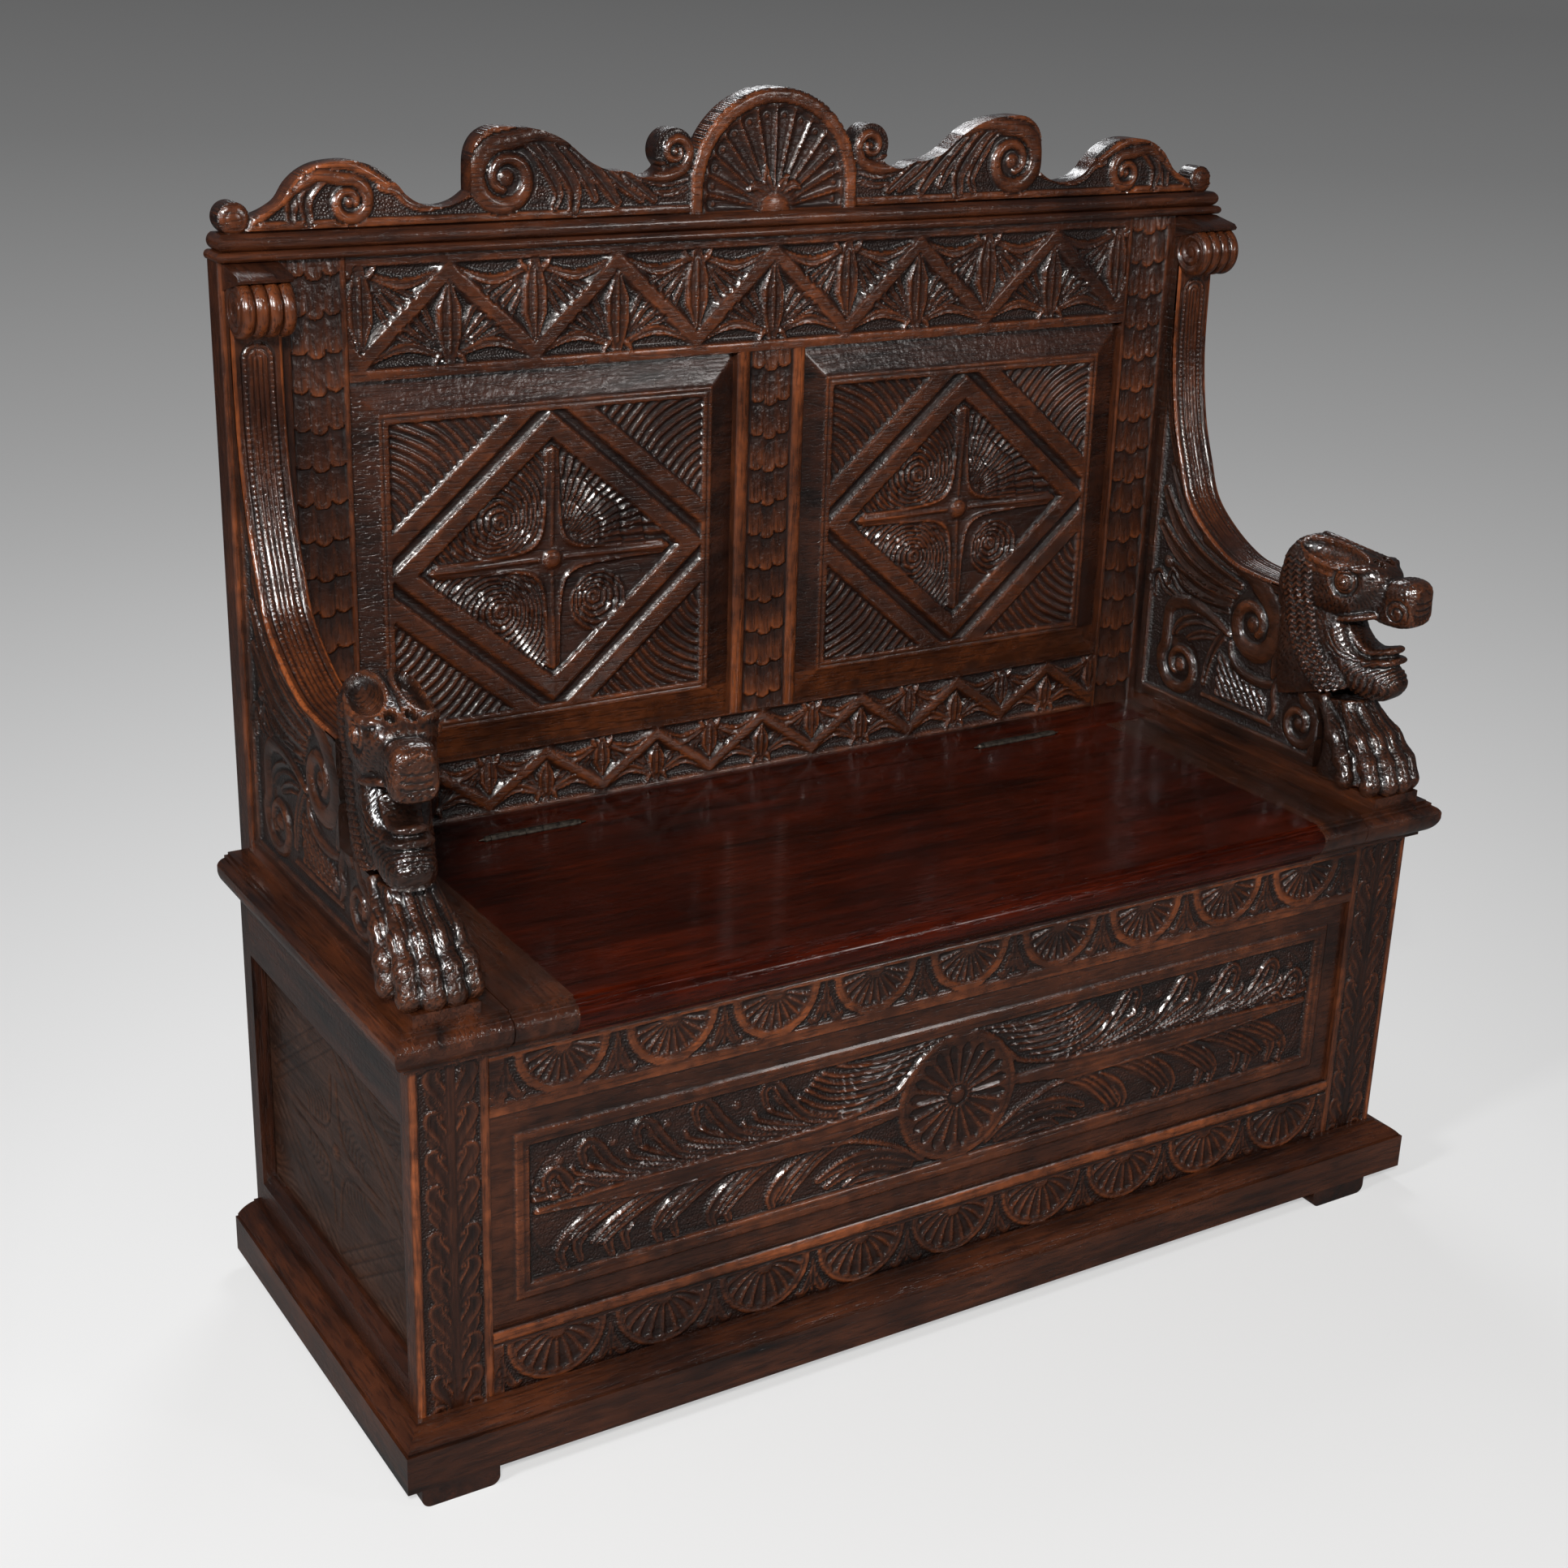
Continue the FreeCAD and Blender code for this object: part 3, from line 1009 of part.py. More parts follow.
def roll():
    """Reeded roll: rings side by side, each rounded by two slopes."""
    start = ARM_INNER - ROLL_SPREAD
    width = (ARM_THICKNESS + 2 * ROLL_SPREAD) / ROLL_REEDS
    small = ROLL_RADIUS - ROLL_GROOVE
    profile = [((k + part) * width, radius) for k in range(ROLL_REEDS)
               for part, radius in ((0, small), (0.3, ROLL_RADIUS), (0.7, ROLL_RADIUS))]
    profile.append((ROLL_REEDS * width, small))
    origin = Vector(start, BACK_FRONT - ROLL_RADIUS - 1, BACK_TOP - ROLL_DROP)
    return lathe(profile, origin, Vector(1, 0, 0), DISC_SIDE_COUNT)


def cap():
    """Sloping block that covers the roll, close under the cornice."""
    top, rear = BACK_TOP, BACK_FRONT
    path = [(rear, top), (rear, top - 2 * CAP_HEIGHT), (rear - CAP_PROJECTION, top - CAP_HEIGHT),
            (rear - 0.15 * CAP_PROJECTION, top)]
    return along_x(path, ARM_INNER - ROLL_SPREAD, ARM_OUTER + ROLL_SPREAD)


def arms():
    """Base strips, arm panels, paws and heads of both sides."""
    spread = ARM_BASE_SPREAD
    base = box(ARM_INNER - spread, ARM_OUTER + spread, -ARM_BASE_OVERHANG, BACK_FRONT, SEAT_TOP, ARM_BASE_TOP)
    head = lion_head()
    head.rotate(Vector(0, HEAD_PIVOT_SHARE * ARM_NECK_FRONT, 0), Vector(0, 0, 1), HEAD_YAW)
    head.translate(Vector(ARM_CENTRE, 0, 0))
    panel = arm_panel()
    head = head.cut(panel)
    paw = lion_paw()
    paw.translate(Vector(ARM_CENTRE, 0, 0))
    shapes = {"arm_base": base, "arm_panel": panel, "lion_paw": paw, "lion_head": head}
    return {"%s_%s" % (name, side): mirrored(shape, sign)
            for name, shape in shapes.items() for side, sign in SIDES}


def main():
    """Build every piece and write it, moved so that the origin is in the middle."""
    os.makedirs("parts", exist_ok=True)
    for make in (feet, plinth, front_frame, box_sides, seat, hinges, back_frame, cornice, crest, arms):
        for name, shape in make().items():
            piece = shape.copy()
            piece.translate(Vector(0, -MIDDLE_DEPTH, 0))
            piece.exportStep("parts/%s.step" % name)


main()
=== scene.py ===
"""Looks of a carved oak hall settle: box seat, panelled back under a scrolled
crest, and arms that end in lion heads on paws.

Lengths are drawn in millimetres on the maker's own axes: x along the seat,
y back from the front of the box, z up from the floor. They become metres in
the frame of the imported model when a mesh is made.
"""

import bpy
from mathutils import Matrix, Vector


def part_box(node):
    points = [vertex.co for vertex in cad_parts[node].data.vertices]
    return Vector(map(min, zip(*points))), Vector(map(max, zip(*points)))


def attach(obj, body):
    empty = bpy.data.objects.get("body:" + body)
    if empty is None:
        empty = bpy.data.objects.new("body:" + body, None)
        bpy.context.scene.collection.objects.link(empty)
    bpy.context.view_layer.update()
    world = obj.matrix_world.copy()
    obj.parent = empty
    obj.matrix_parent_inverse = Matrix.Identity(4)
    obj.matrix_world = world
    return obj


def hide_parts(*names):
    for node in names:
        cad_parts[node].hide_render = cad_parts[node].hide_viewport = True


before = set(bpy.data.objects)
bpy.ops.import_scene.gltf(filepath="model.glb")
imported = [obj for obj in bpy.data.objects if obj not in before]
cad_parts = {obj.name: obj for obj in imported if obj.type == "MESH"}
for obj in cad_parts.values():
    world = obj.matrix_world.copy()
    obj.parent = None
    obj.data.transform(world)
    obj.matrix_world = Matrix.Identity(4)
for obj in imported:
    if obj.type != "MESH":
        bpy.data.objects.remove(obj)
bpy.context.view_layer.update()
COARSE = 1

import logging
import math
from dataclasses import dataclass, field
from enum import Enum
from typing import Callable, Sequence

import bmesh
import bpy
import numpy as np
from mathutils import Matrix, Vector

LOG = logging.getLogger("settle")
MIDDLE_DEPTH = 196.75
LAST_BLUR = 0.55
Point = tuple[float, float]
Grid = np.ndarray
Triple = tuple[float, float, float]
Place = Callable[[Grid, Grid, Grid], tuple[Grid, Grid, Grid]]


class Cut(Enum):
    """Cross-section that the gouge leaves on a stroke."""

    ROUND = "round"
    SCOOP = "scoop"
    RIDGE = "ridge"
    FLAT = "flat"


class Grain(Enum):
    """Way that the grain of a timber runs."""

    ALONG = (0.09, 1.0, 1.0)
    ACROSS = (1.0, 0.09, 1.0)
    UPRIGHT = (1.0, 1.0, 0.09)


def soften(values: Grid, cells: float) -> Grid:
    """Blur a grid with a bell curve, by adding shifted copies along each axis.

    Args:
        values: grid of numbers.
        cells: spread of the bell in cells.

    Returns:
        The blurred grid.
    """
    reach = max(1, int(math.ceil(2.5 * cells)))
    weights = np.exp(-0.5 * (np.arange(-reach, reach + 1) / cells) ** 2)
    weights /= weights.sum()
    for axis in (0, 1):
        pad = [(reach, reach) if a == axis else (0, 0) for a in (0, 1)]
        wide = np.pad(values, pad, mode="edge")
        count = values.shape[axis]
        values = sum(w * np.take(wide, np.arange(k, k + count), axis=axis) for k, w in enumerate(weights))
    return values


def smooth_path(points: Sequence[Point], steps: int = 8) -> Grid:
    """Catmull-Rom curve through points: between two of them the curve is the
    cubic whose slope at each point is half the step between its neighbours.

    Args:
        points: corner points of the path.
        steps: pieces between two points.

    Returns:
        Array of points along the curve.
    """
    p = np.asarray(points, float)
    if len(p) == 2:
        return p
    p = np.vstack([2 * p[0] - p[1], p, 2 * p[-1] - p[-2]])
    t = np.linspace(0, 1, steps, endpoint=False)[:, None, None]
    a, b, c, d = p[:-3], p[1:-2], p[2:-1], p[3:]
    curve = 0.5 * (2 * b + (c - a) * t + (2 * a - 5 * b + 4 * c - d) * t ** 2
                   + (3 * b - a - 3 * c + d) * t ** 3)
    return np.vstack([curve.transpose(1, 0, 2).reshape(-1, p.shape[1]), p[-2]])


def ease(low: float, high: float, x: Grid) -> Grid:
    """Smooth step: 0 below low, 1 above high, and 3t^2 - 2t^3 between."""
    t = np.clip((x - low) / (high - low), 0, 1)
    return t * t * (3 - 2 * t)


def bell(x: Grid, width: float) -> Grid:
    """Bell curve exp(-(x / width)^2)."""
    return np.exp(-(x / width) ** 2)


def dome(x: Grid) -> Grid:
    """Half circle sqrt(1 - x^2), and 0 beyond."""
    return np.sqrt(np.clip(1 - x ** 2, 0, 1))


def zigzag(x: Grid) -> Grid:
    """Zigzag |2 frac(x) - 1|: 1 where x is whole, 0 halfway."""
    return np.abs(2 * (x % 1) - 1)


def lozenge(u: Grid, v: Grid, a: float, b: float) -> Grid:
    """Distance to a lozenge with half axes a and b: (|u|/a + |v|/b - 1) times
    its inner radius, negative inside."""
    return (np.abs(u) / a + np.abs(v) / b - 1) * a * b / math.hypot(a, b)


def nearest(u: Grid, v: Grid, a: Grid, b: Grid) -> tuple[Grid, Grid, Grid]:
    """Nearest point on the line from a to b: a + t (b - a) with t clipped to 0..1.

    Args:
        u: first coordinate of each point.
        v: second coordinate.
        a: start of the line.
        b: its end.

    Returns:
        Share t, and the step from the nearest point in u and in v.
    """
    du, dv = b - a
    t = np.clip(((u - a[0]) * du + (v - a[1]) * dv) / max(1e-12, du * du + dv * dv), 0, 1)
    return t, u - a[0] - t * du, v - a[1] - t * dv


@dataclass
class Relief:
    """Carved face of a board: a height in millimetres over a grid of u and v.

    Height 0 is the board's own face and cuts are negative.
    """

    u0: float
    u1: float
    v0: float
    v1: float
    cell: float = 1.5
    level: float = 0.0

    def __post_init__(self) -> None:
        """Lay out the grid."""
        self.cell *= COARSE
        self.nu = max(2, int(round((self.u1 - self.u0) / self.cell)) + 1)
        self.nv = max(2, int(round((self.v1 - self.v0) / self.cell)) + 1)
        self.u, self.v = np.meshgrid(np.linspace(self.u0, self.u1, self.nu),
                                     np.linspace(self.v0, self.v1, self.nv))
        self.h = np.full(self.u.shape, float(self.level))
        self.ground, self.wear_and_painted_light = np.zeros((2, *self.u.shape))

    @classmethod
    def of(cls, node: str, cell: float = 1.5, level: float = 0.0) -> "Relief":
        """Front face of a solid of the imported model."""
        low, high = room(node)
        return cls(low[0], high[0], low[2], high[2], cell, level)

    def put(self, zone: Grid, height: Grid | float | None = None, ground: float | None = None,
            wear_and_painted_light: Grid | float | None = None) -> None:
        """Set the height, the ground mask and the share of wear and painted light within a zone.

        Args:
            zone: True where they are set.
            height: new height, or None to keep it.
            ground: new ground mask, or None.
            wear_and_painted_light: new share of wear and painted light, or None.
        """
        for name, value in (("h", height), ("ground", ground), ("wear_and_painted_light", wear_and_painted_light)):
            if value is not None:
                setattr(self, name, np.where(zone, value, getattr(self, name)))

    def window(self, path: Grid, reach: float) -> tuple[slice, slice]:
        """Rows and columns of the grid within reach of a path."""
        low, high = path.min(0) - reach, path.max(0) + reach
        spans = []
        for k, start, end, count in ((1, self.v0, self.v1, self.nv), (0, self.u0, self.u1, self.nu)):
            scale = (count - 1) / (end - start)
            first, last = math.floor((low[k] - start) * scale), math.ceil((high[k] - start) * scale) + 1
            spans.append(slice(*(int(np.clip(place, 0, count)) for place in (first, last))))
        return tuple(spans)

    def stroke(self, points: Sequence[Point], widths: Sequence[float], top: float, base: float,
               cut: Cut = Cut.SCOOP, veins: int = 0, vein_depth: float = 0.8,
               lift: Sequence[float] = (0.6, 1.0, 1.0), wear_and_painted_light: float = 0.0) -> None:
        """Carve one leaf or band. Each grid point takes its nearest point on
        the path; q is its distance over the half width there, and the height is
        base + (top - base) x section(q) x lift along the path, set wherever q < 1.

        Args:
            points: path of the stroke.
            widths: half widths, spread evenly along the path.
            top: height of the section's highest line.
            base: height of its edge.
            cut: kind of section.
            veins: number of grooves along the stroke.
            vein_depth: depth of these grooves.
            lift: factors on the height, spread evenly along the path.
            wear_and_painted_light: worn share of its flat surface.
        """
        path = smooth_path(points)
        area = self.window(path, max(widths))
        u, v = self.u[area], self.v[area]
        if not u.size:
            return
        best, along, side = np.full(u.shape, 1e9), np.zeros(u.shape), np.zeros(u.shape)
        steps = np.linalg.norm(np.diff(path, axis=0), axis=1)
        place = np.concatenate([[0], np.cumsum(steps)])
        for a, b, start, length in zip(path[:-1], path[1:], place, steps):
            t, du, dv = nearest(u, v, a, b)
            distance = np.hypot(du, dv)
            near = distance < best
            best = np.where(near, distance, best)
            along = np.where(near, (start + t * length) / place[-1], along)
            side = np.where(near, np.sign((b[0] - a[0]) * dv - (b[1] - a[1]) * du), side)
        half, raised = (np.interp(along, np.linspace(0, 1, len(row)), row) for row in (widths, lift))
        q = best / np.maximum(half, 1e-3)
        height = base + (top - base) * raised * section_of(cut, q)
        if veins:
            height = height - vein_depth * np.cos(veins * math.pi * side * q) ** 6 * (1 - q) * raised
        for grid, value in ((self.h, height), (self.ground, 0), (self.wear_and_painted_light, wear_and_painted_light)):
            grid[area] = np.where(q < 1, value, grid[area])

    def groove(self, points: Sequence[Point], half: float, depth: float) -> None:
        """Cut a V-shaped line of this half width and depth along a path."""
        path = smooth_path(points)
        area = self.window(path, half)
        u, v = self.u[area], self.v[area]
        if u.size:
            best = np.min([np.hypot(*nearest(u, v, a, b)[1:]) for a, b in zip(path[:-1], path[1:])], axis=0)
            self.h[area] -= depth * np.clip(1 - best / half, 0, 1)

    def dot(self, u: float, v: float, radius: float, height: float) -> None:
        """Add a low dome, or with a negative height a drilled dimple."""
        area = self.window(np.array([[u, v]]), radius)
        self.h[area] += height * dome(np.hypot(self.u[area] - u, self.v[area] - v) / radius)

    def within(self, u0: float, u1: float, v0: float, v1: float) -> Grid:
        """Distance inside the edge of a rectangle, negative outside."""
        return np.minimum(np.minimum(self.u - u0, u1 - self.u), np.minimum(self.v - v0, v1 - self.v))

    def frame_steps(self, box: tuple[float, float, float, float], profile: Sequence[Point]) -> None:
        """Sink a rectangular field: the height follows a profile of (distance
        inside the rectangle's edge, height).

        Args:
            box: u0, u1, v0, v1 of the rectangle.
            profile: pairs of distance and height.
        """
        distance = self.within(*box)
        self.put(distance >= 0, np.interp(distance, *zip(*profile)))

    def mirror_u(self) -> None:
        """Copy the half with larger u onto the other half, reversed."""
        half = self.nu // 2
        for values in (self.h, self.ground, self.wear_and_painted_light):
            values[:, :half] = values[:, ::-1][:, :half]

    def rosette(self, u: float, v: float, radius: float, petals: int, hub: float, rim: float, low: float,
                high: float) -> None:
        """Round flower: flutes of full depth where t, the zigzag of the angle,
        is under 0.4, that rise to a ridge at t = 1, a round rim and a domed hub.

        Args:
            u: middle.
            v: middle.
            radius: outer radius of the rim.
            petals: number of flutes.
            hub: radius of the hub.
            rim: width of the rim.
            low: height of the ground.
            high: height of the rim's top.
        """
        du, dv = self.u - u, self.v - v
        r = np.hypot(du, dv)
        t = zigzag(np.arctan2(dv, du) * petals / (2 * math.pi))
        inner = radius - rim
        flute = (1 - np.clip((t - 0.4) / 0.6, 0, 1)) * ease(hub, hub + 9, r)
        height = np.where(r < inner, high - 1.0 - 3.2 * flute * ease(inner - 1, inner - 9, r + 5 * t),
                          high * dome((r - radius + rim / 2) / (rim / 2 + 0.3)) - 0.9)
        height = np.where(r < hub + 3, low + 1.2, height)
        height = np.where(r < hub, low + 1.2 + 3.2 * dome(r / hub), height)
        self.put(r < radius, height, 0, np.where(r > inner, 0.3, 0.05))
        for angle in (np.arange(petals) + 0.5) * 2 * math.pi / petals:
            self.dot(u + 0.80 * radius * math.cos(angle), v + 0.80 * radius * math.sin(angle), 2.6, -1.5)

    def fan(self, u: float, v: float, radius: float, rim: float, petals: int, high: float, wear_and_painted_light: float = 0.6,
            swell: float = 0.0) -> None:
        """Half flower that hangs from a line: flutes inside a flat rim. With
        swell the ridges bend outward, like a scallop's.

        Args:
            u: middle.
            v: line from which it hangs.
            radius: outer radius of the rim.
            rim: width of the rim.
            petals: number of flutes in the half turn.
            high: height of the rim.
            wear_and_painted_light: worn share of the rim.
            swell: bend of the ridges.
        """
        du, dv = self.u - u, v - self.v
        r = np.hypot(du, dv)
        angle = np.arctan2(dv, du)
        bent = angle + swell * np.cos(angle) * (1 - r / radius) * 1.6
        t = zigzag(bent * petals / math.pi)
        inner = radius - rim
        scallop = inner - 3.0 * t if swell else inner
        ribs = np.clip((t - 0.42) / 0.58, 0, 1)
        flutes = high - 0.2 - 3.0 * (1 - ribs) * ease(5, 12, r) * ease(0, 4, scallop - r)
        height = np.where(r < inner, flutes, high) - 1.5 * bell(r - inner, 0.9)
        height = np.where(r < 7, high - 0.2, height)
        self.put((r < radius) & (dv > 0), height, 0, np.where(r > inner, wear_and_painted_light, 0.1))

    def carve_ground(self, mask: Grid, rows: tuple[float, float], low: float) -> None:
        """Sink the ground within a mask and between two heights, with a sloping
        edge at both heights."""
        edge = np.minimum(self.v - rows[0], rows[1] - self.v)
        self.put(edge > 0, low * ease(0, 2.5, edge) * mask)
        self.put((edge > 1.5) & mask, ground=1.0)

    def strip(self, low: float, high: float, height: float, wear_and_painted_light: float) -> None:
        """Plain strip from one height on the board to another."""
        self.put((self.v >= low) & (self.v <= high), height, 0, wear_and_painted_light)

    def turn_over(self) -> None:
        """Mirror the whole face at u = 0."""
        self.u0, self.u1 = -self.u1, -self.u0
        self.u = -self.u[:, ::-1]
        self.h, self.ground, self.wear_and_painted_light = (grid[:, ::-1].copy() for grid in (self.h, self.ground, self.wear_and_painted_light))

    def slide(self, distance: float) -> None:
        """Move the whole face along u."""
        self.u0, self.u1, self.u = self.u0 + distance, self.u1 + distance, self.u + distance

    def scroll(self, u: float, v: float, radius: float, turns: float, start: float, hand: int,
               widths: Sequence[float], low: float, lead: Sequence[Point] = (), wear_and_painted_light: float = 0.0) -> None:
        """Band that winds into an eye: its middle line has the radius
        R (1 - 0.68 a / whole turn), after a lead from outside.

        Args:
            u: middle.
            v: middle.
            radius: radius at the start of the turn.
            turns: number of turns.
            start: angle in degrees where the turn begins.
            hand: 1 anticlockwise, -1 clockwise.
            widths: half widths along the whole band.
            low: height of the channel.
            lead: points that come before the turn.
            wear_and_painted_light: worn share.
        """
        a = np.linspace(0, 2 * math.pi * turns, int(14 * turns))
        r = radius * (1 - 0.68 * a / a[-1])
        way = math.radians(start) + hand * a
        self.put(np.hypot(self.u - u, self.v - v) < radius, low, 0)
        path = list(lead) + list(zip(u + r * np.cos(way), v + r * np.sin(way)))
        self.stroke(path, widths, 0.0, low, Cut.ROUND, lift=(1, 1, 1), wear_and_painted_light=wear_and_painted_light)
        self.ball(u, v, 0.24 * radius, low, -0.6)

    def ball(self, u: float, v: float, radius: float, low: float, high: float) -> None:
        """Round knob: low + (high - low) sqrt(1 - (r / R)^2), with a ring line."""
        r = np.hypot(self.u - u, self.v - v)
        height = low + (high - low) * dome(r / radius) - 0.9 * bell(r - 0.55 * radius, 1.0)
        self.put(r < radius, height, 0, 0.3)

    def shades(self) -> Grid:
        """Worn, hollow and ground masks: how far the height stands above or
        below the blurred height, each between 0 and 1. The worn mask also
        takes the set share of wear and painted light."""
        near = self.h - soften(self.h, 2.2 / self.cell)
        wide = self.h - soften(self.h, 7.0 / self.cell)
        worn = np.clip(near / 0.9, 0, 1) * 0.28 + np.clip(wide / 2.4, 0, 1) * 0.22 + self.wear_and_painted_light * 0.75
        hollow = np.clip(-near / 0.9, 0, 1) * 0.5 + np.clip(-wide / 2.5, 0, 1) * 0.5
        return np.stack([np.clip(worn, 0, 1), hollow, np.clip(self.ground, 0, 1)], axis=-1)


def section_of(cut: Cut, q: Grid) -> Grid:
    """Height share of a section at q, the distance over the half width."""
    q = np.clip(q, 0, 1)
    if cut is Cut.ROUND:
        return np.sqrt(1 - q * q)
    if cut is Cut.RIDGE:
        return 1 - q
    if cut is Cut.FLAT:
        return 1 - ease(0.8, 1.0, q)
    return (0.45 + 0.55 * (q / 0.78) ** 2) * (q < 0.78) + (1 - ease(0.78, 1.0, q)) * (q >= 0.78)


def facing_front(face: float) -> Place:
    """Board that faces the sitter's knees: u is x, v is z, height comes forward."""
    return lambda u, v, h: (u, face - h, v)


def facing_side(face: float, sign: float) -> Place:
    """Board that faces sideways: u is y, v is z, height goes out along x."""
    return lambda u, v, h: (face + sign * h, u, v)


def linked(name: str, data: bpy.types.ID) -> bpy.types.Object:
    """New object in the scene's own collection."""
    made = bpy.data.objects.new(name, data)
    bpy.context.scene.collection.objects.link(made)
    return made


def new_object(name: str, vertices: Grid, faces: list, material: bpy.types.Material,
               shades: Grid | None = None, sharp: float = 38.0) -> bpy.types.Object:
    """Make a piece from points in millimetres and let it ride on its body.

    Args:
        name: name of the piece.
        vertices: array of x, y, z in millimetres.
        faces: list of vertex numbers of each face.
        material: its finish.
        shades: worn, hollow and ground masks of each point.
        sharp: angle in degrees above which an edge shows as sharp.

    Returns:
        The new object.
    """
    mesh = bpy.data.meshes.new(name)
    metres = (np.asarray(vertices, float) - (0, MIDDLE_DEPTH, 0)) / 1000
    mesh.from_pydata(metres.tolist(), [], faces)
    if shades is not None:
        colours = np.ones((len(metres), 4), np.float32)
        colours[:, :3] = shades
        layer = mesh.attributes.new("carving", "FLOAT_COLOR", "POINT")
        layer.data.foreach_set("color", colours.ravel())
    mesh.validate()
    mesh.polygons.foreach_set("use_smooth", np.ones(len(mesh.polygons), bool))
    mesh.update()
    mesh.set_sharp_from_angle(angle=math.radians(sharp))
    mesh.materials.append(material)
    piece = linked(name, mesh)
    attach(piece, "bench")
    LOG.info("%s: %d faces", name, len(mesh.polygons))
    return piece


def quads_of(rows: int, columns: int) -> Grid:
    """Corner numbers of every cell of a grid of points, row by row."""
    index = np.arange(rows * columns).reshape(rows, columns)
    return np.stack([index[:-1, :-1], index[:-1, 1:], index[1:, 1:], index[1:, :-1]], -1).reshape(-1, 4)


def tube_faces(rows: int, around: int, inward: bool = False) -> list:
    """Faces between rings of points one after another, with both ends closed.

    Args:
        rows: number of rings.
        around: points in one ring.
        inward: True where the rings run the other way round.

    Returns:
        Corner numbers of each face.
    """
    index = np.arange(rows * around).reshape(rows, around)
    step = np.roll(index, -1, axis=1)
    corners = [index[:-1], step[:-1], step[1:], index[1:]]
    way = -1
    if inward:
        corners, way = [corners[k] for k in (0, 3, 2, 1)], 1
    quads = np.stack(corners, -1).reshape(-1, 4).tolist()
    return quads + [index[0, ::way].tolist(), index[-1, ::-way].tolist()]


def turned(faces: list, flip: bool = True) -> list:
    """The same faces, seen from the other side where asked."""
    return [face[::-1] for face in faces] if flip else faces


def board(name: str, relief: Relief, place: Place, thickness: float, material: bpy.types.Material,
          flip: bool = False) -> bpy.types.Object:
    """Closed board: the carved grid in front, straight edges, and a flat back.

    Args:
        name: name of the piece.
        relief: its carved face.
        place: takes u, v and height to x, y, z.
        thickness: depth of the flat back below height 0.
        material: its finish.
        flip: True where the place turns the grid inside out.

    Returns:
        The new object.
    """
    rows, columns = relief.u.shape
    front = np.stack(place(relief.u, relief.v, soften(relief.h, LAST_BLUR)), -1).reshape(-1, 3)
    index = np.arange(rows * columns).reshape(rows, columns)
    rim = np.concatenate([index[0, :-1], index[:-1, -1], index[-1, :0:-1], index[:0:-1, 0]])
    back = np.stack(place(relief.u.ravel()[rim], relief.v.ravel()[rim], np.full(len(rim), -thickness)), -1)
    ring = len(front) + np.arange(len(rim))
    walls = np.stack([np.roll(rim, -1), rim, ring, np.roll(ring, -1)], -1)
    faces = np.vstack([quads_of(rows, columns), walls]).tolist() + [ring[::-1].tolist()]
    shades = np.vstack([relief.shades().reshape(-1, 3), np.zeros((len(rim), 3))])
    return new_object(name, np.vstack([front, back]), turned(faces, flip), material, shades)


def outline_distance(u: Grid, v: Grid, outline: Grid) -> tuple[Grid, Grid, Grid]:
    """Distance to a closed outline, negative inside, with the nearest point.

    Args:
        u: first coordinate of each point.
        v: second coordinate.
        outline: corners of the outline in order.

    Returns:
        Signed distance, and the nearest point's two coordinates.
    """
    best = np.full(u.shape, 1e9)
    near_u, near_v = u, v
    inside = np.zeros(u.shape, bool)
    for a, b in zip(outline, np.roll(outline, -1, axis=0)):
        _, du, dv = nearest(u, v, a, b)
        distance = np.hypot(du, dv)
        near = distance < best
        best, near_u, near_v = (np.where(near, new, old) for new, old in
                                ((distance, best), (u - du, near_u), (v - dv, near_v)))
        if b[1] != a[1]:
            inside ^= ((a[1] > v) != (b[1] > v)) & (u < a[0] + (v - a[1]) / (b[1] - a[1]) * (b[0] - a[0]))
    return np.where(inside, -best, best), near_u, near_v


def sawn_board(name: str, relief: Relief, outline: Grid, place: Place, thickness: float,
               material: bpy.types.Material, whole_back: bool = False) -> bpy.types.Object:
    """Closed board sawn to an outline. Cells whose corners all lie within half a
    cell of the inside stay, and the corners on their rim move to the outline.

    Args:
        name: name of the piece.
        relief: its carved face.
        outline: corners of the sawn outline in order.
        place: takes u, v and height to x, y, z.
        thickness: depth of the flat back below height 0.
        material: its finish.
        whole_back: True to close the back with a cell for each cell in front.

    Returns:
        The new object.
    """
    distance, near_u, near_v = outline_distance(relief.u, relief.v, outline)
    cells = quads_of(*relief.u.shape)
    kept = cells[(distance.ravel()[cells] < 0.45 * relief.cell).all(axis=1)]
    count = np.bincount(kept.ravel(), minlength=relief.u.size)
    rim = (count > 0) & (count < 4)
    used = np.flatnonzero(count)
    size = len(used)
    u, v = (np.where(rim, near.ravel(), plain.ravel())[used] for near, plain in
            ((near_u, relief.u), (near_v, relief.v)))
    number = np.full(relief.u.size, -1)
    number[used] = np.arange(size)
    quads = number[kept]
    edges = np.vstack([quads[:, [k, (k + 1) % 4]] for k in range(4)])
    border = edges[~np.isin(edges[:, 0] * size + edges[:, 1], edges[:, 1] * size + edges[:, 0])]
    ends = np.arange(size) if whole_back else np.unique(border)
    lower = np.full(size, -1)
    lower[ends] = size + np.arange(len(ends))
    front = np.stack(place(u, v, soften(relief.h, LAST_BLUR).ravel()[used]), -1)
    back = np.stack(place(u[ends], v[ends], np.full(len(ends), -thickness)), -1)
    faces = [quads, np.stack([border[:, 1], border[:, 0], lower[border[:, 0]], lower[border[:, 1]]], -1)]
    if whole_back:
        faces.append(lower[quads[:, ::-1]])
    shades = np.vstack([relief.shades().reshape(-1, 3)[used], np.zeros((len(ends), 3))])
    piece = new_object(name, np.vstack([front, back]), np.vstack(faces).tolist(), material, shades)
    if not whole_back:
        close_back(piece)
    return piece


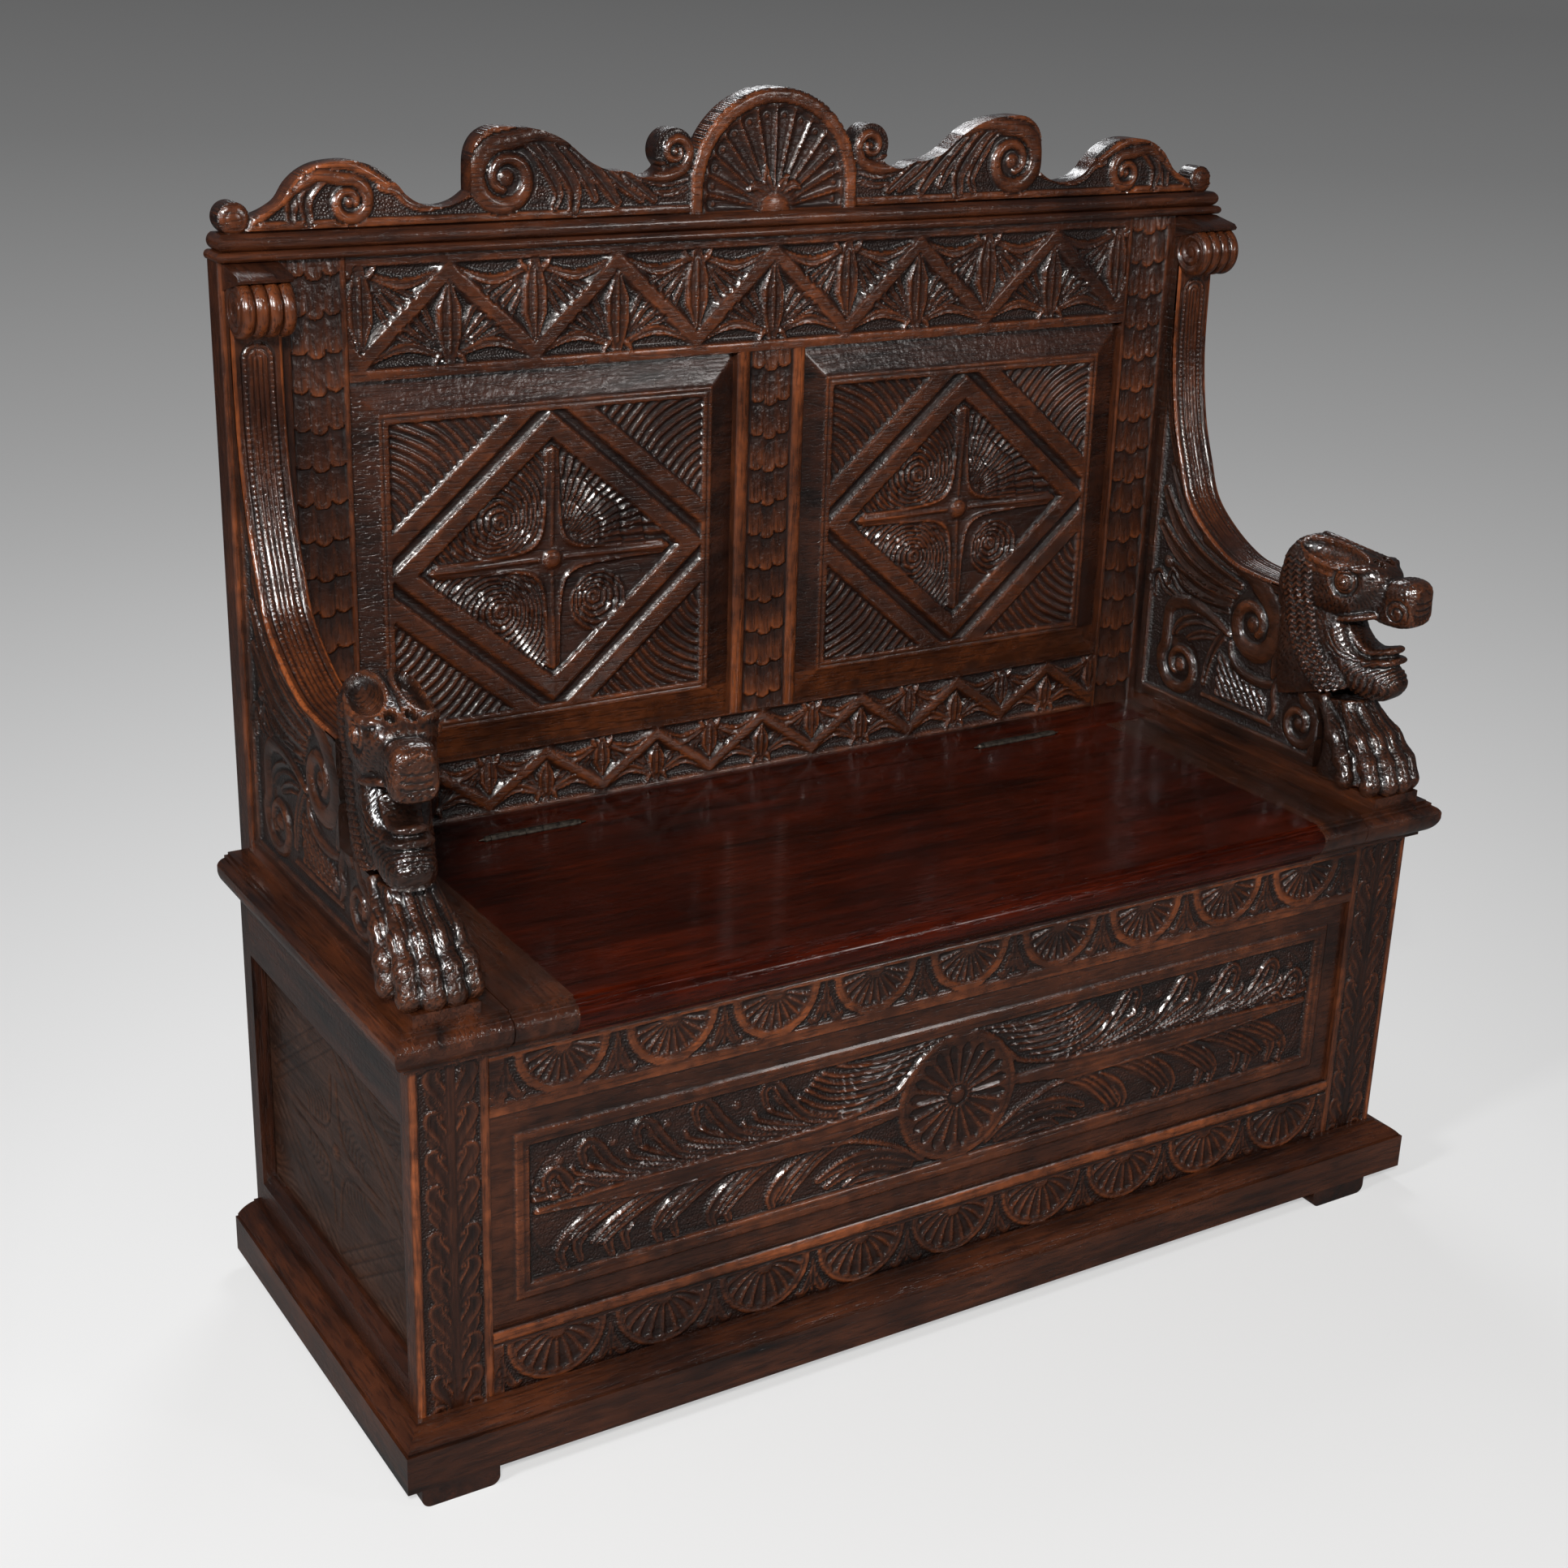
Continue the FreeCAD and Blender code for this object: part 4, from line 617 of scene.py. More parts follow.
def close_back(piece: bpy.types.Object) -> None:
    """Fill the open rims of a piece, each with one flat face."""
    work = bmesh.new()
    work.from_mesh(piece.data)
    rims = [edge for edge in work.edges if edge.is_boundary]
    filled = bmesh.ops.holes_fill(work, edges=rims, sides=0)["faces"]
    for face in filled:
        face.smooth = False
    bmesh.ops.recalc_face_normals(work, faces=work.faces)
    work.to_mesh(piece.data)
    work.free()


def limb(rows: Sequence[Sequence[float]], power: float = 2.4, around: int = 36,
         steps: int = 5) -> tuple[Grid, list]:
    """Closed tube: a superellipse |a/across|^power + |b/depth|^power = 1 carried
    along a path. Direction a is x, and b stands square to the path in its
    upright plane.

    Args:
        rows: x, y, z, half width across and half depth at each point of the path.
        power: 2 for an ellipse, more for a squarer section.
        around: points round the section.
        steps: pieces between two points of the path.

    Returns:
        Vertices in millimetres and faces.
    """
    path = smooth_path(rows, steps)
    x, y, z, across, depth = path.T[:, :, None]
    dy, dz = np.gradient(y[:, 0])[:, None], np.gradient(z[:, 0])[:, None]
    length = np.maximum(np.hypot(dy, dz), 1e-6)
    turn = np.linspace(0, 2 * math.pi, around, endpoint=False)
    a, b = (np.sign(c) * np.abs(c) ** (2 / power) * np.maximum(size, 0.2)
            for c, size in ((np.cos(turn), across), (np.sin(turn), depth)))
    points = np.stack([x + a, y - b * dz / length, z + b * dy / length], -1)
    return points.reshape(-1, 3), tube_faces(len(path), around)


@dataclass
class Clay:
    """Carved figure: limbs melted into one skin, then pressed and cut by tools."""

    cell: float = 1.35
    smoothing: int = 4
    limbs: list = field(default_factory=list)
    wear_and_painted_light: Grid | float = 0.0

    def melt(self) -> None:
        """Join the limbs into one even skin of small faces."""
        work = bpy.data.meshes.new("clay")
        vertices, faces = [], []
        for points, sides in self.limbs:
            start = sum(len(v) for v in vertices)
            vertices.append(points)
            faces += [[start + k for k in face] for face in sides]
        work.from_pydata((np.vstack(vertices) / 1000).tolist(), [], faces)
        lump = linked("clay", work)
        skin = lump.modifiers.new("skin", "REMESH")
        skin.mode = "VOXEL"
        skin.voxel_size = self.cell * COARSE / 1000
        even = lump.modifiers.new("even", "SMOOTH")
        even.iterations, even.factor = self.smoothing, 0.6
        graph = bpy.context.evaluated_depsgraph_get()
        mesh = bpy.data.meshes.new_from_object(lump.evaluated_get(graph))
        count = len(mesh.vertices)
        self.points, self.normals = np.empty(count * 3), np.empty(count * 3)
        mesh.vertices.foreach_get("co", self.points)
        mesh.vertex_normals.foreach_get("vector", self.normals)
        self.points = self.points.reshape(-1, 3) * 1000
        self.normals = self.normals.reshape(-1, 3)
        self.faces = [list(face.vertices) for face in mesh.polygons]
        self.rest = self.points.copy()
        bpy.data.objects.remove(lump)
        bpy.data.meshes.remove(work)
        bpy.data.meshes.remove(mesh)

    def raise_by(self, amount: Grid) -> None:
        """Move each point along its normal by its amount in millimetres."""
        self.points = self.points + self.normals * amount[:, None]

    def press_bowl(self, centre: Sequence[float], radii: Sequence[float], push: Sequence[float]) -> None:
        """Push the points inside an ellipsoid along one way until they lie on
        its surface: t solves |(p + t push - centre) / radii| = 1."""
        p = (self.points - centre) / radii
        d = np.asarray(push, float) / np.linalg.norm(push)
        q = d / radii
        inside = (p * p).sum(1) < 1
        a, b, c = q @ q, 2 * p @ q, (p * p).sum(1) - 1
        t = (-b + np.sqrt(np.maximum(b * b - 4 * a * c, 0))) / (2 * a)
        self.points = self.points + np.where(inside, t, 0)[:, None] * d

    def shades(self) -> Grid:
        """Worn and hollow masks, by how far each point stands off the mean of
        the points that share an edge with it, blurred along the skin."""
        edges = np.vstack([[(f[k], f[(k + 1) % len(f)]) for k in range(len(f))] for f in self.faces])
        count = np.bincount(edges[:, 0], minlength=len(self.points)).clip(1)
        soft = self.points.copy()
        for _ in range(6):
            soft = np.stack([np.bincount(edges[:, 0], soft[edges[:, 1], k], len(soft)) for k in range(3)], 1)
            soft = soft / count[:, None]
        stand = ((self.points - soft) * self.normals).sum(1)
        worn = np.clip(0.55 * np.clip(stand / 0.5, 0, 1) + self.wear_and_painted_light, 0, 1)
        return np.stack([worn, np.clip(-stand / 0.6, 0, 1), np.zeros(len(stand))], 1)


@dataclass
class Lion:
    """Lion head with mane, and the paw under it, at the front of one arm.

    The carving is drawn for x = 0 and stands at its arm's middle.
    """

    centre: float = 542.5
    yaw: float = 10.0
    pivot: float = 92.0
    eye: tuple[float, float] = (80.0, 687.0)

    def head(self) -> Clay:
        """Skull and muzzle, jaw, tongue, lips, ears and neck."""
        upper = [(0, 1.5, 676, 12, 14), (0, 4, 676, 17.5, 21), (0, 10, 675, 20, 24.5), (0, 20, 673, 21, 26.5),
                 (0, 30, 670.5, 20.5, 26), (0, 40, 669, 18.5, 24), (0, 49, 672, 21, 25), (0, 58, 676, 28, 30),
                 (0, 70, 679, 33, 34), (0, 90, 680, 35, 37), (0, 115, 680, 35, 38), (0, 140, 681, 34, 38),
                 (0, 157, 682, 31, 36), (0, 167, 684, 24, 26)]
        jaw = [(0, 100, 664, 20, 12), (0, 98, 645, 27, 16), (0, 92, 622, 30, 19), (0, 78, 598, 28, 21),
               (0, 60, 584, 25, 22), (0, 42, 582, 23, 22), (0, 30, 586, 21, 19), (0, 22, 592, 15, 12),
               (0, 19, 594, 8, 6)]
        lip = [(0, 92, 646, 25, 6), (0, 84, 622, 26, 6), (0, 70, 607, 24, 6), (0, 52, 601, 22, 5.5),
               (0, 38, 605, 21, 5.5), (0, 28, 607, 19, 5), (0, 20.5, 609, 12, 3)]
        tongue = [(0, 90, 650, 18, 6), (0, 80, 632, 18, 6), (0, 66, 618, 17, 6), (0, 52, 613, 16, 5.5),
                  (0, 40, 615, 16, 5), (0, 29, 619, 15, 4.5), (0, 23, 620.5, 9, 3)]
        neck = [(0, 130, 700, 26, 36), (0, 128, 680, 30, 39), (0, 126, 650, 31, 41), (0, 124, 620, 31, 43),
                (0, 119, 590, 31, 48), (0, 113, 566, 30, 52), (0, 110, 556.3, 28, 54)]
        limbs = [limb(rows, power) for rows, power in
                 ((upper, 3.4), (jaw, 2.5), (lip, 2.6), (tongue, 2.4), (neck, 4.0))]
        for side in (-1, 1):
            limbs.append(self.ear(side))
            for rows in ([(17, 44, 655, 3, 3), (21, 52, 654, 5, 4), (27, 66, 650, 5, 4), (30, 84, 645, 4, 3)],
                         [(12, 49, 699, 4, 3), (21, 56, 703, 7, 5), (30, 68, 702, 6, 5),
                          (35, 84, 698, 4, 3)]):
                limbs.append(limb([(side * x, *rest) for x, *rest in rows], 2, 16))
        clay = Clay(limbs=limbs)
        clay.melt()
        self.cut_head(clay)
        return clay

    def ear(self, side: int) -> tuple[Grid, list]:
        """Rolled rim of one ear, a ring that rises to a tip at the back."""
        turn = np.linspace(0, 2 * math.pi, 25)
        c, s, thick = np.cos(turn), np.sin(turn), np.full(25, 3.4)
        rows = [side * (19 + 14.5 * s), 102 + 43 * c, 704 + 12 * (0.5 + 0.5 * c) ** 1.5 - 9 * s, thick, thick]
        return limb(np.stack(rows, 1), 2, 14, 2)

    def cut_head(self, clay: Clay) -> None:
        """Press in the ear hollows, and cut eyes, nostrils, mouth lines and mane."""
        for side in (-1, 1):
            clay.press_bowl((side * 21, 103, 714), (14.5, 42, 17), (-0.5 * side, 0, -0.87))
            clay.press_bowl((side * 8.5, 58, 704), (6.5, 8, 9), (0, 0.5, -1))
        x, y, z = clay.points.T
        x = np.abs(x)
        outer = ease(0.35, 0.7, np.abs(clay.normals[:, 0]))
        r = np.hypot(y - self.eye[0], z - self.eye[1])
        amount = outer * (-3.5 * bell(r - 13, 4.0) + 4.5 * dome(r / 8.5) + 1.8 * bell(r - 11.2, 1.5)
                          - 1.6 * bell(r - 4.0, 0.9) + bell(r, 2.0))
        nose = np.hypot(y - 22, z - 664)
        angle = np.arctan2(z - 664, y - 22)
        spiral = np.abs(((nose / 7.5 - angle / (2 * math.pi)) % 1) - 0.5)
        amount -= outer * 2.0 * np.clip(1 - spiral / 0.22, 0, 1) * (nose < 15) * (nose > 3)
        front = ease(0.5, 0.8, -clay.normals[:, 1]) * (y < 18)
        amount -= front * 1.3 * sum(bell(z - 662 - k * 7 - 0.012 * x ** 2, 1.0) for k in range(3)) * (x < 13)
        amount -= front * 1.2 * (np.hypot((x % 7) - 3.5, z - 655) < 1.8)
        ahead = np.interp(z, (554, 566, 596, 620, 641, 675, 712), (60, 71, 94, 108, 113, 119, 124))
        behind = np.interp(z, (554, 576, 601, 632, 666, 712), (96, 118, 137, 149, 159, 164))
        mane = outer * ease(-1, 3, y - ahead) * ease(-1, 3, behind - y) * ease(704, 694, z)
        sway = 0.30 * np.sin(2 * math.pi * (y - ahead) / 11.5)
        wave = np.sin(2 * math.pi * ((z + 0.35 * (y - 110)) / 7.0 + sway))
        amount += mane * (0.9 + 1.9 * np.sign(wave) * np.abs(wave) ** 0.8)
        jaw = np.hypot(y - 62, z - 640)
        amount -= outer * sum(bell(jaw - k, 1.1) for k in (34, 39)) * (z < 634) * (y > 30) * (y < 94)
        crown = ease(0.5, 0.8, clay.normals[:, 2]) * (y > 142) * (z > 700)
        amount -= crown * 1.2 * (0.5 + 0.5 * np.cos(2 * math.pi * (x + 0.3 * y) / 5))
        amount -= 1.2 * np.clip(np.abs(clay.normals[:, 2]), 0.5, 1) * bell(x, 1.3) * (z > 690) * (y > 60)
        bowl = np.hypot((x - 20) / 17.5, (y - 103) / 44) < 1
        clay.wear_and_painted_light = 0.75 * bowl * (z > 690) + 0.35 * (r < 14) + 0.25 * (y < 12)
        hair = np.sin(2 * math.pi * (y * 0.8 + z * 0.6 + 3 * np.sin(z / 5)) / 6.5)
        beard = (z < 604) * (y < 74) * (0.5 + 0.5 * hair) ** 2
        clay.raise_by(amount - 0.9 * beard + self.gouges(clay))

    def paw(self) -> Clay:
        """Leg that spreads into four toes with knuckles, each ending in a claw."""
        leg = [(0, 72, 556.4, 23, 22.5), (0, 68, 535, 24, 27), (0, 62, 515, 27, 33), (0, 56, 500, 30, 39),
               (0, 52, 486, 33, 43), (0, 50, 471.3, 35, 45)]
        toe = [(0.60, 56, 556, 7, 7), (0.63, 49, 545, 8, 8), (0.72, 37, 533, 9, 9), (0.84, 26, 522, 11.6, 12),
               (0.91, 15, 511.5, 9.4, 9.4), (0.97, 7, 501, 11.6, 12), (1, 0, 490.5, 9.6, 9.6),
               (1, -2, 481, 11.8, 11.5), (1, -1, 472, 9.6, 8.5)]
        clay = Clay(limbs=[limb(leg, 3.0)])
        for x, back in ((-33, 38), (-28, 7), (-9.5, 0), (9.5, 0), (28, 7), (33, 38)):
            clay.limbs.append(limb([(x * share, y + back, *rest) for share, y, *rest in toe], 2.1, 26))
        clay.melt()
        x, y, z = clay.points.T
        ridges = np.cos(2 * math.pi * (np.abs(x) - 4) / 9.2)
        clay.raise_by(-0.9 * np.clip(ridges, 0, 1) ** 3 * (z > 518) * (y < 70) + self.gouges(clay) * 0.8)
        return clay

    def gouges(self, clay: Clay) -> Grid:
        """Shallow tool marks: the product of two warped sine waves."""
        x, y, z = clay.points.T
        first = np.sin(0.95 * y + 2.0 * np.sin(0.21 * z) + 1.3 * np.sin(0.33 * x))
        second = np.sin(0.62 * z + 0.5 * x + 2.0 * np.sin(0.17 * y))
        return -0.55 * np.clip(first * second, 0, 1)

    def place(self, clay: Clay, side: int, yaw: float) -> Grid:
        """Turn the carving outward, mirror it for the left and move it to its arm."""
        a = math.radians(yaw)
        x, y, z = clay.points.T
        y = y - self.pivot
        turn = np.stack([x * math.cos(a) - y * math.sin(a) + self.centre,
                         self.pivot + x * math.sin(a) + y * math.cos(a), z], 1)
        return turn * (side, 1, 1)

    def build(self, finishes: "Finishes") -> None:
        """Make both heads and both paws."""
        for name, clay, yaw in (("lion_head", self.head(), self.yaw), ("lion_paw", self.paw(), 0.0)):
            shades = clay.shades()
            for side, word in ((-1, "left"), (1, "right")):
                piece = new_object("carved_%s_%s" % (name, word), self.place(clay, side, yaw),
                                   turned(clay.faces, side < 0), finishes.lion, shades, 80)
                stands_for(piece, "%s_%s" % (name, word))


def room(node: str) -> tuple[Grid, Grid]:
    """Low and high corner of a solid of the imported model, in millimetres."""
    low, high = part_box(node)
    shift = np.array((0.0, MIDDLE_DEPTH, 0.0))
    return np.array(low) * 1000 + shift, np.array(high) * 1000 + shift


def depths(node: str) -> Grid:
    """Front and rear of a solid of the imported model, in millimetres."""
    return np.array(room(node))[:, 1]


def stands_for(piece: bpy.types.Object, node: str) -> None:
    """Hide the plain solid that a carved piece stands in for."""
    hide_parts(node)


@dataclass
class BoxFront:
    """Front of the box: rails with fans, stiles with leaves, and the panel."""

    ground: float = -2.8
    fan_pitch: float = 108.0
    shell_pitch: float = 109.7
    field_half: float = 460.0
    field_rows: Point = (176.0, 312.0)
    thickness: float = 22.0

    def panel(self) -> Relief:
        """Raised field with a rosette between two sprays of leaves."""
        r = Relief.of("front_panel", 1.58)
        r.frame_steps((-478, 478, 159, 329), [(0, 0), (1.5, 2.2), (8, 2.5), (9.5, 1.3), (14.5, 1.5),
                                              (17, self.ground)])
        low, high = self.field_rows
        rows = (r.v > low) & (r.v < high)
        r.put((np.abs(r.u) < self.field_half + 1) & rows, ground=1.0)
        r.put((np.abs(r.u) > self.field_half + 2) | (r.v < low - 1) | (r.v > high + 1), wear_and_painted_light=0.22)
        plain, rubbed = r.h.copy(), r.wear_and_painted_light.copy()
        self.spray(r)
        r.put(~((np.abs(r.u) < self.field_half) & rows), plain, wear_and_painted_light=rubbed)
        r.groove([(345, 173), (410, 173), (442, 190), (458, 218), (460, 244), (458, 270), (442, 296),
                  (410, 311), (345, 311)], 1.8, 1.4)
        r.mirror_u()
        r.rosette(0, 244, 70, 20, 9, 8, self.ground, 2.4)
        return r

    def spray(self, r: Relief) -> None:
        """Leaves of one half: upper leaves curl at their tips, lower ones hook."""
        low = self.ground

        def leaf(points: Sequence[Point], wide: float) -> None:
            """Scooped leaf with one vein."""
            r.stroke(points, (0.8 * wide, 1.5 * wide, 1.6 * wide, 0.8 * wide), 1.9, low + 0.5, Cut.SCOOP, 1,
                     0.9, (0.55, 0.9, 1.0, 1.0))

        def line(points: Sequence[Point], wide: float = 4.2, top: float = 2.2) -> None:
            """Sharp ridge."""
            r.stroke(points, (0.4 * wide, wide, wide, 0.8 * wide), top, low + 0.2, Cut.RIDGE)

        for points in ([(28, 310), (80, 304), (120, 306), (142, 312)],
                       [(40, 303), (90, 296), (135, 299), (158, 307)],
                       [(58, 292), (105, 288), (142, 293), (166, 304)],
                       [(62, 284), (105, 281), (146, 286), (170, 299)],
                       [(74, 275), (112, 273), (150, 279), (176, 294)],
                       [(88, 267), (122, 265), (156, 271), (184, 288)],
                       [(104, 259), (138, 259), (168, 266), (190, 281)]):
            line(points)
        for u, v, size in ((217, 311, 1.0), (290, 311, 1.0), (350, 306, 0.85), (405, 300, 0.8),
                           (440, 280, 0.6)):
            rise = v - 252
            for lag, part in ((64, 0.90), (50, 0.72), (34, 0.55), (18, 0.42), (2, 0.30)):
                end = u + 40 - lag * 0.72
                line([(u - (30 + lag) * size, 252), (u - (4 + 0.72 * lag) * size, 252 + 0.28 * part * rise),
                      (end - 7, 252 + 0.70 * part * rise), (end, 252 + part * rise)])
            leaf([(u - 88 * size, 252), (u - 48 * size, 262), (u - 22, v - 24), (u - 10, v - 6), (u, v),
                  (u + 6, v - 7), (u + 3, v - 22)], 4.2)
            line([(u - 80 * size, 252), (u - 42 * size, 262), (u - 17, v - 24), (u - 5, v - 5)], 3.2, 2.5)
            r.dot(u - 2, v - 26, 4.8, 2.4)
            r.dot(u + 34 * size, 252 + 0.76 * rise, 4.8, 2.2)
        for a, b, c, d in ((140, 227, 200, 182), (205, 229, 268, 187), (262, 231, 330, 191),
                           (312, 233, 395, 194), (360, 234, 424, 205)):
            leaf([(a + 14, b), (a + 52, b - 15), (a + 72, b - 36), (a + 69, b - 54)], 4.8)
            leaf([(a + 8, b), (a + 40, b - 16), (a + 55, b - 34), (a + 52, b - 52)], 4.2)
            r.dot(a + 68, b - 55, 4.2, 1.5)
            for shift, widths, top, base, cut in ((1.0, (5, 13, 13, 5), -0.9, low + 0.3, Cut.FLAT),
                                                  *((shift, (2.4, 4.3, 4.3, 2.0), 2.3, -1.6, Cut.RIDGE)
                                                    for shift in (8.0, 1.0, -6.0))):
                r.stroke([(a - 4 + shift, b + 1),
                          (a + 0.35 * (c - a) + 0.5 * shift, b + 0.16 * (d - b) + 0.6 * shift),
                          (a + 0.74 * (c - a) + 0.7 * shift, b + 0.58 * (d - b) + 0.6 * shift),
                          (c + 0.8 * shift, d + 0.3 * shift)], widths, top, base, cut)
        for points in ([(45, 185), (90, 203), (130, 203), (160, 192)],
                       [(52, 180), (90, 193), (125, 193), (150, 183)],
                       [(66, 176), (96, 184), (116, 183), (128, 177)]):
            leaf(points, 4.6)
        r.stroke([(64, 244), (150, 240), (300, 241), (456, 244)], (5, 11, 11, 10, 7, 3), 1.2, -0.5, Cut.ROUND,
                 2, 0.8, (1, 1, 1), wear_and_painted_light=0.25)
        r.stroke([(12, 314), (38, 300), (60, 278), (82, 262), (150, 251), (260, 250), (380, 249), (455, 245)],
                 (2.4, 2.8, 2.8, 2.6, 2.4, 2.2), 2.3, -0.5, Cut.ROUND)
        r.stroke([(38, 182), (62, 200), (84, 212), (132, 227), (205, 230), (320, 233), (455, 243)],
                 (2.4, 2.8, 2.6, 2.4, 2.2, 2.0), 2.2, -0.5, Cut.ROUND)

    def top_rail(self) -> Relief:
        """Half rosettes under the seat with three-leaf sprigs between them."""
        r = Relief.of("front_top_rail")
        r.carve_ground(np.abs(r.u) < 487, (364, 408), self.ground)
        for k in range(-4, 5):
            r.fan(k * self.fan_pitch, 408, 46, 8, 11, 0.0, 0.75)
            self.sprig(r, k * self.fan_pitch + self.fan_pitch / 2, 405, 364)
        self.sprig(r, -4.5 * self.fan_pitch, 405, 364)
        r.strip(407.5, 420, 0.0, 0.6)
        r.groove([(r.u0, 411.5), (r.u1, 411.5)], 1.6, 1.4)
        r.strip(r.v0, 363, 0.0, 0.45)
        r.strip(r.v0, 357.5, -0.6, 0.9)
        return r

    def bottom_rail(self) -> Relief:
        """Scallop shells over the plinth under a round bead."""
        r = Relief.of("front_bottom_rail", 1.6)
        r.carve_ground((np.abs(r.u) < 492) & (r.v > 60), (60, 121), self.ground)
        for k in range(-4, 5):
            r.fan(k * self.shell_pitch, 119, 50, 5, 10, -0.3, 0.35, 0.32)
            self.sprig(r, k * self.shell_pitch + self.shell_pitch / 2, 108, 70)
        self.sprig(r, -4.5 * self.shell_pitch, 108, 70)
        bead = dome((r.v - 129.5) / 6.5)
        top = r.v > 121.5
        r.put(top, -2.2 + 2.2 * bead, 0)
        # Partly wear and partly painted light: the bead gets more than a full share of the warm worn colour
        # for the light from above that it catches.
        r.put(top & (bead ** 2 > 0.1), wear_and_painted_light=1.15)
        return r

    def sprig(self, r: Relief, u: float, top: float, low: float) -> None:
        """Middle leaf between two that curl outward at the foot."""
        rise = top - low
        for side in (-1, 1):
            r.stroke([(u + side, top - 0.25 * rise), (u + 5 * side, low + 0.4 * rise),
                      (u + 12 * side, low + 0.1 * rise), (u + 17 * side, low + 0.16 * rise)],
                     (2.2, 4.2, 4.4, 2.4), -0.1, self.ground + 0.6)
            r.dot(u + 12.5 * side, low + 0.16 * rise, 4.0, 1.0)
        r.stroke([(u, top), (u, low + 0.55 * rise), (u, low + 0.12 * rise)], (1.5, 4.6, 1.2), -0.1,
                 self.ground + 0.6, veins=1)

    def stile(self, side: int) -> Relief:
        """Two columns of curled leaves on both sides of a rib."""
        r = Relief.of("front_stile_right")
        r.carve_ground((r.u > 509.5) & (r.u < 567), (70, 412), self.ground)
        base = self.ground + 0.4
        for rib, away in ((541, 1), (533, -1)):
            for z in (413, 373, 335, 301, 255, 222, 183, 144, 109, 76):
                shape = [(rib, z - 42), (rib + 5 * away, z - 26), (rib + 13 * away, z - 12),
                         (rib + 13 * away, z - 7)]
                r.stroke([(p, q - 19) for p, q in shape], (2, 4.5, 5.5, 5.5), -0.6, base)
                r.stroke([(rib + away, z - 50), (rib + 8 * away, z - 30), (rib + 16 * away, z - 22)],
                         (1.5, 4, 4.2), -0.8, base)
                r.stroke(shape, (2.5, 6.5, 8.8, 8.8), 0.0, base, veins=1)
                r.stroke([(p - 4.5 * away, q + 2.5) for p, q in shape], (1.5, 2.6, 2.8, 1.8), 0.9, base,
                         Cut.RIDGE)
                r.dot(rib + 4.5 * away, z - 9, 3.4, 1.2)
        r.stroke([(537, 66), (537, 412)], (4.5, 4.5), -0.9, base, Cut.ROUND, 1)
        edge, far = r.u - r.u0, r.u1 - r.u
        r.put(edge < 7, -1.6 + 1.6 * dome((edge - 3.2) / 3.4), wear_and_painted_light=0.55)
        r.put(far < 7.5, -np.clip(3.0 - far, 0, 3) ** 2 * 0.3 - 1.0 * bell(far - 7, 0.8))
        r.put(far < 6.5, wear_and_painted_light=1.0)
        if side < 0:
            r.turn_over()
        return r

    def build(self, finishes: "Finishes") -> None:
        """Make the five boards."""
        panel_y, back_y = depths("front_panel")
        for name, relief, face, depth, finish in (
                ("panel", self.panel(), panel_y, back_y - panel_y, finishes.along),
                ("top_rail", self.top_rail(), 0.0, self.thickness, finishes.along),
                ("bottom_rail", self.bottom_rail(), 0.0, self.thickness, finishes.along),
                ("stile_left", self.stile(-1), 0.0, self.thickness, finishes.upright),
                ("stile_right", self.stile(1), 0.0, self.thickness, finishes.upright)):
            stands_for(board("carved_front_" + name, relief, facing_front(face), depth, finish),
                       "front_" + name)


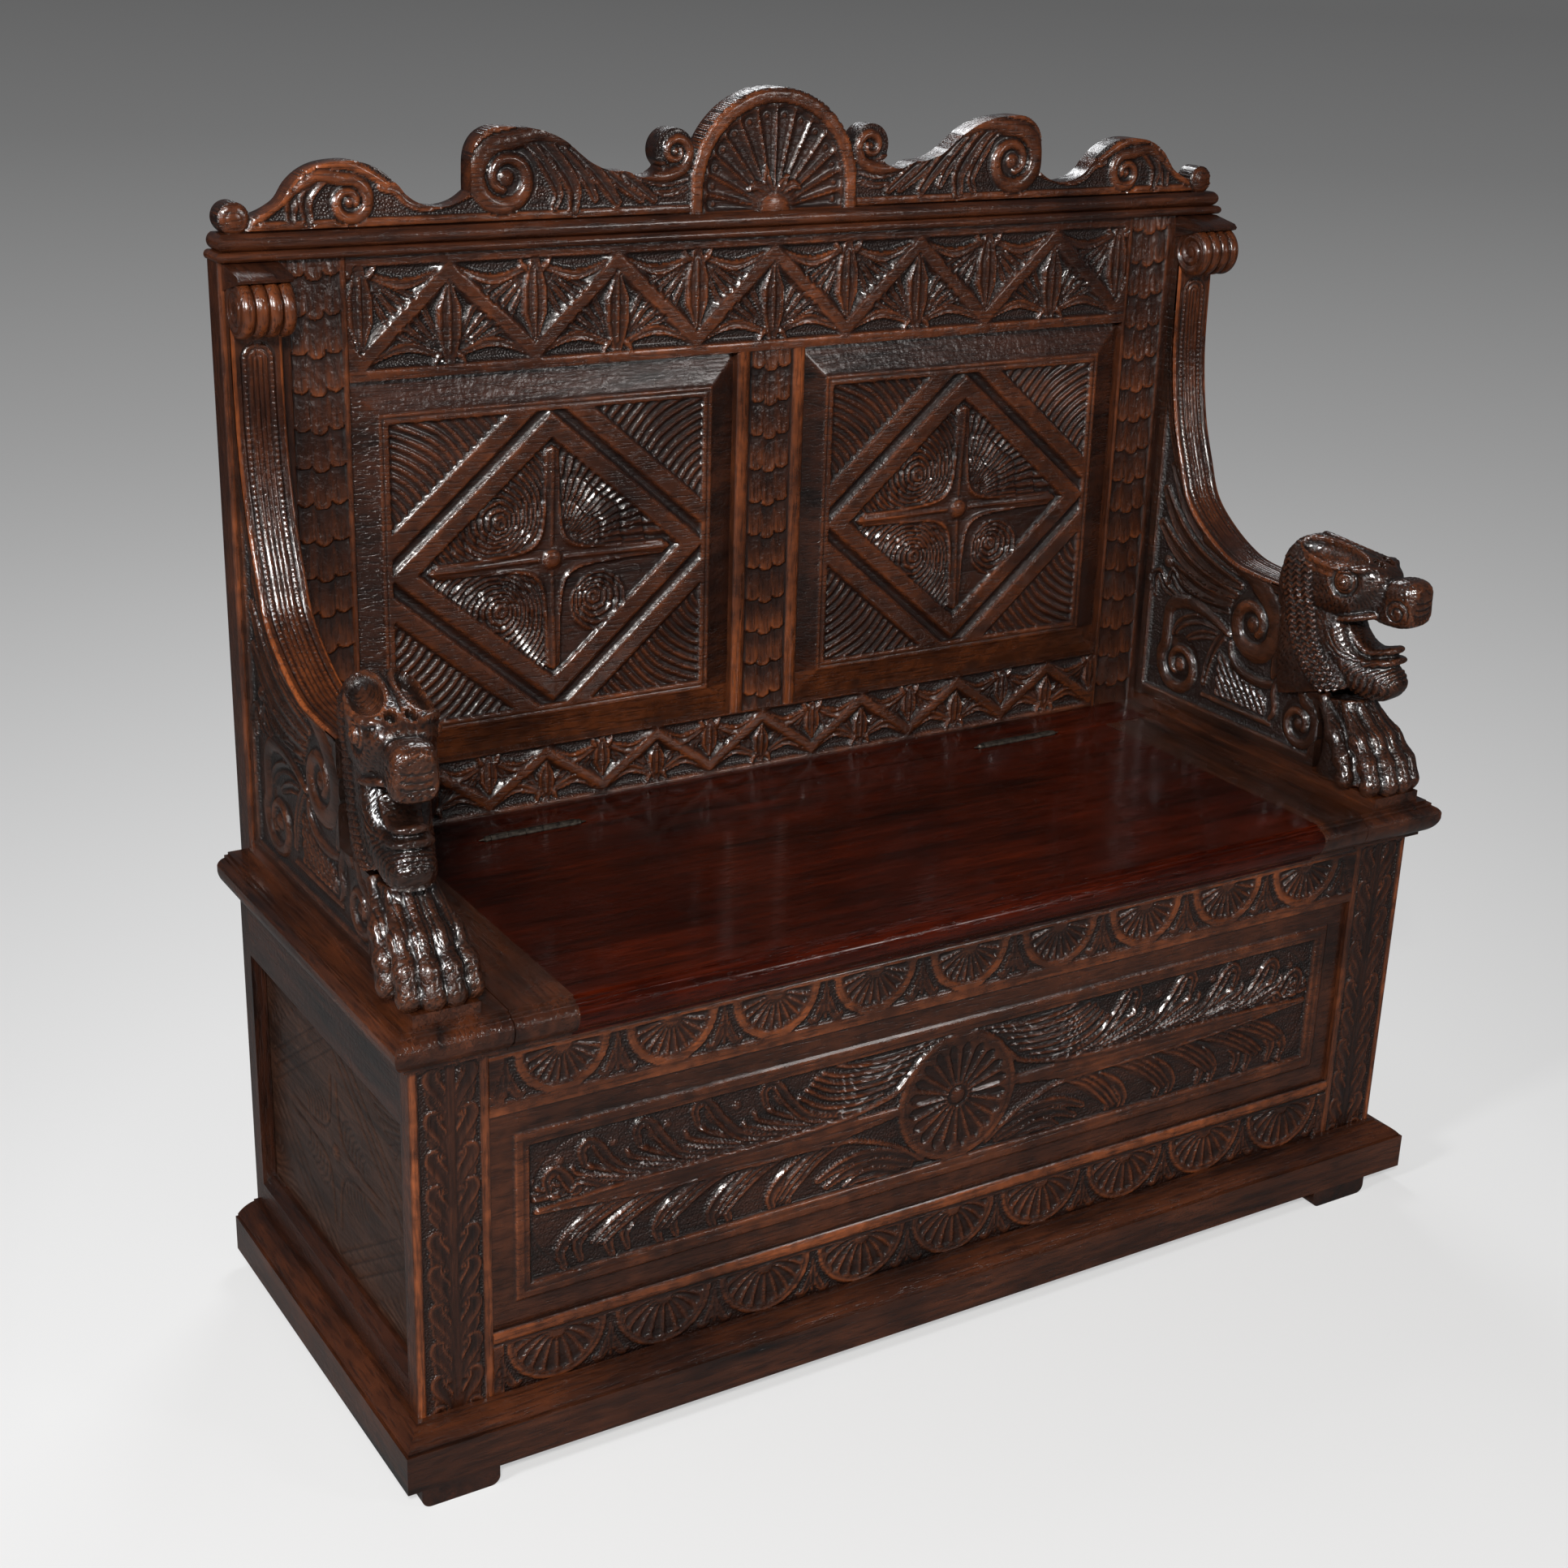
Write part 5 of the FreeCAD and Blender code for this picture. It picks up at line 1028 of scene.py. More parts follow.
@dataclass
class BackBoards:
    """Panelled back: two lozenge panels, zigzag friezes, and strips of scales."""

    half_width: float = 171.0
    half_height: float = 147.0
    centre: Point = (246.4, 718.0)
    field_half: float = 179.0
    field_rows: Point = (556.5, 877.5)
    scale_pitch: float = 35.0
    ridge_pitch: float = 9.4
    ring_pitch: float = 5.9
    row_pitch: float = 25.0
    fingers: int = 15

    def panel(self, side: int) -> Relief:
        """Bevelled panel whose field holds a lozenge round a four-pointed star."""
        r = Relief.of("back_panel_right", 1.65)
        cu, cv = self.centre
        inside = r.within(cu - self.field_half, cu + self.field_half, *self.field_rows)
        r.h = np.where(inside < 0, -1.2 + np.maximum(inside, -34) * 0.26, 0.0)
        # Painted light: the bevel below the field gets a 0.9 share of the warm worn colour for the top light
        # it catches, and the other bevels get none; the field's 0.45 is wear.
        r.wear_and_painted_light = np.where(inside < 0, np.where(r.v < self.field_rows[0], 0.9, 0.0), 0.45)
        r.h -= 1.1 * bell(inside - 4.6, 0.9)
        saw = 0.14 * np.sin(2 * math.pi * r.v / 3.9 + 0.4 * np.sin(r.u / 3))
        r.h += saw * (inside < -1) * (np.abs(r.u - cu) > 176)
        across = lozenge(r.u - cu, r.v - cv, self.half_width, self.half_height)
        within = inside > 10
        profile = [(-160, -4.2), (-21.5, -4.2), (-17.3, 0), (-1.5, 0.3), (-0.3, 0), (3.6, -3.7), (10, -3.4),
                   (13.2, 0), (14.5, 0.3), (30.5, 0), (34, -3.6), (200, -3.6)]
        flat = ((across > -18) & (across < 0)) | ((across > 13) & (across < 31))
        r.put(within, np.interp(across, *zip(*profile)), wear_and_painted_light=np.where(flat, 0.42, 0.0))
        r.h -= np.where(within, 0.8 * bell(across - 7.0, 0.8), 0)
        for sign_u in (-1, 1):
            for sign_v in (-1, 1):
                self.spandrel(r, sign_u, sign_v, within & (across > 34.2))
                self.quarter(r, sign_u, sign_v)
        self.star(r)
        if side < 0:
            r.slide(-cu * 2)
        return r

    def ridges(self, r: Relief, zone: Grid, phase: Grid, low: float, tall: float) -> None:
        """Parallel ridges: low + tall |2 frac(phase) - 1| ^ 1.4, sharpest where
        the phase is whole."""
        r.put(zone, low + tall * zigzag(phase) ** 1.4, wear_and_painted_light=0.05)

    def spandrel(self, r: Relief, sign_u: int, sign_v: int, zone: Grid) -> None:
        """Corner of ridges that are circles about a point beside the field."""
        du = (r.u - self.centre[0]) * sign_u - 186
        dv = (r.v - self.centre[1]) * sign_v - 46
        zone = zone & (du > -186) & (dv > -46)
        self.ridges(r, zone, np.hypot(du, dv) / self.ridge_pitch + 0.07 * np.sin(du / 9), -3.8, 2.9)

    def quarter(self, r: Relief, sign_u: int, sign_v: int) -> None:
        """One leaf cluster of the star. Crescents lie round an eye: each is a
        circle of radius R whose middle has moved 0.3 R towards the band, so that
        (along - 0.3 R)^2 + across^2 = R^2. The upper right one has rows of fingers
        instead, spread from the star. Short stops break the crescents into strokes."""
        u, v = (r.u - self.centre[0]) * sign_u, (r.v - self.centre[1]) * sign_v
        band = lozenge(u, v, self.half_width, self.half_height)
        star = np.maximum(u - 6, 0) * np.maximum(v - 6, 0) - 160
        zone = (u > 7) & (v > 7) & (band < -18.5) & (star > 0)
        rows = sign_u > 0 and sign_v > 0
        eye_u, eye_v = (6, 6) if rows else ((45, 43) if sign_u > 0 else (54, 41 if sign_v > 0 else 46))
        du, dv = u - eye_u, v - eye_v
        radius, angle = np.hypot(du, dv), np.arctan2(dv, du)
        if rows:
            row = radius / self.row_pitch + 0.12 * np.sin(angle * 9)
            phase = angle * self.fingers / (math.pi / 2) + 0.5 * np.floor(row) + 0.25 * (row % 1)
            self.ridges(r, zone, phase, -4.3, 3.9)
            r.put(zone, r.h - 2.2 * (1 - ease(0.0, 0.35, row % 1)) - 0.5 * (row % 1))
        else:
            out = (du + dv) / math.sqrt(2)
            ring = (np.sqrt(0.09 * out ** 2 + 0.91 * radius ** 2) - 0.3 * out) / 0.91
            self.ridges(r, zone, ring / self.ring_pitch + 0.06 * np.sin(angle * 7), -4.3, 3.6)
            stops = (angle * 6 / (2 * math.pi) + 0.035 * ring + 0.5 * np.floor(ring / 11.8)) % 1
            r.h -= np.where(zone & (ring > 11), 1.9 * bell(stops - 0.5, 0.07), 0)
            if sign_u > 0:
                r.put(zone & (ring > 31), -4.1)
            r.put(zone & (radius < 5), -1.8 - 1.8 * (radius < 2.4))
        rim = ease(0, 130, star)
        r.put(zone, r.h * rim - 3.6 * (1 - rim))

    def star(self, r: Relief) -> None:
        """Four-pointed star with concave sides, a ridge round it and a line
        along each arm: its edge is where (|u| - 6)(|v| - 6) = 160."""
        u, v = np.abs(r.u - self.centre[0]), np.abs(r.v - self.centre[1])
        over_u, over_v = np.maximum(u - 6, 0), np.maximum(v - 6, 0)
        gap = (over_u * over_v - 160) / (np.hypot(over_u, over_v) + 4)
        hollow = -2.2 - 1.6 * np.clip(-gap / 9, 0, 1)
        line = 1.9 * bell(np.minimum(u, v), 1.5) * ease(8, 16, np.maximum(u, v))
        r.put((u / 132 + v / 116 < 1.0) & (gap < 0), hollow + 2.5 * bell(gap + 1.3, 1.5) + line, wear_and_painted_light=0.12)
        rad = np.hypot(u, v)
        r.put(rad < 13, -3.2)
        r.put(rad < 10, -3.0 + 4.0 * dome(rad / 10), wear_and_painted_light=0.5)

    def frieze(self, node: str, low_v: float, high_v: float, half: float, band: float) -> Relief:
        """Zigzag band with a ribbed leaf in each triangle.

        Args:
            node: rail that carries it.
            low_v: height of the valleys.
            high_v: height of the peaks.
            half: half of the zigzag's pitch.
            band: width of the band.

        Returns:
            The carved face.
        """
        r = Relief.of(node)
        tall = high_v - low_v
        line = high_v - tall * np.abs((r.u / half + 1) % 2 - 1)
        away = np.abs((r.v - line) * (tall / math.hypot(tall, half) * half / tall))
        edge = np.minimum(r.v - low_v + 8, high_v + 8 - r.v)
        inside = (edge > 0) & (np.abs(r.u) < r.u1 - 6)
        flat = away < band / 2
        r.put(inside, -6.2 * np.clip((away - band / 2) / 8, 0, 1) * ease(0, 5, edge))
        r.put(inside & (away > band / 2 + 6), ground=1.0)
        r.put(flat, wear_and_painted_light=0.55)
        count = int(r.u1 / half) + 1
        for k in range(-count, count + 1):
            if abs(k * half) <= r.u1 - 4:
                foot, tip = (low_v, high_v - 12) if k % 2 == 0 else (high_v, low_v + 12)
                self.triangle(r, k * half, foot, tip, half)
        r.put(flat & inside, 0.0, wear_and_painted_light=0.55)
        return r

    def triangle(self, r: Relief, u: float, foot: float, tip: float, half: float) -> None:
        """One triangle: side sprays, swags along its base, and the lens leaf."""
        way = 1 if tip > foot else -1
        tall = abs(tip - foot)
        for side in (-1, 1):
            for k in range(4):
                a = 0.10 + 0.095 * k
                r.stroke([(u + side * 0.10 * half, foot + way * 0.10 * tall),
                          (u + side * (0.10 + 0.55 * a) * half, foot + way * (0.62 - 0.9 * a) * tall * 0.62),
                          (u + side * (0.16 + 1.15 * a) * half, foot + way * (0.74 - 1.05 * a) * tall)],
                         (1.2, 2.8, 3.4), -1.2, -5.0)
            r.stroke([(u + side * 0.12 * half, foot + way * 3), (u + side * 0.5 * half, foot + way * 12),
                      (u + side * 0.88 * half, foot + way * 1)], (3.0, 5.5, 2.0), -0.3, -3.0, veins=1,
                     wear_and_painted_light=0.4)
            r.stroke([(u + side * 0.03 * half, foot + way * 7), (u + side * 0.13 * half, foot + way * 1),
                      (u + side * 0.17 * half, foot - way * 4)], (3.0, 3.6, 2.4), 0.2, -3.0, Cut.ROUND)
        wide = 0.155 * half
        r.stroke([(u, foot - way * 2), (u, foot + way * 0.5 * tall), (u, tip)],
                 (0.45 * wide, wide, wide, 0.2 * wide), 0.3, -3.4, Cut.SCOOP, 2, 1.4, wear_and_painted_light=0.35)
        r.stroke([(u, foot + way * 0.06 * tall), (u, foot + way * 0.55 * tall), (u, tip)], (1.2, 2.2, 0.8),
                 0.3, -1.2, Cut.ROUND)

    def scales(self, r: Relief, left: float, right: float, top: float) -> None:
        """Overlapping scales with three lobes on the lower edge: each rises
        from under the one above to its own lower edge."""
        place = (r.u - left) / (right - left)
        lobe = np.abs(((place * 3) % 1) - 0.5) * 2
        edge = -6.5 * dome(lobe) - 4.0 * (np.abs(place - 0.5) < 1 / 6)
        phase = ((r.v - top - edge) / self.scale_pitch) % 1
        height = -0.3 - 3.4 * phase
        height -= 0.9 * bell(lobe - 1.0, 0.16) * (phase < 0.55) * ease(0, 0.1, phase)
        height -= 0.5 * bell(lobe, 0.14) * (phase < 0.4) * ease(0.05, 0.15, phase)
        r.put((place > 0) & (place < 1), height, wear_and_painted_light=np.clip(0.75 - phase, 0, 1))

    def muntin(self) -> Relief:
        """Strip of scales between two beads."""
        r = Relief.of("back_muntin")
        self.scales(r, -23, 23, r.v1 - 12)
        across = np.abs(r.u)
        r.put(across > 23, -2.6)
        r.put(across > 26, -2.6 + 2.8 * dome((across - 33) / 7), wear_and_painted_light=0.95)
        return r

    def stile(self, side: int) -> Relief:
        """Strip of scales beside a bead, then the plain part behind the arm."""
        r = Relief.of("back_stile_right")
        self.scales(r, 458, 507, r.v1 - 10)
        inner, outer = r.u - r.u0, r.u1 - r.u
        r.put(inner < 5.2, -2.4 + 2.4 * dome((inner - 2.4) / 2.9))
        r.put(inner < 5, wear_and_painted_light=0.6)
        r.put(outer < 9, -2.2 + 2.2 * dome((outer - 4.5) / 4.5), wear_and_painted_light=0.8)
        if side < 0:
            r.turn_over()
        return r

    def build(self, finishes: "Finishes") -> None:
        """Make the boards of the back."""
        top = self.frieze("back_top_rail", 926, 1008, 88, 11.5)
        top.strip(910, 919.5, 0.0, 0.8)
        low = self.frieze("back_bottom_rail", 470, 517, 64, 9)
        for name, relief, finish in (
                ("panel_left", self.panel(-1), finishes.along), ("panel_right", self.panel(1),
                                                                 finishes.along),
                ("top_rail", top, finishes.along), ("bottom_rail", low, finishes.along),
                ("muntin", self.muntin(), finishes.upright), ("stile_left", self.stile(-1), finishes.upright),
                ("stile_right", self.stile(1), finishes.upright)):
            relief.wear_and_painted_light *= 1.0 if name == "muntin" else 0.5
            face, back = depths("back_panel_right" if name.startswith("panel") else "back_stile_right")
            stands_for(board("carved_back_" + name, relief, facing_front(face), back - face, finish),
                       "back_" + name)


def outline_of(node: str, axis: int) -> Grid:
    """Outline of a solid as seen along an axis: the rim of its rear flat face.

    Args:
        node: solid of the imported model.
        axis: 0 to look along x, 1 to look along y.

    Returns:
        Corners in millimetres, in the two other coordinates and in order.
    """
    work = bmesh.new()
    work.from_mesh(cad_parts[node].data)
    bmesh.ops.remove_doubles(work, verts=work.verts, dist=2e-6)
    far = max(vertex.co[axis] for vertex in work.verts)
    flat = {face for face in work.faces if all(abs(v.co[axis] - far) < 2e-5 for v in face.verts)}
    following = {}
    for face in flat:
        for loop in face.loops:
            if not any(other in flat for other in loop.edge.link_faces if other is not face):
                following[loop.vert] = loop.link_loop_next.vert
    chains = []
    while following:
        here = next(iter(following))
        chain = []
        while here in following:
            chain.append([here.co[k] * 1000 + (MIDDLE_DEPTH if k == 1 else 0) for k in range(3) if k != axis])
            here = following.pop(here)
        chains.append(chain)
    work.free()
    return np.array(max(chains, key=len))


def rounded(outline: Grid, sharp: float = 50.0, steps: int = 4) -> Grid:
    """Round off a closed outline: between two corners runs the cubic through
    both whose slopes are the mean of the sides that meet, weighted by their
    squared length. A corner that turns by more than a limit stays sharp.

    Args:
        outline: corners in order.
        sharp: limit in degrees.
        steps: pieces on each side.

    Returns:
        The finer outline.
    """
    after = np.roll(outline, -1, axis=0) - outline
    size = np.linalg.norm(after, axis=1, keepdims=True)
    way = after / np.maximum(size, 1e-9)
    earlier, before = np.roll(way, 1, axis=0), np.roll(size, 1, axis=0)
    mean = earlier * before ** 2 + way * size ** 2
    mean = mean / np.maximum(np.linalg.norm(mean, axis=1, keepdims=True), 1e-9)
    hard = (earlier * way).sum(1, keepdims=True) < math.cos(math.radians(sharp))
    start = np.where(hard, way, mean) * size
    end = np.roll(np.where(hard, earlier, mean), -1, axis=0) * size
    t = np.linspace(0, 1, steps, endpoint=False)[None, :, None]
    p, q, m, n = outline[:, None], np.roll(outline, -1, axis=0)[:, None], start[:, None], end[:, None]
    curve = (p * (2 * t ** 3 - 3 * t ** 2 + 1) + m * (t ** 3 - 2 * t ** 2 + t) + q * (3 * t ** 2 - 2 * t ** 3)
             + n * (t ** 3 - t ** 2))
    return curve.reshape(-1, 2)


@dataclass
class Crest:
    """Scrolled board over the cornice, with a shell under its arch."""

    arch_rise: float = 1069.0
    arch: float = 96.0
    rim: float = 14.0
    petals: int = 14
    low: float = -5.0

    def relief(self) -> Relief:
        """Carve the right half, mirror it, and add the arch."""
        r = Relief.of("crest_board", 1.6, self.low)
        r.ground = np.ones(r.u.shape)
        self.leaves(r)
        r.mirror_u()
        self.shell(r)
        return r

    def leaves(self, r: Relief) -> None:
        """Scrolls and leaf folds between the arch and the end ball."""
        low = self.low

        def folds(rows: Sequence[tuple]) -> None:
            """Scooped folds with one vein, from rows of (points, half width)."""
            for points, wide in rows:
                r.stroke(points, (0.6 * wide, wide, wide, wide, 0.7 * wide), 0.0, low + 0.6, Cut.SCOOP, 1,
                         1.2, (0.9, 1.0, 1.0, 0.9))

        r.stroke([(96, 1052.5), (566, 1052.5)], (4.4, 4.4), -0.6, low, Cut.FLAT, wear_and_painted_light=0.3)
        r.stroke([(96, 1083), (118, 1079), (140, 1081), (158, 1088)], (3, 5, 5, 3), -1.2, low, veins=1)
        r.stroke([(100, 1072), (120, 1068), (138, 1070)], (3, 4, 2), -1.6, low)
        folds((([(96, 1094), (112, 1092), (136, 1094), (164, 1092), (190, 1098)], 5.5),
               ([(240, 1128), (206, 1110), (178, 1094), (156, 1078), (136, 1063)], 6.5),
               ([(262, 1132), (222, 1118), (196, 1098), (172, 1078), (150, 1063)], 6.0),
               ([(272, 1132), (236, 1120), (210, 1100), (190, 1080), (176, 1062)], 8.5),
               ([(280, 1131), (248, 1120), (226, 1102), (208, 1082), (199, 1066)], 6.5),
               ([(284, 1130), (256, 1118), (236, 1098), (222, 1076), (222, 1057)], 9.5),
               ([(288, 1128), (264, 1112), (248, 1092), (238, 1072), (242, 1060)], 6.5)))
        r.stroke([(170, 1092), (196, 1101), (224, 1118), (255, 1129), (287, 1132), (312, 1124), (328, 1104)],
                 (3.0, 4.2, 4.6, 5.0, 5.0, 4.6), 0.0, low + 1, Cut.ROUND, wear_and_painted_light=0.9)
        r.stroke([(322, 1080), (346, 1070), (372, 1065.5), (388, 1070), (399, 1080), (413, 1084)],
                 (6.5, 6.2, 6.0, 6.0, 6.0, 5.5), -0.2, low, lift=(1, 1, 1), wear_and_painted_light=0.35)
        folds((([(556, 1054), (530, 1060), (512, 1072), (498, 1086), (480, 1098)], 5.0),
               ([(462, 1102), (484, 1090), (498, 1074), (500, 1058)], 7.5),
               ([(456, 1102), (474, 1090), (486, 1074), (484, 1056)], 7.5)))
        r.stroke([(408, 1085), (425, 1095), (442, 1103), (462, 1104), (482, 1096), (497, 1083), (512, 1070),
                  (534, 1057)], (3.5, 4.6, 5.0, 5.0, 4.6, 4.0, 3.4, 3.0), 0.0, low + 1, Cut.ROUND, wear_and_painted_light=0.9)
        r.scroll(112, 1107, 15, 1.15, 215, -1, (4.5, 6.5, 6.5, 5, 4, 3), low,
                 [(150, 1086), (124, 1084), (106, 1090)], 0.15)
        r.scroll(291, 1087.5, 33, 1.45, 92, -1, (6, 9, 11, 10, 7, 5.5, 4.5), low,
                 [(228, 1119), (256, 1127)], 0.3)
        r.scroll(445, 1071, 20, 1.3, 80, 1, (4, 6.5, 7, 6, 4.6, 3.6), low, [(494, 1084), (474, 1095)], 0.3)
        r.ball(552, 1060, 14.5, low, 0.0)

    def shell(self, r: Relief) -> None:
        """Flutes that spread from a half-round button at the foot of the arch."""
        base = r.v0
        arch = np.where(r.v > self.arch_rise, np.hypot(r.u, r.v - self.arch_rise), np.abs(r.u))
        angle = np.arctan2(r.v - base + 0.01, r.u)
        from_foot = np.hypot(r.u, r.v - base)
        t = zigzag(angle * self.petals / math.pi)
        inner = self.arch - self.rim
        edge = inner - arch
        hollow = np.sqrt(np.clip(1 - t ** 2.4, 0, 1)) * ease(18, 34, from_foot) * ease(0, 7, edge - 2.5 * t)
        flutes = -2.6 - 3.6 * hollow
        flutes += 1.2 * bell(t - 1, 0.09) * ease(20, 30, from_foot) * ease(2, 5, edge)
        flutes -= 1.4 * bell(edge - 1, 1.3)
        ring = -0.9 * (self.rim / 2 - np.abs(arch - self.arch + self.rim / 2) < 2.2)
        r.put(arch < self.arch, np.where(arch < inner, flutes, ring), 0, np.where(arch < inner, 0.03, 0.6))
        lift = self.arch_rise - base
        for a in (np.arange(self.petals) + 0.5) * math.pi / self.petals:
            reach = lift * math.sin(a) + math.sqrt(inner ** 2 - (lift * math.cos(a)) ** 2) - 12
            r.dot(reach * math.cos(a), base + reach * math.sin(a), 2.6, 1.9)
        for points, widths, veins in (([(-4, 14), (-11, 20), (-22, 24), (-30, 20)], (3, 4.6, 4.4, 2), 0),
                                      ([(4, 14), (11, 20), (22, 24), (30, 20)], (3, 4.6, 4.4, 2), 0),
                                      ([(-2, 16), (-9, 28), (-10, 40)], (3, 5.4, 2.4), 1),
                                      ([(3, 16), (9, 26), (15, 33)], (3, 4.4, 2), 0)):
            r.stroke([(u, base + v) for u, v in points], widths, 0.0, -4, veins=veins)
        r.put(from_foot < 17, -3.4 + 3.4 * dome(from_foot / 17), wear_and_painted_light=0.6)

    def build(self, finishes: "Finishes") -> None:
        """Saw the carved board to the crest's outline."""
        face, back = depths("crest_board")
        stands_for(sawn_board("carved_crest", self.relief(), rounded(outline_of("crest_board", 1)),
                              facing_front(face), back - face, finishes.along, whole_back=True),
                   "crest_board")


@dataclass
class Arm:
    """Upright side of an arm: carved faces, reeded front edge, roll and cap."""

    inner: float = 519.0
    outer: float = 566.0
    low: float = -4.6
    edge: tuple[Point, ...] = ((386.5, 990), (386.3, 963), (383.6, 873), (371.4, 803), (353.6, 753),
                               (335, 713), (298, 683), (255, 663), (215, 657.5), (165, 656))
    roll_centre: Point = (369.0, 987.5)
    roll_radius: float = 26.0
    rings: int = 4
    ring_depth: float = 4.4
    around: int = 96
    overhang: float = 1.5

    def curve(self) -> Grid:
        """Front edge of the arm from the roll down to the mane."""
        return smooth_path(self.edge, 10)

    def outline(self) -> Grid:
        """Closed outline of the board."""
        return np.vstack([[(396.4, 1023), (396.4, 471.2), (96, 471.2), (96, 556), (165, 556)],
                          self.curve()[::-1], [(386.5, 1023)]])

    def relief(self) -> Relief:
        """Volutes, acanthus and a strip of gadroons on a sunk ground."""
        r = Relief(94.5, 397.5, 470, 1024)
        low = self.low
        inside = -outline_distance(r.u, r.v, self.outline())[0]
        r.h = np.where(inside > 0, low * ease(10, 13, inside), 0) - bell(inside - 7.0, 0.9)
        r.put((r.v < 482) & (r.u > 96), 0.0)
        r.put(inside > 12, ground=1.0)
        r.put(inside < 10, wear_and_painted_light=0.12)
        for points, wide, veins, wear_and_painted_light in (
                ([(215, 663), (255, 673), (295, 691), (330, 723), (352, 768)], 8, 2, 0.0),
                ([(225, 651), (265, 661), (305, 678), (340, 708), (366, 748)], 9, 2, 0.1),
                ([(240, 638), (280, 645), (320, 661), (352, 685), (376, 718)], 10, 2, 0.2),
                ([(245, 626), (285, 629), (325, 641), (355, 658), (378, 678)], 10, 2, 0.3),
                ([(250, 615), (290, 615), (325, 623), (352, 633)], 9, 2, 0.3),
                ([(255, 605), (290, 603), (318, 606), (338, 613), (352, 625), (358, 613)], 7, 1, 0.0),
                ([(340, 599), (362, 605), (374, 619), (383, 613), (380, 593)], 6, 1, 0.0),
                ([(252, 579), (290, 585), (322, 576), (338, 561), (341, 545)], 7, 1, 0.0),
                ([(256, 571), (286, 569), (308, 561), (318, 555)], 6, 1, 0.0),
                ([(252, 583), (268, 563), (279, 537), (284, 511)], 6, 1, 0.0)):
            r.stroke(points, (0.5 * wide, wide, wide, wide, 0.6 * wide), 0.0, low + 0.6, Cut.SCOOP, veins,
                     1.1, (0.7, 0.9, 1.0, 0.9), wear_and_painted_light)
        r.ball(362, 636, 8, low, 0.2)
        r.ball(341, 545, 6, low, 0.3)
        r.scroll(328, 521, 35, 1.25, 40, -1, (4, 8, 9, 8.5, 8, 7, 5.5, 4.5), low,
                 [(250, 579), (288, 594), (328, 597), (352, 583)], 0.1)
        r.stroke([(172, 496.5), (284, 497.5)], (3.4, 3.4), -0.3, low, Cut.ROUND, wear_and_painted_light=0.2)
        self.gadroons(r)
        r.scroll(214, 600, 39, 1.25, 135, 1, (8, 12, 14, 15, 13, 11, 9, 6.5, 5), low,
                 [(300, 678), (262, 668), (222, 657)], 0.4)
        r.stroke([(158, 551), (182, 540), (207, 539), (230, 545), (243, 558), (245, 571)],
                 (3, 5.5, 6.5, 6, 3.5), 0.0, low, Cut.ROUND)
        r.scroll(127, 511, 29, 1.3, 100, 1, (2.5, 6, 8.5, 8.5, 7, 6, 5, 4), low,
                 [(162, 625), (161, 601), (150, 581), (134, 563)], 0.15)
        r.stroke([(152, 543), (164, 551), (170, 535), (166, 515), (172, 503)], (3, 5, 5, 3), -0.3, low,
                 Cut.ROUND)
        return r

    def gadroons(self, r: Relief) -> None:
        """Slanted ribs: the height follows |sin| of the place across them."""
        zone = (r.u > 180) & (r.u < 263) & (r.v > 504) & (r.v < 523 + 0.38 * (r.u - 180))
        across = (r.u * 0.78 - r.v * 0.62) / 8.2
        ties = np.abs(np.sin(math.pi * r.v / 10)) < 0.2
        height = -3.6 + 3.4 * np.abs(np.sin(math.pi * across)) - 1.2 * ties
        r.put(zone & (np.hypot(r.u - 214, r.v - 600) > 50), height, 0)

    def strip(self) -> tuple[Grid, list, Grid]:
        """Reeded band carried along the front edge. From each side to the middle
        its height is a plain margin, a row of beads, and round reeds.

        Returns:
            Vertices, faces and masks of the right arm's strip.
        """
        path = self.curve()
        steps = np.concatenate([[0], np.cumsum(np.linalg.norm(np.diff(path, axis=0), axis=1))])
        along = np.linspace(0, steps[-1], int(steps[-1] / (1.3 * COARSE)))
        y, z = np.interp(along, steps, path[:, 0]), np.interp(along, steps, path[:, 1])
        dy, dz = np.gradient(y, along), np.gradient(z, along)
        ny, nz = np.stack([dz, -dy])[:, :, None] / np.hypot(dy, dz)[:, None]
        half = (self.outer - self.inner) / 2
        t = np.linspace(-half, half, 53)
        s, across = along[:, None], np.abs(t)[None]
        end = s - 34
        arch = np.where(end < 16, np.hypot(np.minimum(end - 16, 0), across), across)
        beads = 1.3 * bell(arch - 12.6, 1.7) * (0.35 + 0.65 * np.abs(np.sin(math.pi * s / 5.2)))
        reeds = 1.2 * dome(((arch % 4.6) - 2.3) / 2.35)
        height = np.where(arch > 15.6, 0.2, np.where(arch < 9.3, reeds - 0.6, beads - 0.4))
        height = height - bell(arch - 15.6, 0.7) - np.clip(across - half + 2.4, 0, 3) ** 2 * 0.32 + 1.6
        x = (self.inner + half + t)[None] * np.ones_like(s)
        front, rear = (np.stack([x, y[:, None] + ny * out, z[:, None] + nz * out], -1)
                       for out in (height, np.full(height.shape, -3.0)))
        grid = np.concatenate([front, rear[:, ::-1]], 1)
        worn = np.where(across > half - 3.5, 1.0, 0.5 * np.clip((height - 1.6) / 1.2 + 0.35, 0, 1))
        return grid.reshape(-1, 3), tube_faces(*grid.shape[:2], inward=True), self.masks(
            np.concatenate([worn, np.zeros_like(height)], 1), 0.6)

    def masks(self, worn: Grid, full: float) -> Grid:
        """Worn mask with the hollow mask that is left up to a full share."""
        return np.stack([worn, np.clip(full - worn, 0, 1), 0 * worn], -1).reshape(-1, 3)

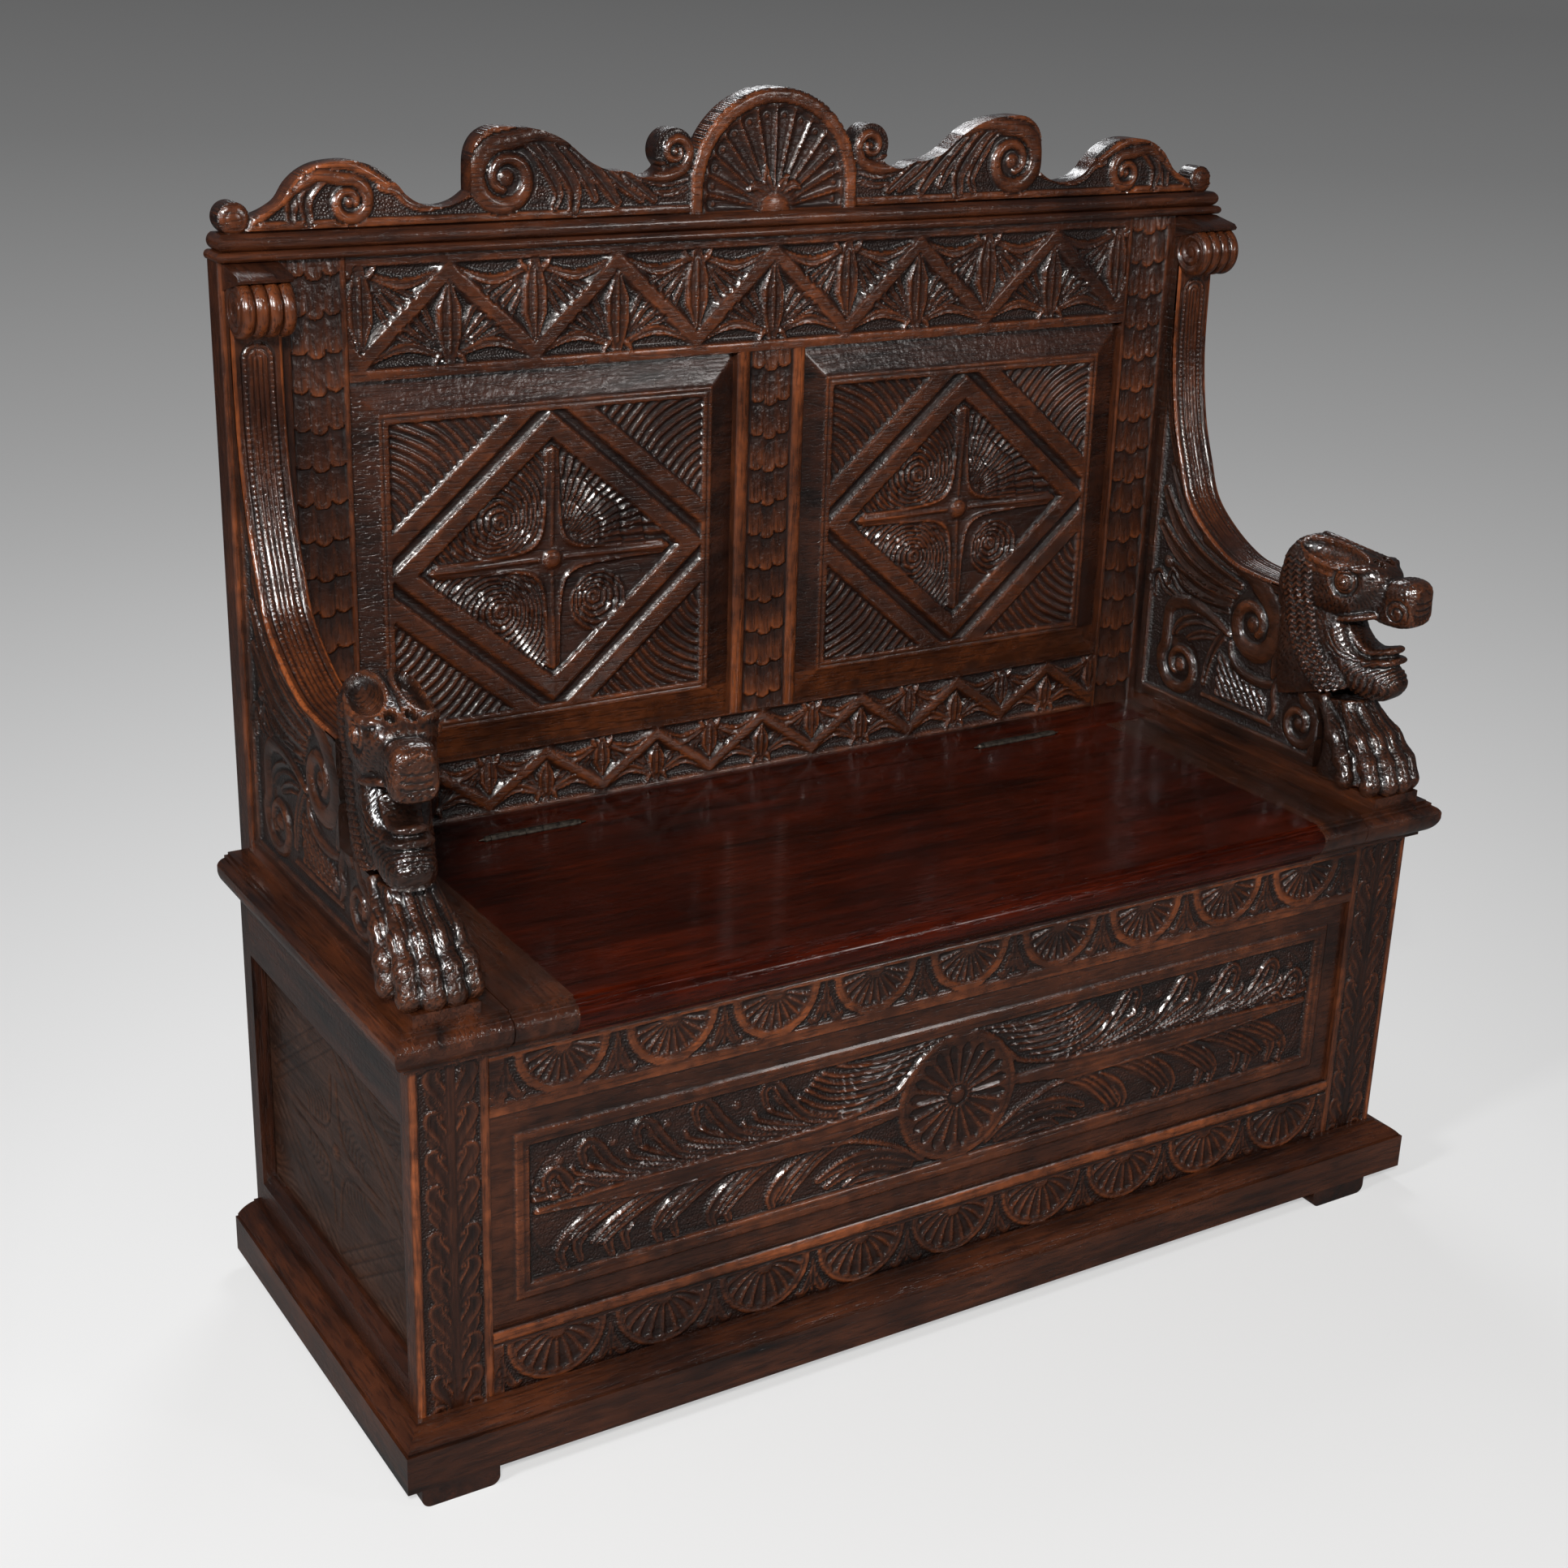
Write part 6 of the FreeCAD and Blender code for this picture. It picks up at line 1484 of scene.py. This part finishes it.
    def roll(self) -> tuple[Grid, list, Grid]:
        """Roll of round rings, with a spiral cut in each end.

        Returns:
            Vertices, faces and masks of the right arm's roll.
        """
        left, right = self.inner - self.overhang, self.outer + self.overhang
        turn = np.linspace(0, 2 * math.pi, self.around, endpoint=False)
        share = np.linspace(0, 1, 81)
        ring = dome(zigzag(share * self.rings))
        ring[[0, -1]] = 0
        radius = self.roll_radius - self.ring_depth + self.ring_depth * ring
        disc = np.linspace(0.6, radius[0], 26)
        spiral = -2.4 * zigzag(disc[:, None] / 9.0 - turn[None] / (2 * math.pi)) ** 1.5 * (
            ease(3, 7, disc) * ease(radius[0], radius[0] - 2, disc))[:, None]
        middle = np.repeat((left + share * (right - left))[:, None], self.around, 1)
        x = np.vstack([left - spiral, middle, (right + spiral)[::-1]])
        r = np.concatenate([disc, radius, disc[::-1]])[:, None]
        y, z = (c + r * way for c, way in zip(self.roll_centre, (np.cos(turn), np.sin(turn))))
        points = np.stack([x, y, z], -1)
        worn = np.concatenate([np.full(26, 0.15), 0.05 + 0.35 * ring, np.full(26, 0.15)])
        worn = worn[:, None] * np.ones_like(x)
        return points.reshape(-1, 3), turned(tube_faces(*x.shape)), self.masks(worn, 0.5)

    def cap(self) -> tuple[Grid, list, None]:
        """Sloping block over the roll: its section is carried along x.

        Returns:
            Vertices and faces of the right arm's cap, and no masks.
        """
        section = np.array([(396.4, 1023.5), (396.4, 1000), (362, 1009), (353.5, 1011.5), (352, 1014),
                            (356, 1017.5), (388, 1023.5)])
        points = [np.column_stack([np.full(len(section), x), section]) for x in
                  (self.inner - self.overhang, self.outer + self.overhang)]
        return np.vstack(points), tube_faces(2, len(section)), None

    def build(self, finishes: "Finishes") -> None:
        """Make both arms."""
        relief, outline = self.relief(), self.outline()
        for side, word in ((1, "right"), (-1, "left")):
            pieces = []
            for label, face, sign in (("inner", self.inner, -1), ("outer", self.outer, 1)):
                pieces.append(sawn_board("carved_arm_%s_%s" % (label, word), relief, outline,
                                         facing_side(side * face, side * sign), (self.outer - self.inner) / 2,
                                         finishes.lion))
            for label, (points, faces, masks), finish, sharp in (
                    ("edge", self.strip(), finishes.worn_edge, 60.0),
                    ("roll", self.roll(), finishes.worn_edge, 60.0),
                    ("cap", self.cap(), finishes.across, 38.0)):
                pieces.append(new_object("carved_arm_%s_%s" % (label, word), points * (side, 1, 1),
                                         turned(faces, side < 0), finish, masks, sharp))
            for piece in pieces:
                stands_for(piece, "arm_panel_" + word)


@dataclass
class BoxSide:
    """Side panel of the box: a shallow lozenge with a star on a tooled ground."""

    centre: Point = (222.0, 223.0)
    half: Point = (167.0, 110.0)

    def relief(self) -> Relief:
        """Band round a lozenge, a four-pointed star, and corner triangles."""
        low, high = room("side_panel_right")
        r = Relief(low[1], high[1], low[2], high[2], 2.0)
        (cu, cv), (a, b) = self.centre, self.half
        u, v = r.u - cu, r.v - cv
        across = lozenge(u, v, a, b)
        box = (cu - a - 14, cu + a + 14, cv - b - 12, cv + b + 12)
        r.frame_steps(box, [(0, 0), (1.2, -1.6), (2.4, 0), (40, 0)])
        for gap in (0.0, 13.0, 27.0):
            r.h -= np.where(r.within(*box) > 9, 1.7 * bell(across - gap, 1.0), 0)
        u, v = np.abs(u), np.abs(v)
        edge = (np.maximum(u - 4, 0) * np.maximum(v - 4, 0) - 260) / (np.hypot(u, v) + 6)
        r.h -= np.where(u / 132 + v / 86 < 1, 1.8 * bell(edge, 1.1), 0)
        for k in range(7):
            s = 0.1 + 0.13 * k
            corner = [(a + 8 - 92 * (1 - s), b + 7 - 62 * s), (a + 2 - 34 * (1 - s), b + 7 - 46 * s),
                      (a + 9, b + 6 - 50 * s * s)]
            star = [(16 + 9 * k, 10 + 2.5 * (6 - k)), (22 + 8 * k, 22 + 3.4 * (6 - k)),
                    (36 + 7 * k, 30 + 3.4 * (6 - k))]
            for su in (-1, 1):
                for sv in (-1, 1):
                    for points, half, depth in ((corner, 1.9, 1.5), (star, 1.8, 1.4)):
                        r.groove([(cu + su * p, cv + sv * q) for p, q in points], half, depth)
        r.dot(cu, cv, 9, 2.2)
        return r

    def build(self, finishes: "Finishes") -> None:
        """Make both side panels."""
        relief = self.relief()
        low, high = room("side_panel_right")
        for side, word in ((1, "right"), (-1, "left")):
            stands_for(board("carved_side_panel_" + word, relief, facing_side(side * high[0], side),
                             high[0] - low[0], finishes.side, side < 0), "side_panel_" + word)


@dataclass
class Web:
    """One shader tree, with the kinds of node that the finishes use. An input
    is given either a socket that feeds it or its value."""

    tree: bpy.types.NodeTree

    def join(self, socket: bpy.types.NodeSocket, value) -> None:
        """Feed one input from a socket, or set its value."""
        if isinstance(value, bpy.types.NodeSocket):
            self.tree.links.new(value, socket)
        else:
            socket.default_value = value

    def feed(self, node: bpy.types.Node, **inputs) -> bpy.types.Node:
        """Give a node its inputs by name, with _ for each space."""
        for name, value in inputs.items():
            self.join(node.inputs[name.replace("_", " ")], value)
        return node

    def add(self, kind: str, **inputs) -> bpy.types.Node:
        """New node with its inputs by name."""
        return self.feed(self.tree.nodes.new(kind), **inputs)

    def noise(self, vector: bpy.types.NodeSocket, scale: float, detail: float,
              distortion: float = 0.0) -> bpy.types.NodeSocket:
        """Cloudy noise between 0 and 1."""
        return self.add("ShaderNodeTexNoise", Vector=vector, Scale=scale, Detail=detail,
                        Distortion=distortion).outputs[0]

    def spread(self, value, low: float, high: float, start: float = 0.0,
               end: float = 1.0) -> bpy.types.NodeSocket:
        """Value from start to end spread between two limits."""
        return self.add("ShaderNodeMapRange", Value=value, From_Min=start, From_Max=end, To_Min=low,
                        To_Max=high).outputs["Result"]

    def sums(self, kind: str, first, *others) -> bpy.types.NodeSocket:
        """The same sum done with one value after another."""
        for other in others:
            node = self.add("ShaderNodeMath")
            node.operation = kind
            self.join(node.inputs[0], first)
            self.join(node.inputs[1], other)
            first = node.outputs[0]
        return first

    def mixed(self, share, a, b) -> bpy.types.NodeSocket:
        """Mix of two colours by a share."""
        node = self.add("ShaderNodeMix")
        node.data_type = "RGBA"
        for place, value in (("Factor", share), (6, a), (7, b)):
            self.join(node.inputs[place], value)
        return node.outputs[2]

    def ramp(self, value, stops: Sequence[tuple]) -> bpy.types.NodeSocket:
        """Colour ramp over a value, with stops of (place, colour)."""
        node = self.add("ShaderNodeValToRGB", Fac=value)
        for k, (place, colour) in enumerate(stops):
            stop = node.color_ramp.elements[k] if k < 2 else node.color_ramp.elements.new(place)
            stop.position, stop.color = place, (*colour, 1)
        return node.outputs["Color"]


def fresh_material(name: str) -> tuple[bpy.types.Material, Web, bpy.types.Node]:
    """New material with its shader tree and its main shader."""
    material = bpy.data.materials.new(name)
    material.use_nodes = True
    return material, Web(material.node_tree), material.node_tree.nodes["Principled BSDF"]


@dataclass(frozen=True)
class OakFinish:
    """Waxed old oak: dark in the hollows, red-brown on worn and on painted-lit parts."""

    name: str
    grain: Grain
    dark: Triple = (0.0030, 0.0013, 0.0010)
    body: Triple = (0.0185, 0.0056, 0.0030)
    worn: Triple = (0.185, 0.047, 0.012)
    roughness: float = 0.25
    wear: float = 1.0
    flat_wear: float = 0.16
    tooling: float = 0.9
    specular: float = 0.5
    coat: float = 0.3
    coat_roughness: float = 0.12
    bump: float = 0.0009
    bump_strength: float = 0.8
    offset: float = 0.0

    def build(self, groups: "ShaderGroups") -> bpy.types.Material:
        """Make the material from the shared groups.

        Args:
            groups: the shared shader groups.

        Returns:
            The finished material.
        """
        material, web, shader = fresh_material(self.name)
        where = web.add("ShaderNodeTexCoord").outputs["Object"]
        carve = web.add("ShaderNodeAttribute")
        carve.attribute_name = "carving"
        masks = web.add("ShaderNodeSeparateColor", Color=carve.outputs["Color"]).outputs
        turn = web.add("ShaderNodeMapping", Vector=where, Scale=self.grain.value,
                       Location=(self.offset, self.offset * 0.7, self.offset * 1.3))
        grain = groups.place(web, "oak_grain", Vector=turn.outputs["Vector"])
        age = groups.place(web, "waxed_age", Vector=where, Worn=masks[0], Hollow=masks[1], Ground=masks[2],
                           Streak=grain["Streak"], Pores=grain["Pores"], Dark=(*self.dark, 1),
                           Body=(*self.body, 1), Worn_Colour=(*self.worn, 1), Wear=self.wear,
                           Flat_Wear=self.flat_wear, Gloss=self.roughness, Tooling=self.tooling)
        bump = web.add("ShaderNodeBump", Height=age["Height"], Strength=self.bump_strength,
                       Distance=self.bump)
        web.feed(shader, Base_Color=age["Colour"], Roughness=age["Roughness"], Normal=bump.outputs["Normal"],
                 Coat_Weight=self.coat, Coat_Roughness=self.coat_roughness, Specular_IOR_Level=self.specular)
        return material


@dataclass(frozen=True)
class IronFinish:
    """Dark worn iron of the hinges."""

    name: str = "hinge_iron"

    def build(self) -> bpy.types.Material:
        """Make the material.

        Returns:
            The finished material.
        """
        material, web, shader = fresh_material(self.name)
        cloud = web.noise(web.add("ShaderNodeTexCoord").outputs["Object"], 260, 5)
        bump = web.add("ShaderNodeBump", Height=cloud, Distance=0.0002)
        web.feed(shader, Base_Color=web.ramp(cloud,
                                             [(0.3, (0.02, 0.016, 0.014)), (0.7, (0.09, 0.075, 0.06))]),
                 Roughness=web.spread(cloud, 0.35, 0.6), Metallic=0.85, Normal=bump.outputs["Normal"])
        return material


@dataclass
class ShaderGroups:
    """Effects that several finishes share, each built once."""

    trees: dict = field(default_factory=dict)

    def __post_init__(self) -> None:
        """Build both groups."""
        self.oak_grain()
        self.waxed_age()

    def place(self, web: Web, name: str, **inputs) -> bpy.types.NodeOutputs:
        """Put a group into a material's nodes with its inputs by name."""
        node = web.add("ShaderNodeGroup")
        node.node_tree = self.trees[name]
        return web.feed(node, **inputs).outputs

    def start(self, name: str, ins: Sequence[str], colours: Sequence[str], outs: Sequence[tuple]) -> tuple:
        """New group with its sockets, the first of them a vector.

        Args:
            name: name of the group.
            ins: names of the inputs that are numbers.
            colours: names of the inputs that are colours.
            outs: names and kinds of the outputs.

        Returns:
            Its tree, its inputs and its output node.
        """
        tree = self.trees[name] = bpy.data.node_groups.new(name, "ShaderNodeTree")
        ins = [("Vector", "Vector"), *((label, "Float") for label in ins),
               *((label, "Color") for label in colours)]
        for sockets, way in ((ins, "INPUT"), (outs, "OUTPUT")):
            for label, kind in sockets:
                tree.interface.new_socket(label, in_out=way, socket_type="NodeSocket" + kind)
        return Web(tree), tree.nodes.new("NodeGroupInput").outputs, tree.nodes.new("NodeGroupOutput")

    def oak_grain(self) -> None:
        """Streaks that run with the grain, and fine dark pores."""
        web, get, end = self.start("oak_grain", (), (), [("Streak", "Float"), ("Pores", "Float")])
        broad, fine, lines = (web.noise(get["Vector"], *values)
                              for values in ((26, 6, 0.6), (420, 3), (130, 3)))
        both = web.sums("ADD", web.sums("MULTIPLY", broad, 0.6), web.sums("MULTIPLY", lines, 0.4))
        web.feed(end, Streak=web.spread(both, 0, 1, 0.34, 0.66), Pores=web.spread(fine, 0, 1, 0.36, 0.5))

    def waxed_age(self) -> None:
        """Colour, gloss and small relief of old wax: dark in hollows, worn on
        edges, with a punched ground; the worn colour also carries painted light."""
        web, get, end = self.start(
            "waxed_age",
            ("Worn", "Hollow", "Ground", "Streak", "Pores", "Wear", "Flat Wear", "Gloss", "Tooling"),
            ("Dark", "Body", "Worn Colour"),
            [("Colour", "Color"), ("Roughness", "Float"), ("Height", "Float")])
        patches, rubbed, hand = (web.noise(get["Vector"], *values) for values in ((9, 5), (75, 4), (160, 2)))
        uneven = web.spread(patches, -0.5, 1.7)
        edge = web.sums("MULTIPLY", get["Worn"], get["Wear"], uneven, web.spread(rubbed, -0.35, 2.1))
        plain = web.sums("MULTIPLY", get["Streak"], get["Flat Wear"], uneven)
        worn = web.add("ShaderNodeClamp", Value=web.sums("ADD", edge, plain)).outputs[0]
        tone = web.mixed(worn, web.mixed(get["Streak"], get["Dark"], get["Body"]), get["Worn Colour"])
        pore = web.sums("MULTIPLY", web.sums("SUBTRACT", 1.0, get["Pores"]), 0.5)
        for share in (web.sums("MULTIPLY", get["Hollow"], 0.85), pore):
            tone = web.mixed(share, tone, get["Dark"])
        rough = web.sums("ADD", get["Gloss"], web.spread(patches, -0.08, 0.1),
                         web.sums("MULTIPLY", get["Hollow"], 0.14), web.sums("MULTIPLY", get["Ground"], 0.08))
        dots = web.add("ShaderNodeTexVoronoi", Vector=get["Vector"], Scale=420).outputs["Distance"]
        height = web.sums("ADD", web.sums("MULTIPLY", dots, get["Ground"], 1.6),
                          web.sums("MULTIPLY", hand, get["Tooling"]), web.sums("MULTIPLY", get["Pores"], 0.3))
        web.feed(end, Colour=tone, Roughness=rough, Height=height)


@dataclass(frozen=True)
class Studio:
    """Pale sweep of paper with a painted pool of light, soft lights and the camera."""

    azimuth: float = -31.84
    elevation: float = 20.87
    roll: float = 1.84
    lens: float = 52.84
    eye: Triple = (-1.2121, -1.7999, 1.3306)
    floor_half: float = 60.0
    # Painted light on the floor: how far its fade reaches, the share seen as painted glow, and its tones by
    # distance.
    painted_light_reach: float = 3.0
    painted_glow_share: float = 0.62
    room_light: float = 0.07
    painted_light_tones: tuple[Point, ...] = ((0.0, 0.76), (1.0, 0.187), (0.219, 0.76), (0.315, 0.69), (0.453, 0.58),
                                (0.618, 0.43), (0.803, 0.255), (0.925, 0.187))

    def build(self) -> None:
        """Set up floor, lights, world and camera."""
        self.floor()
        self.world()
        for name, place, target, size, power, colour in (
                ("softbox_high_left", (-1.7, -2.5, 2.35), (0.0, 0.0, 0.6), 0.42, 132, (1.0, 0.98, 0.95)),
                ("softbox_left", (-2.6, -0.7, 1.75), (0.1, 0.0, 0.6), 0.42, 52, (0.97, 0.98, 1.0)),
                ("softbox_front_right", (1.6, -2.9, 1.5), (0.1, 0.0, 0.5), 0.5, 14, (1.0, 0.98, 0.96)),
                ("softbox_over_back", (0.7, 1.5, 2.5), (0.0, 0.0, 0.8), 0.8, 26, (0.96, 0.98, 1.0))):
            data = bpy.data.lights.new(name, "AREA")
            data.size, data.energy, data.color = size, power, colour
            lamp = linked(name, data)
            lamp.location = place
            lamp.rotation_euler = (Vector(target) - Vector(place)).to_track_quat("-Z", "Y").to_euler()
        self.camera()

    def floor(self) -> None:
        """Floor to the horizon, with a painted pool of light: its colour fades from
        pale to grey with the distance r from the settle, read at r / (r + 3). The
        camera's view of it is shared between a painted glow in that colour and the
        light that falls on it, so that the shadow stays soft and close."""
        mesh = bpy.data.meshes.new("paper_floor")
        half = self.floor_half
        corners = [(-half, -half, 0), (half, -half, 0), (half, half, 0), (-half, half, 0)]
        mesh.from_pydata(corners, [], [(0, 1, 2, 3)])
        paper = linked("paper_floor", mesh)
        material, web, shader = fresh_material("pale_paper")
        away = web.add("ShaderNodeVectorMath")
        away.operation = "LENGTH"
        web.join(away.inputs[0], web.add("ShaderNodeTexCoord").outputs["Object"])
        away = away.outputs["Value"]
        # Painted light: pale near the settle and greyer far away, standing in for the falloff of the lamps.
        tone = web.ramp(web.sums("DIVIDE", away, web.sums("ADD", away, self.painted_light_reach)),
                        [(place, (grey, grey, grey)) for place, grey in self.painted_light_tones])
        seen = web.add("ShaderNodeLightPath").outputs
        other = web.mixed(seen["Is Glossy Ray"], (0.8, 0.8, 0.8, 1), (0.13, 0.13, 0.13, 1))
        web.feed(shader, Base_Color=web.mixed(seen["Is Camera Ray"], other, tone), Roughness=0.9,
                 Specular_IOR_Level=0.1)
        # Painted glow: for camera rays the floor partly emits its painted tone.
        share = web.add("ShaderNodeMixShader", Fac=web.sums("MULTIPLY", seen["Is Camera Ray"], self.painted_glow_share))
        web.join(share.inputs[1], shader.outputs["BSDF"])
        web.join(share.inputs[2], web.add("ShaderNodeEmission", Color=tone).outputs["Emission"])
        web.feed(material.node_tree.nodes["Material Output"], Surface=share.outputs["Shader"])
        mesh.materials.append(material)

    def world(self) -> None:
        """Even grey room light, seen as grey as the far floor."""
        world = bpy.data.worlds.new("room")
        world.use_nodes = True
        web = Web(world.node_tree)
        seen = web.add("ShaderNodeLightPath").outputs["Is Camera Ray"]
        web.feed(world.node_tree.nodes["Background"], Strength=self.room_light,
                 Color=web.mixed(seen, (0.9, 0.93, 1.0, 1), (1.8, 1.8, 1.8, 1)))
        bpy.context.scene.world = world

    def camera(self) -> None:
        """Camera at the picture's angle, rolled a little."""
        data = bpy.data.cameras.new("camera")
        data.lens, data.sensor_width = self.lens, 36
        a, e, r = (math.radians(v) for v in (self.azimuth, self.elevation, self.roll))
        back = Vector((math.sin(a) * math.cos(e), -math.cos(a) * math.cos(e), math.sin(e)))
        right = Vector((math.cos(a), math.sin(a), 0))
        up = back.cross(right)
        side = math.cos(r) * right + math.sin(r) * up
        top = -math.sin(r) * right + math.cos(r) * up
        camera = linked("camera", data)
        camera.matrix_world = Matrix.Translation(self.eye) @ Matrix((side, top, back)).transposed().to_4x4()
        bpy.context.scene.camera = camera
        bpy.context.scene.view_settings.view_transform = "Standard"


@dataclass
class Finishes:
    """Every material of the settle."""

    groups: ShaderGroups = field(default_factory=ShaderGroups)

    def __post_init__(self) -> None:
        """Build the materials."""
        self.iron = IronFinish().build()
        for finish, grain, values in (
                ("along", Grain.ALONG, {}), ("across", Grain.ACROSS, {"offset": 1.7}),
                ("upright", Grain.UPRIGHT, {"offset": 3.1}),
                ("moulding", Grain.ALONG, {"flat_wear": 0.42, "offset": 5.3}),
                ("moulding_side", Grain.ACROSS, {"flat_wear": 0.42, "offset": 6.1}),
                ("seat", Grain.ALONG, {
                    "dark": (0.0016, 0.0002, 0.0001), "body": (0.023, 0.0020, 0.0006),
                    "worn": (0.17, 0.019, 0.003),
                    "roughness": 0.16, "flat_wear": 0.34, "tooling": 0.05, "specular": 0.22, "coat": 0.1,
                    "offset": 7.7}),
                ("lion", Grain.ACROSS, {
                    "dark": (0.0028, 0.0016, 0.0012), "body": (0.013, 0.0062, 0.0045),
                    "worn": (0.16, 0.045, 0.014),
                    "wear": 0.7, "flat_wear": 0.06, "roughness": 0.20, "tooling": 1.1, "coat": 0.5,
                    "offset": 8.7}),
                ("worn_edge", Grain.UPRIGHT, {"flat_wear": 0.3, "roughness": 0.2, "offset": 9.3}),
                ("side", Grain.ACROSS, {
                    "dark": (0.007, 0.0030, 0.0018), "body": (0.034, 0.0140, 0.0080),
                    "worn": (0.13, 0.050, 0.022),
                    "roughness": 0.34, "specular": 0.3, "coat": 0.1, "offset": 11.9})):
            setattr(self, finish, OakFinish("oak_" + finish, grain, **values).build(self.groups))

    def dress(self) -> None:
        """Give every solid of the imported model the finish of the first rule
        that its name meets."""
        rules = (("lid_board seat_rear", self.seat),
                 ("lid_cleat seat_end arm_base plinth_left plinth_right", self.moulding_side),
                 ("plinth_front crest_cornice", self.moulding), ("side_ arm_ foot lion", self.across))
        for name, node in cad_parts.items():
            upright = "stile" in name or "muntin" in name
            plain = self.iron if "hinge" in name else self.upright if upright else self.along
            fits = [finish for starts, finish in rules if name.startswith(tuple(starts.split()))]
            choice = plain if "hinge" in name or not fits else fits[0]
            for slot in node.material_slots:
                slot.link, slot.material = "OBJECT", choice


def main() -> None:
    """Build the whole settle."""
    logging.basicConfig(level=logging.INFO)
    finishes = Finishes()
    finishes.dress()
    for part in (BoxFront(), BackBoards(), Crest(), Arm(), BoxSide(), Lion()):
        part.build(finishes)
    Studio().build()


if __name__ == "__main__":
    main()
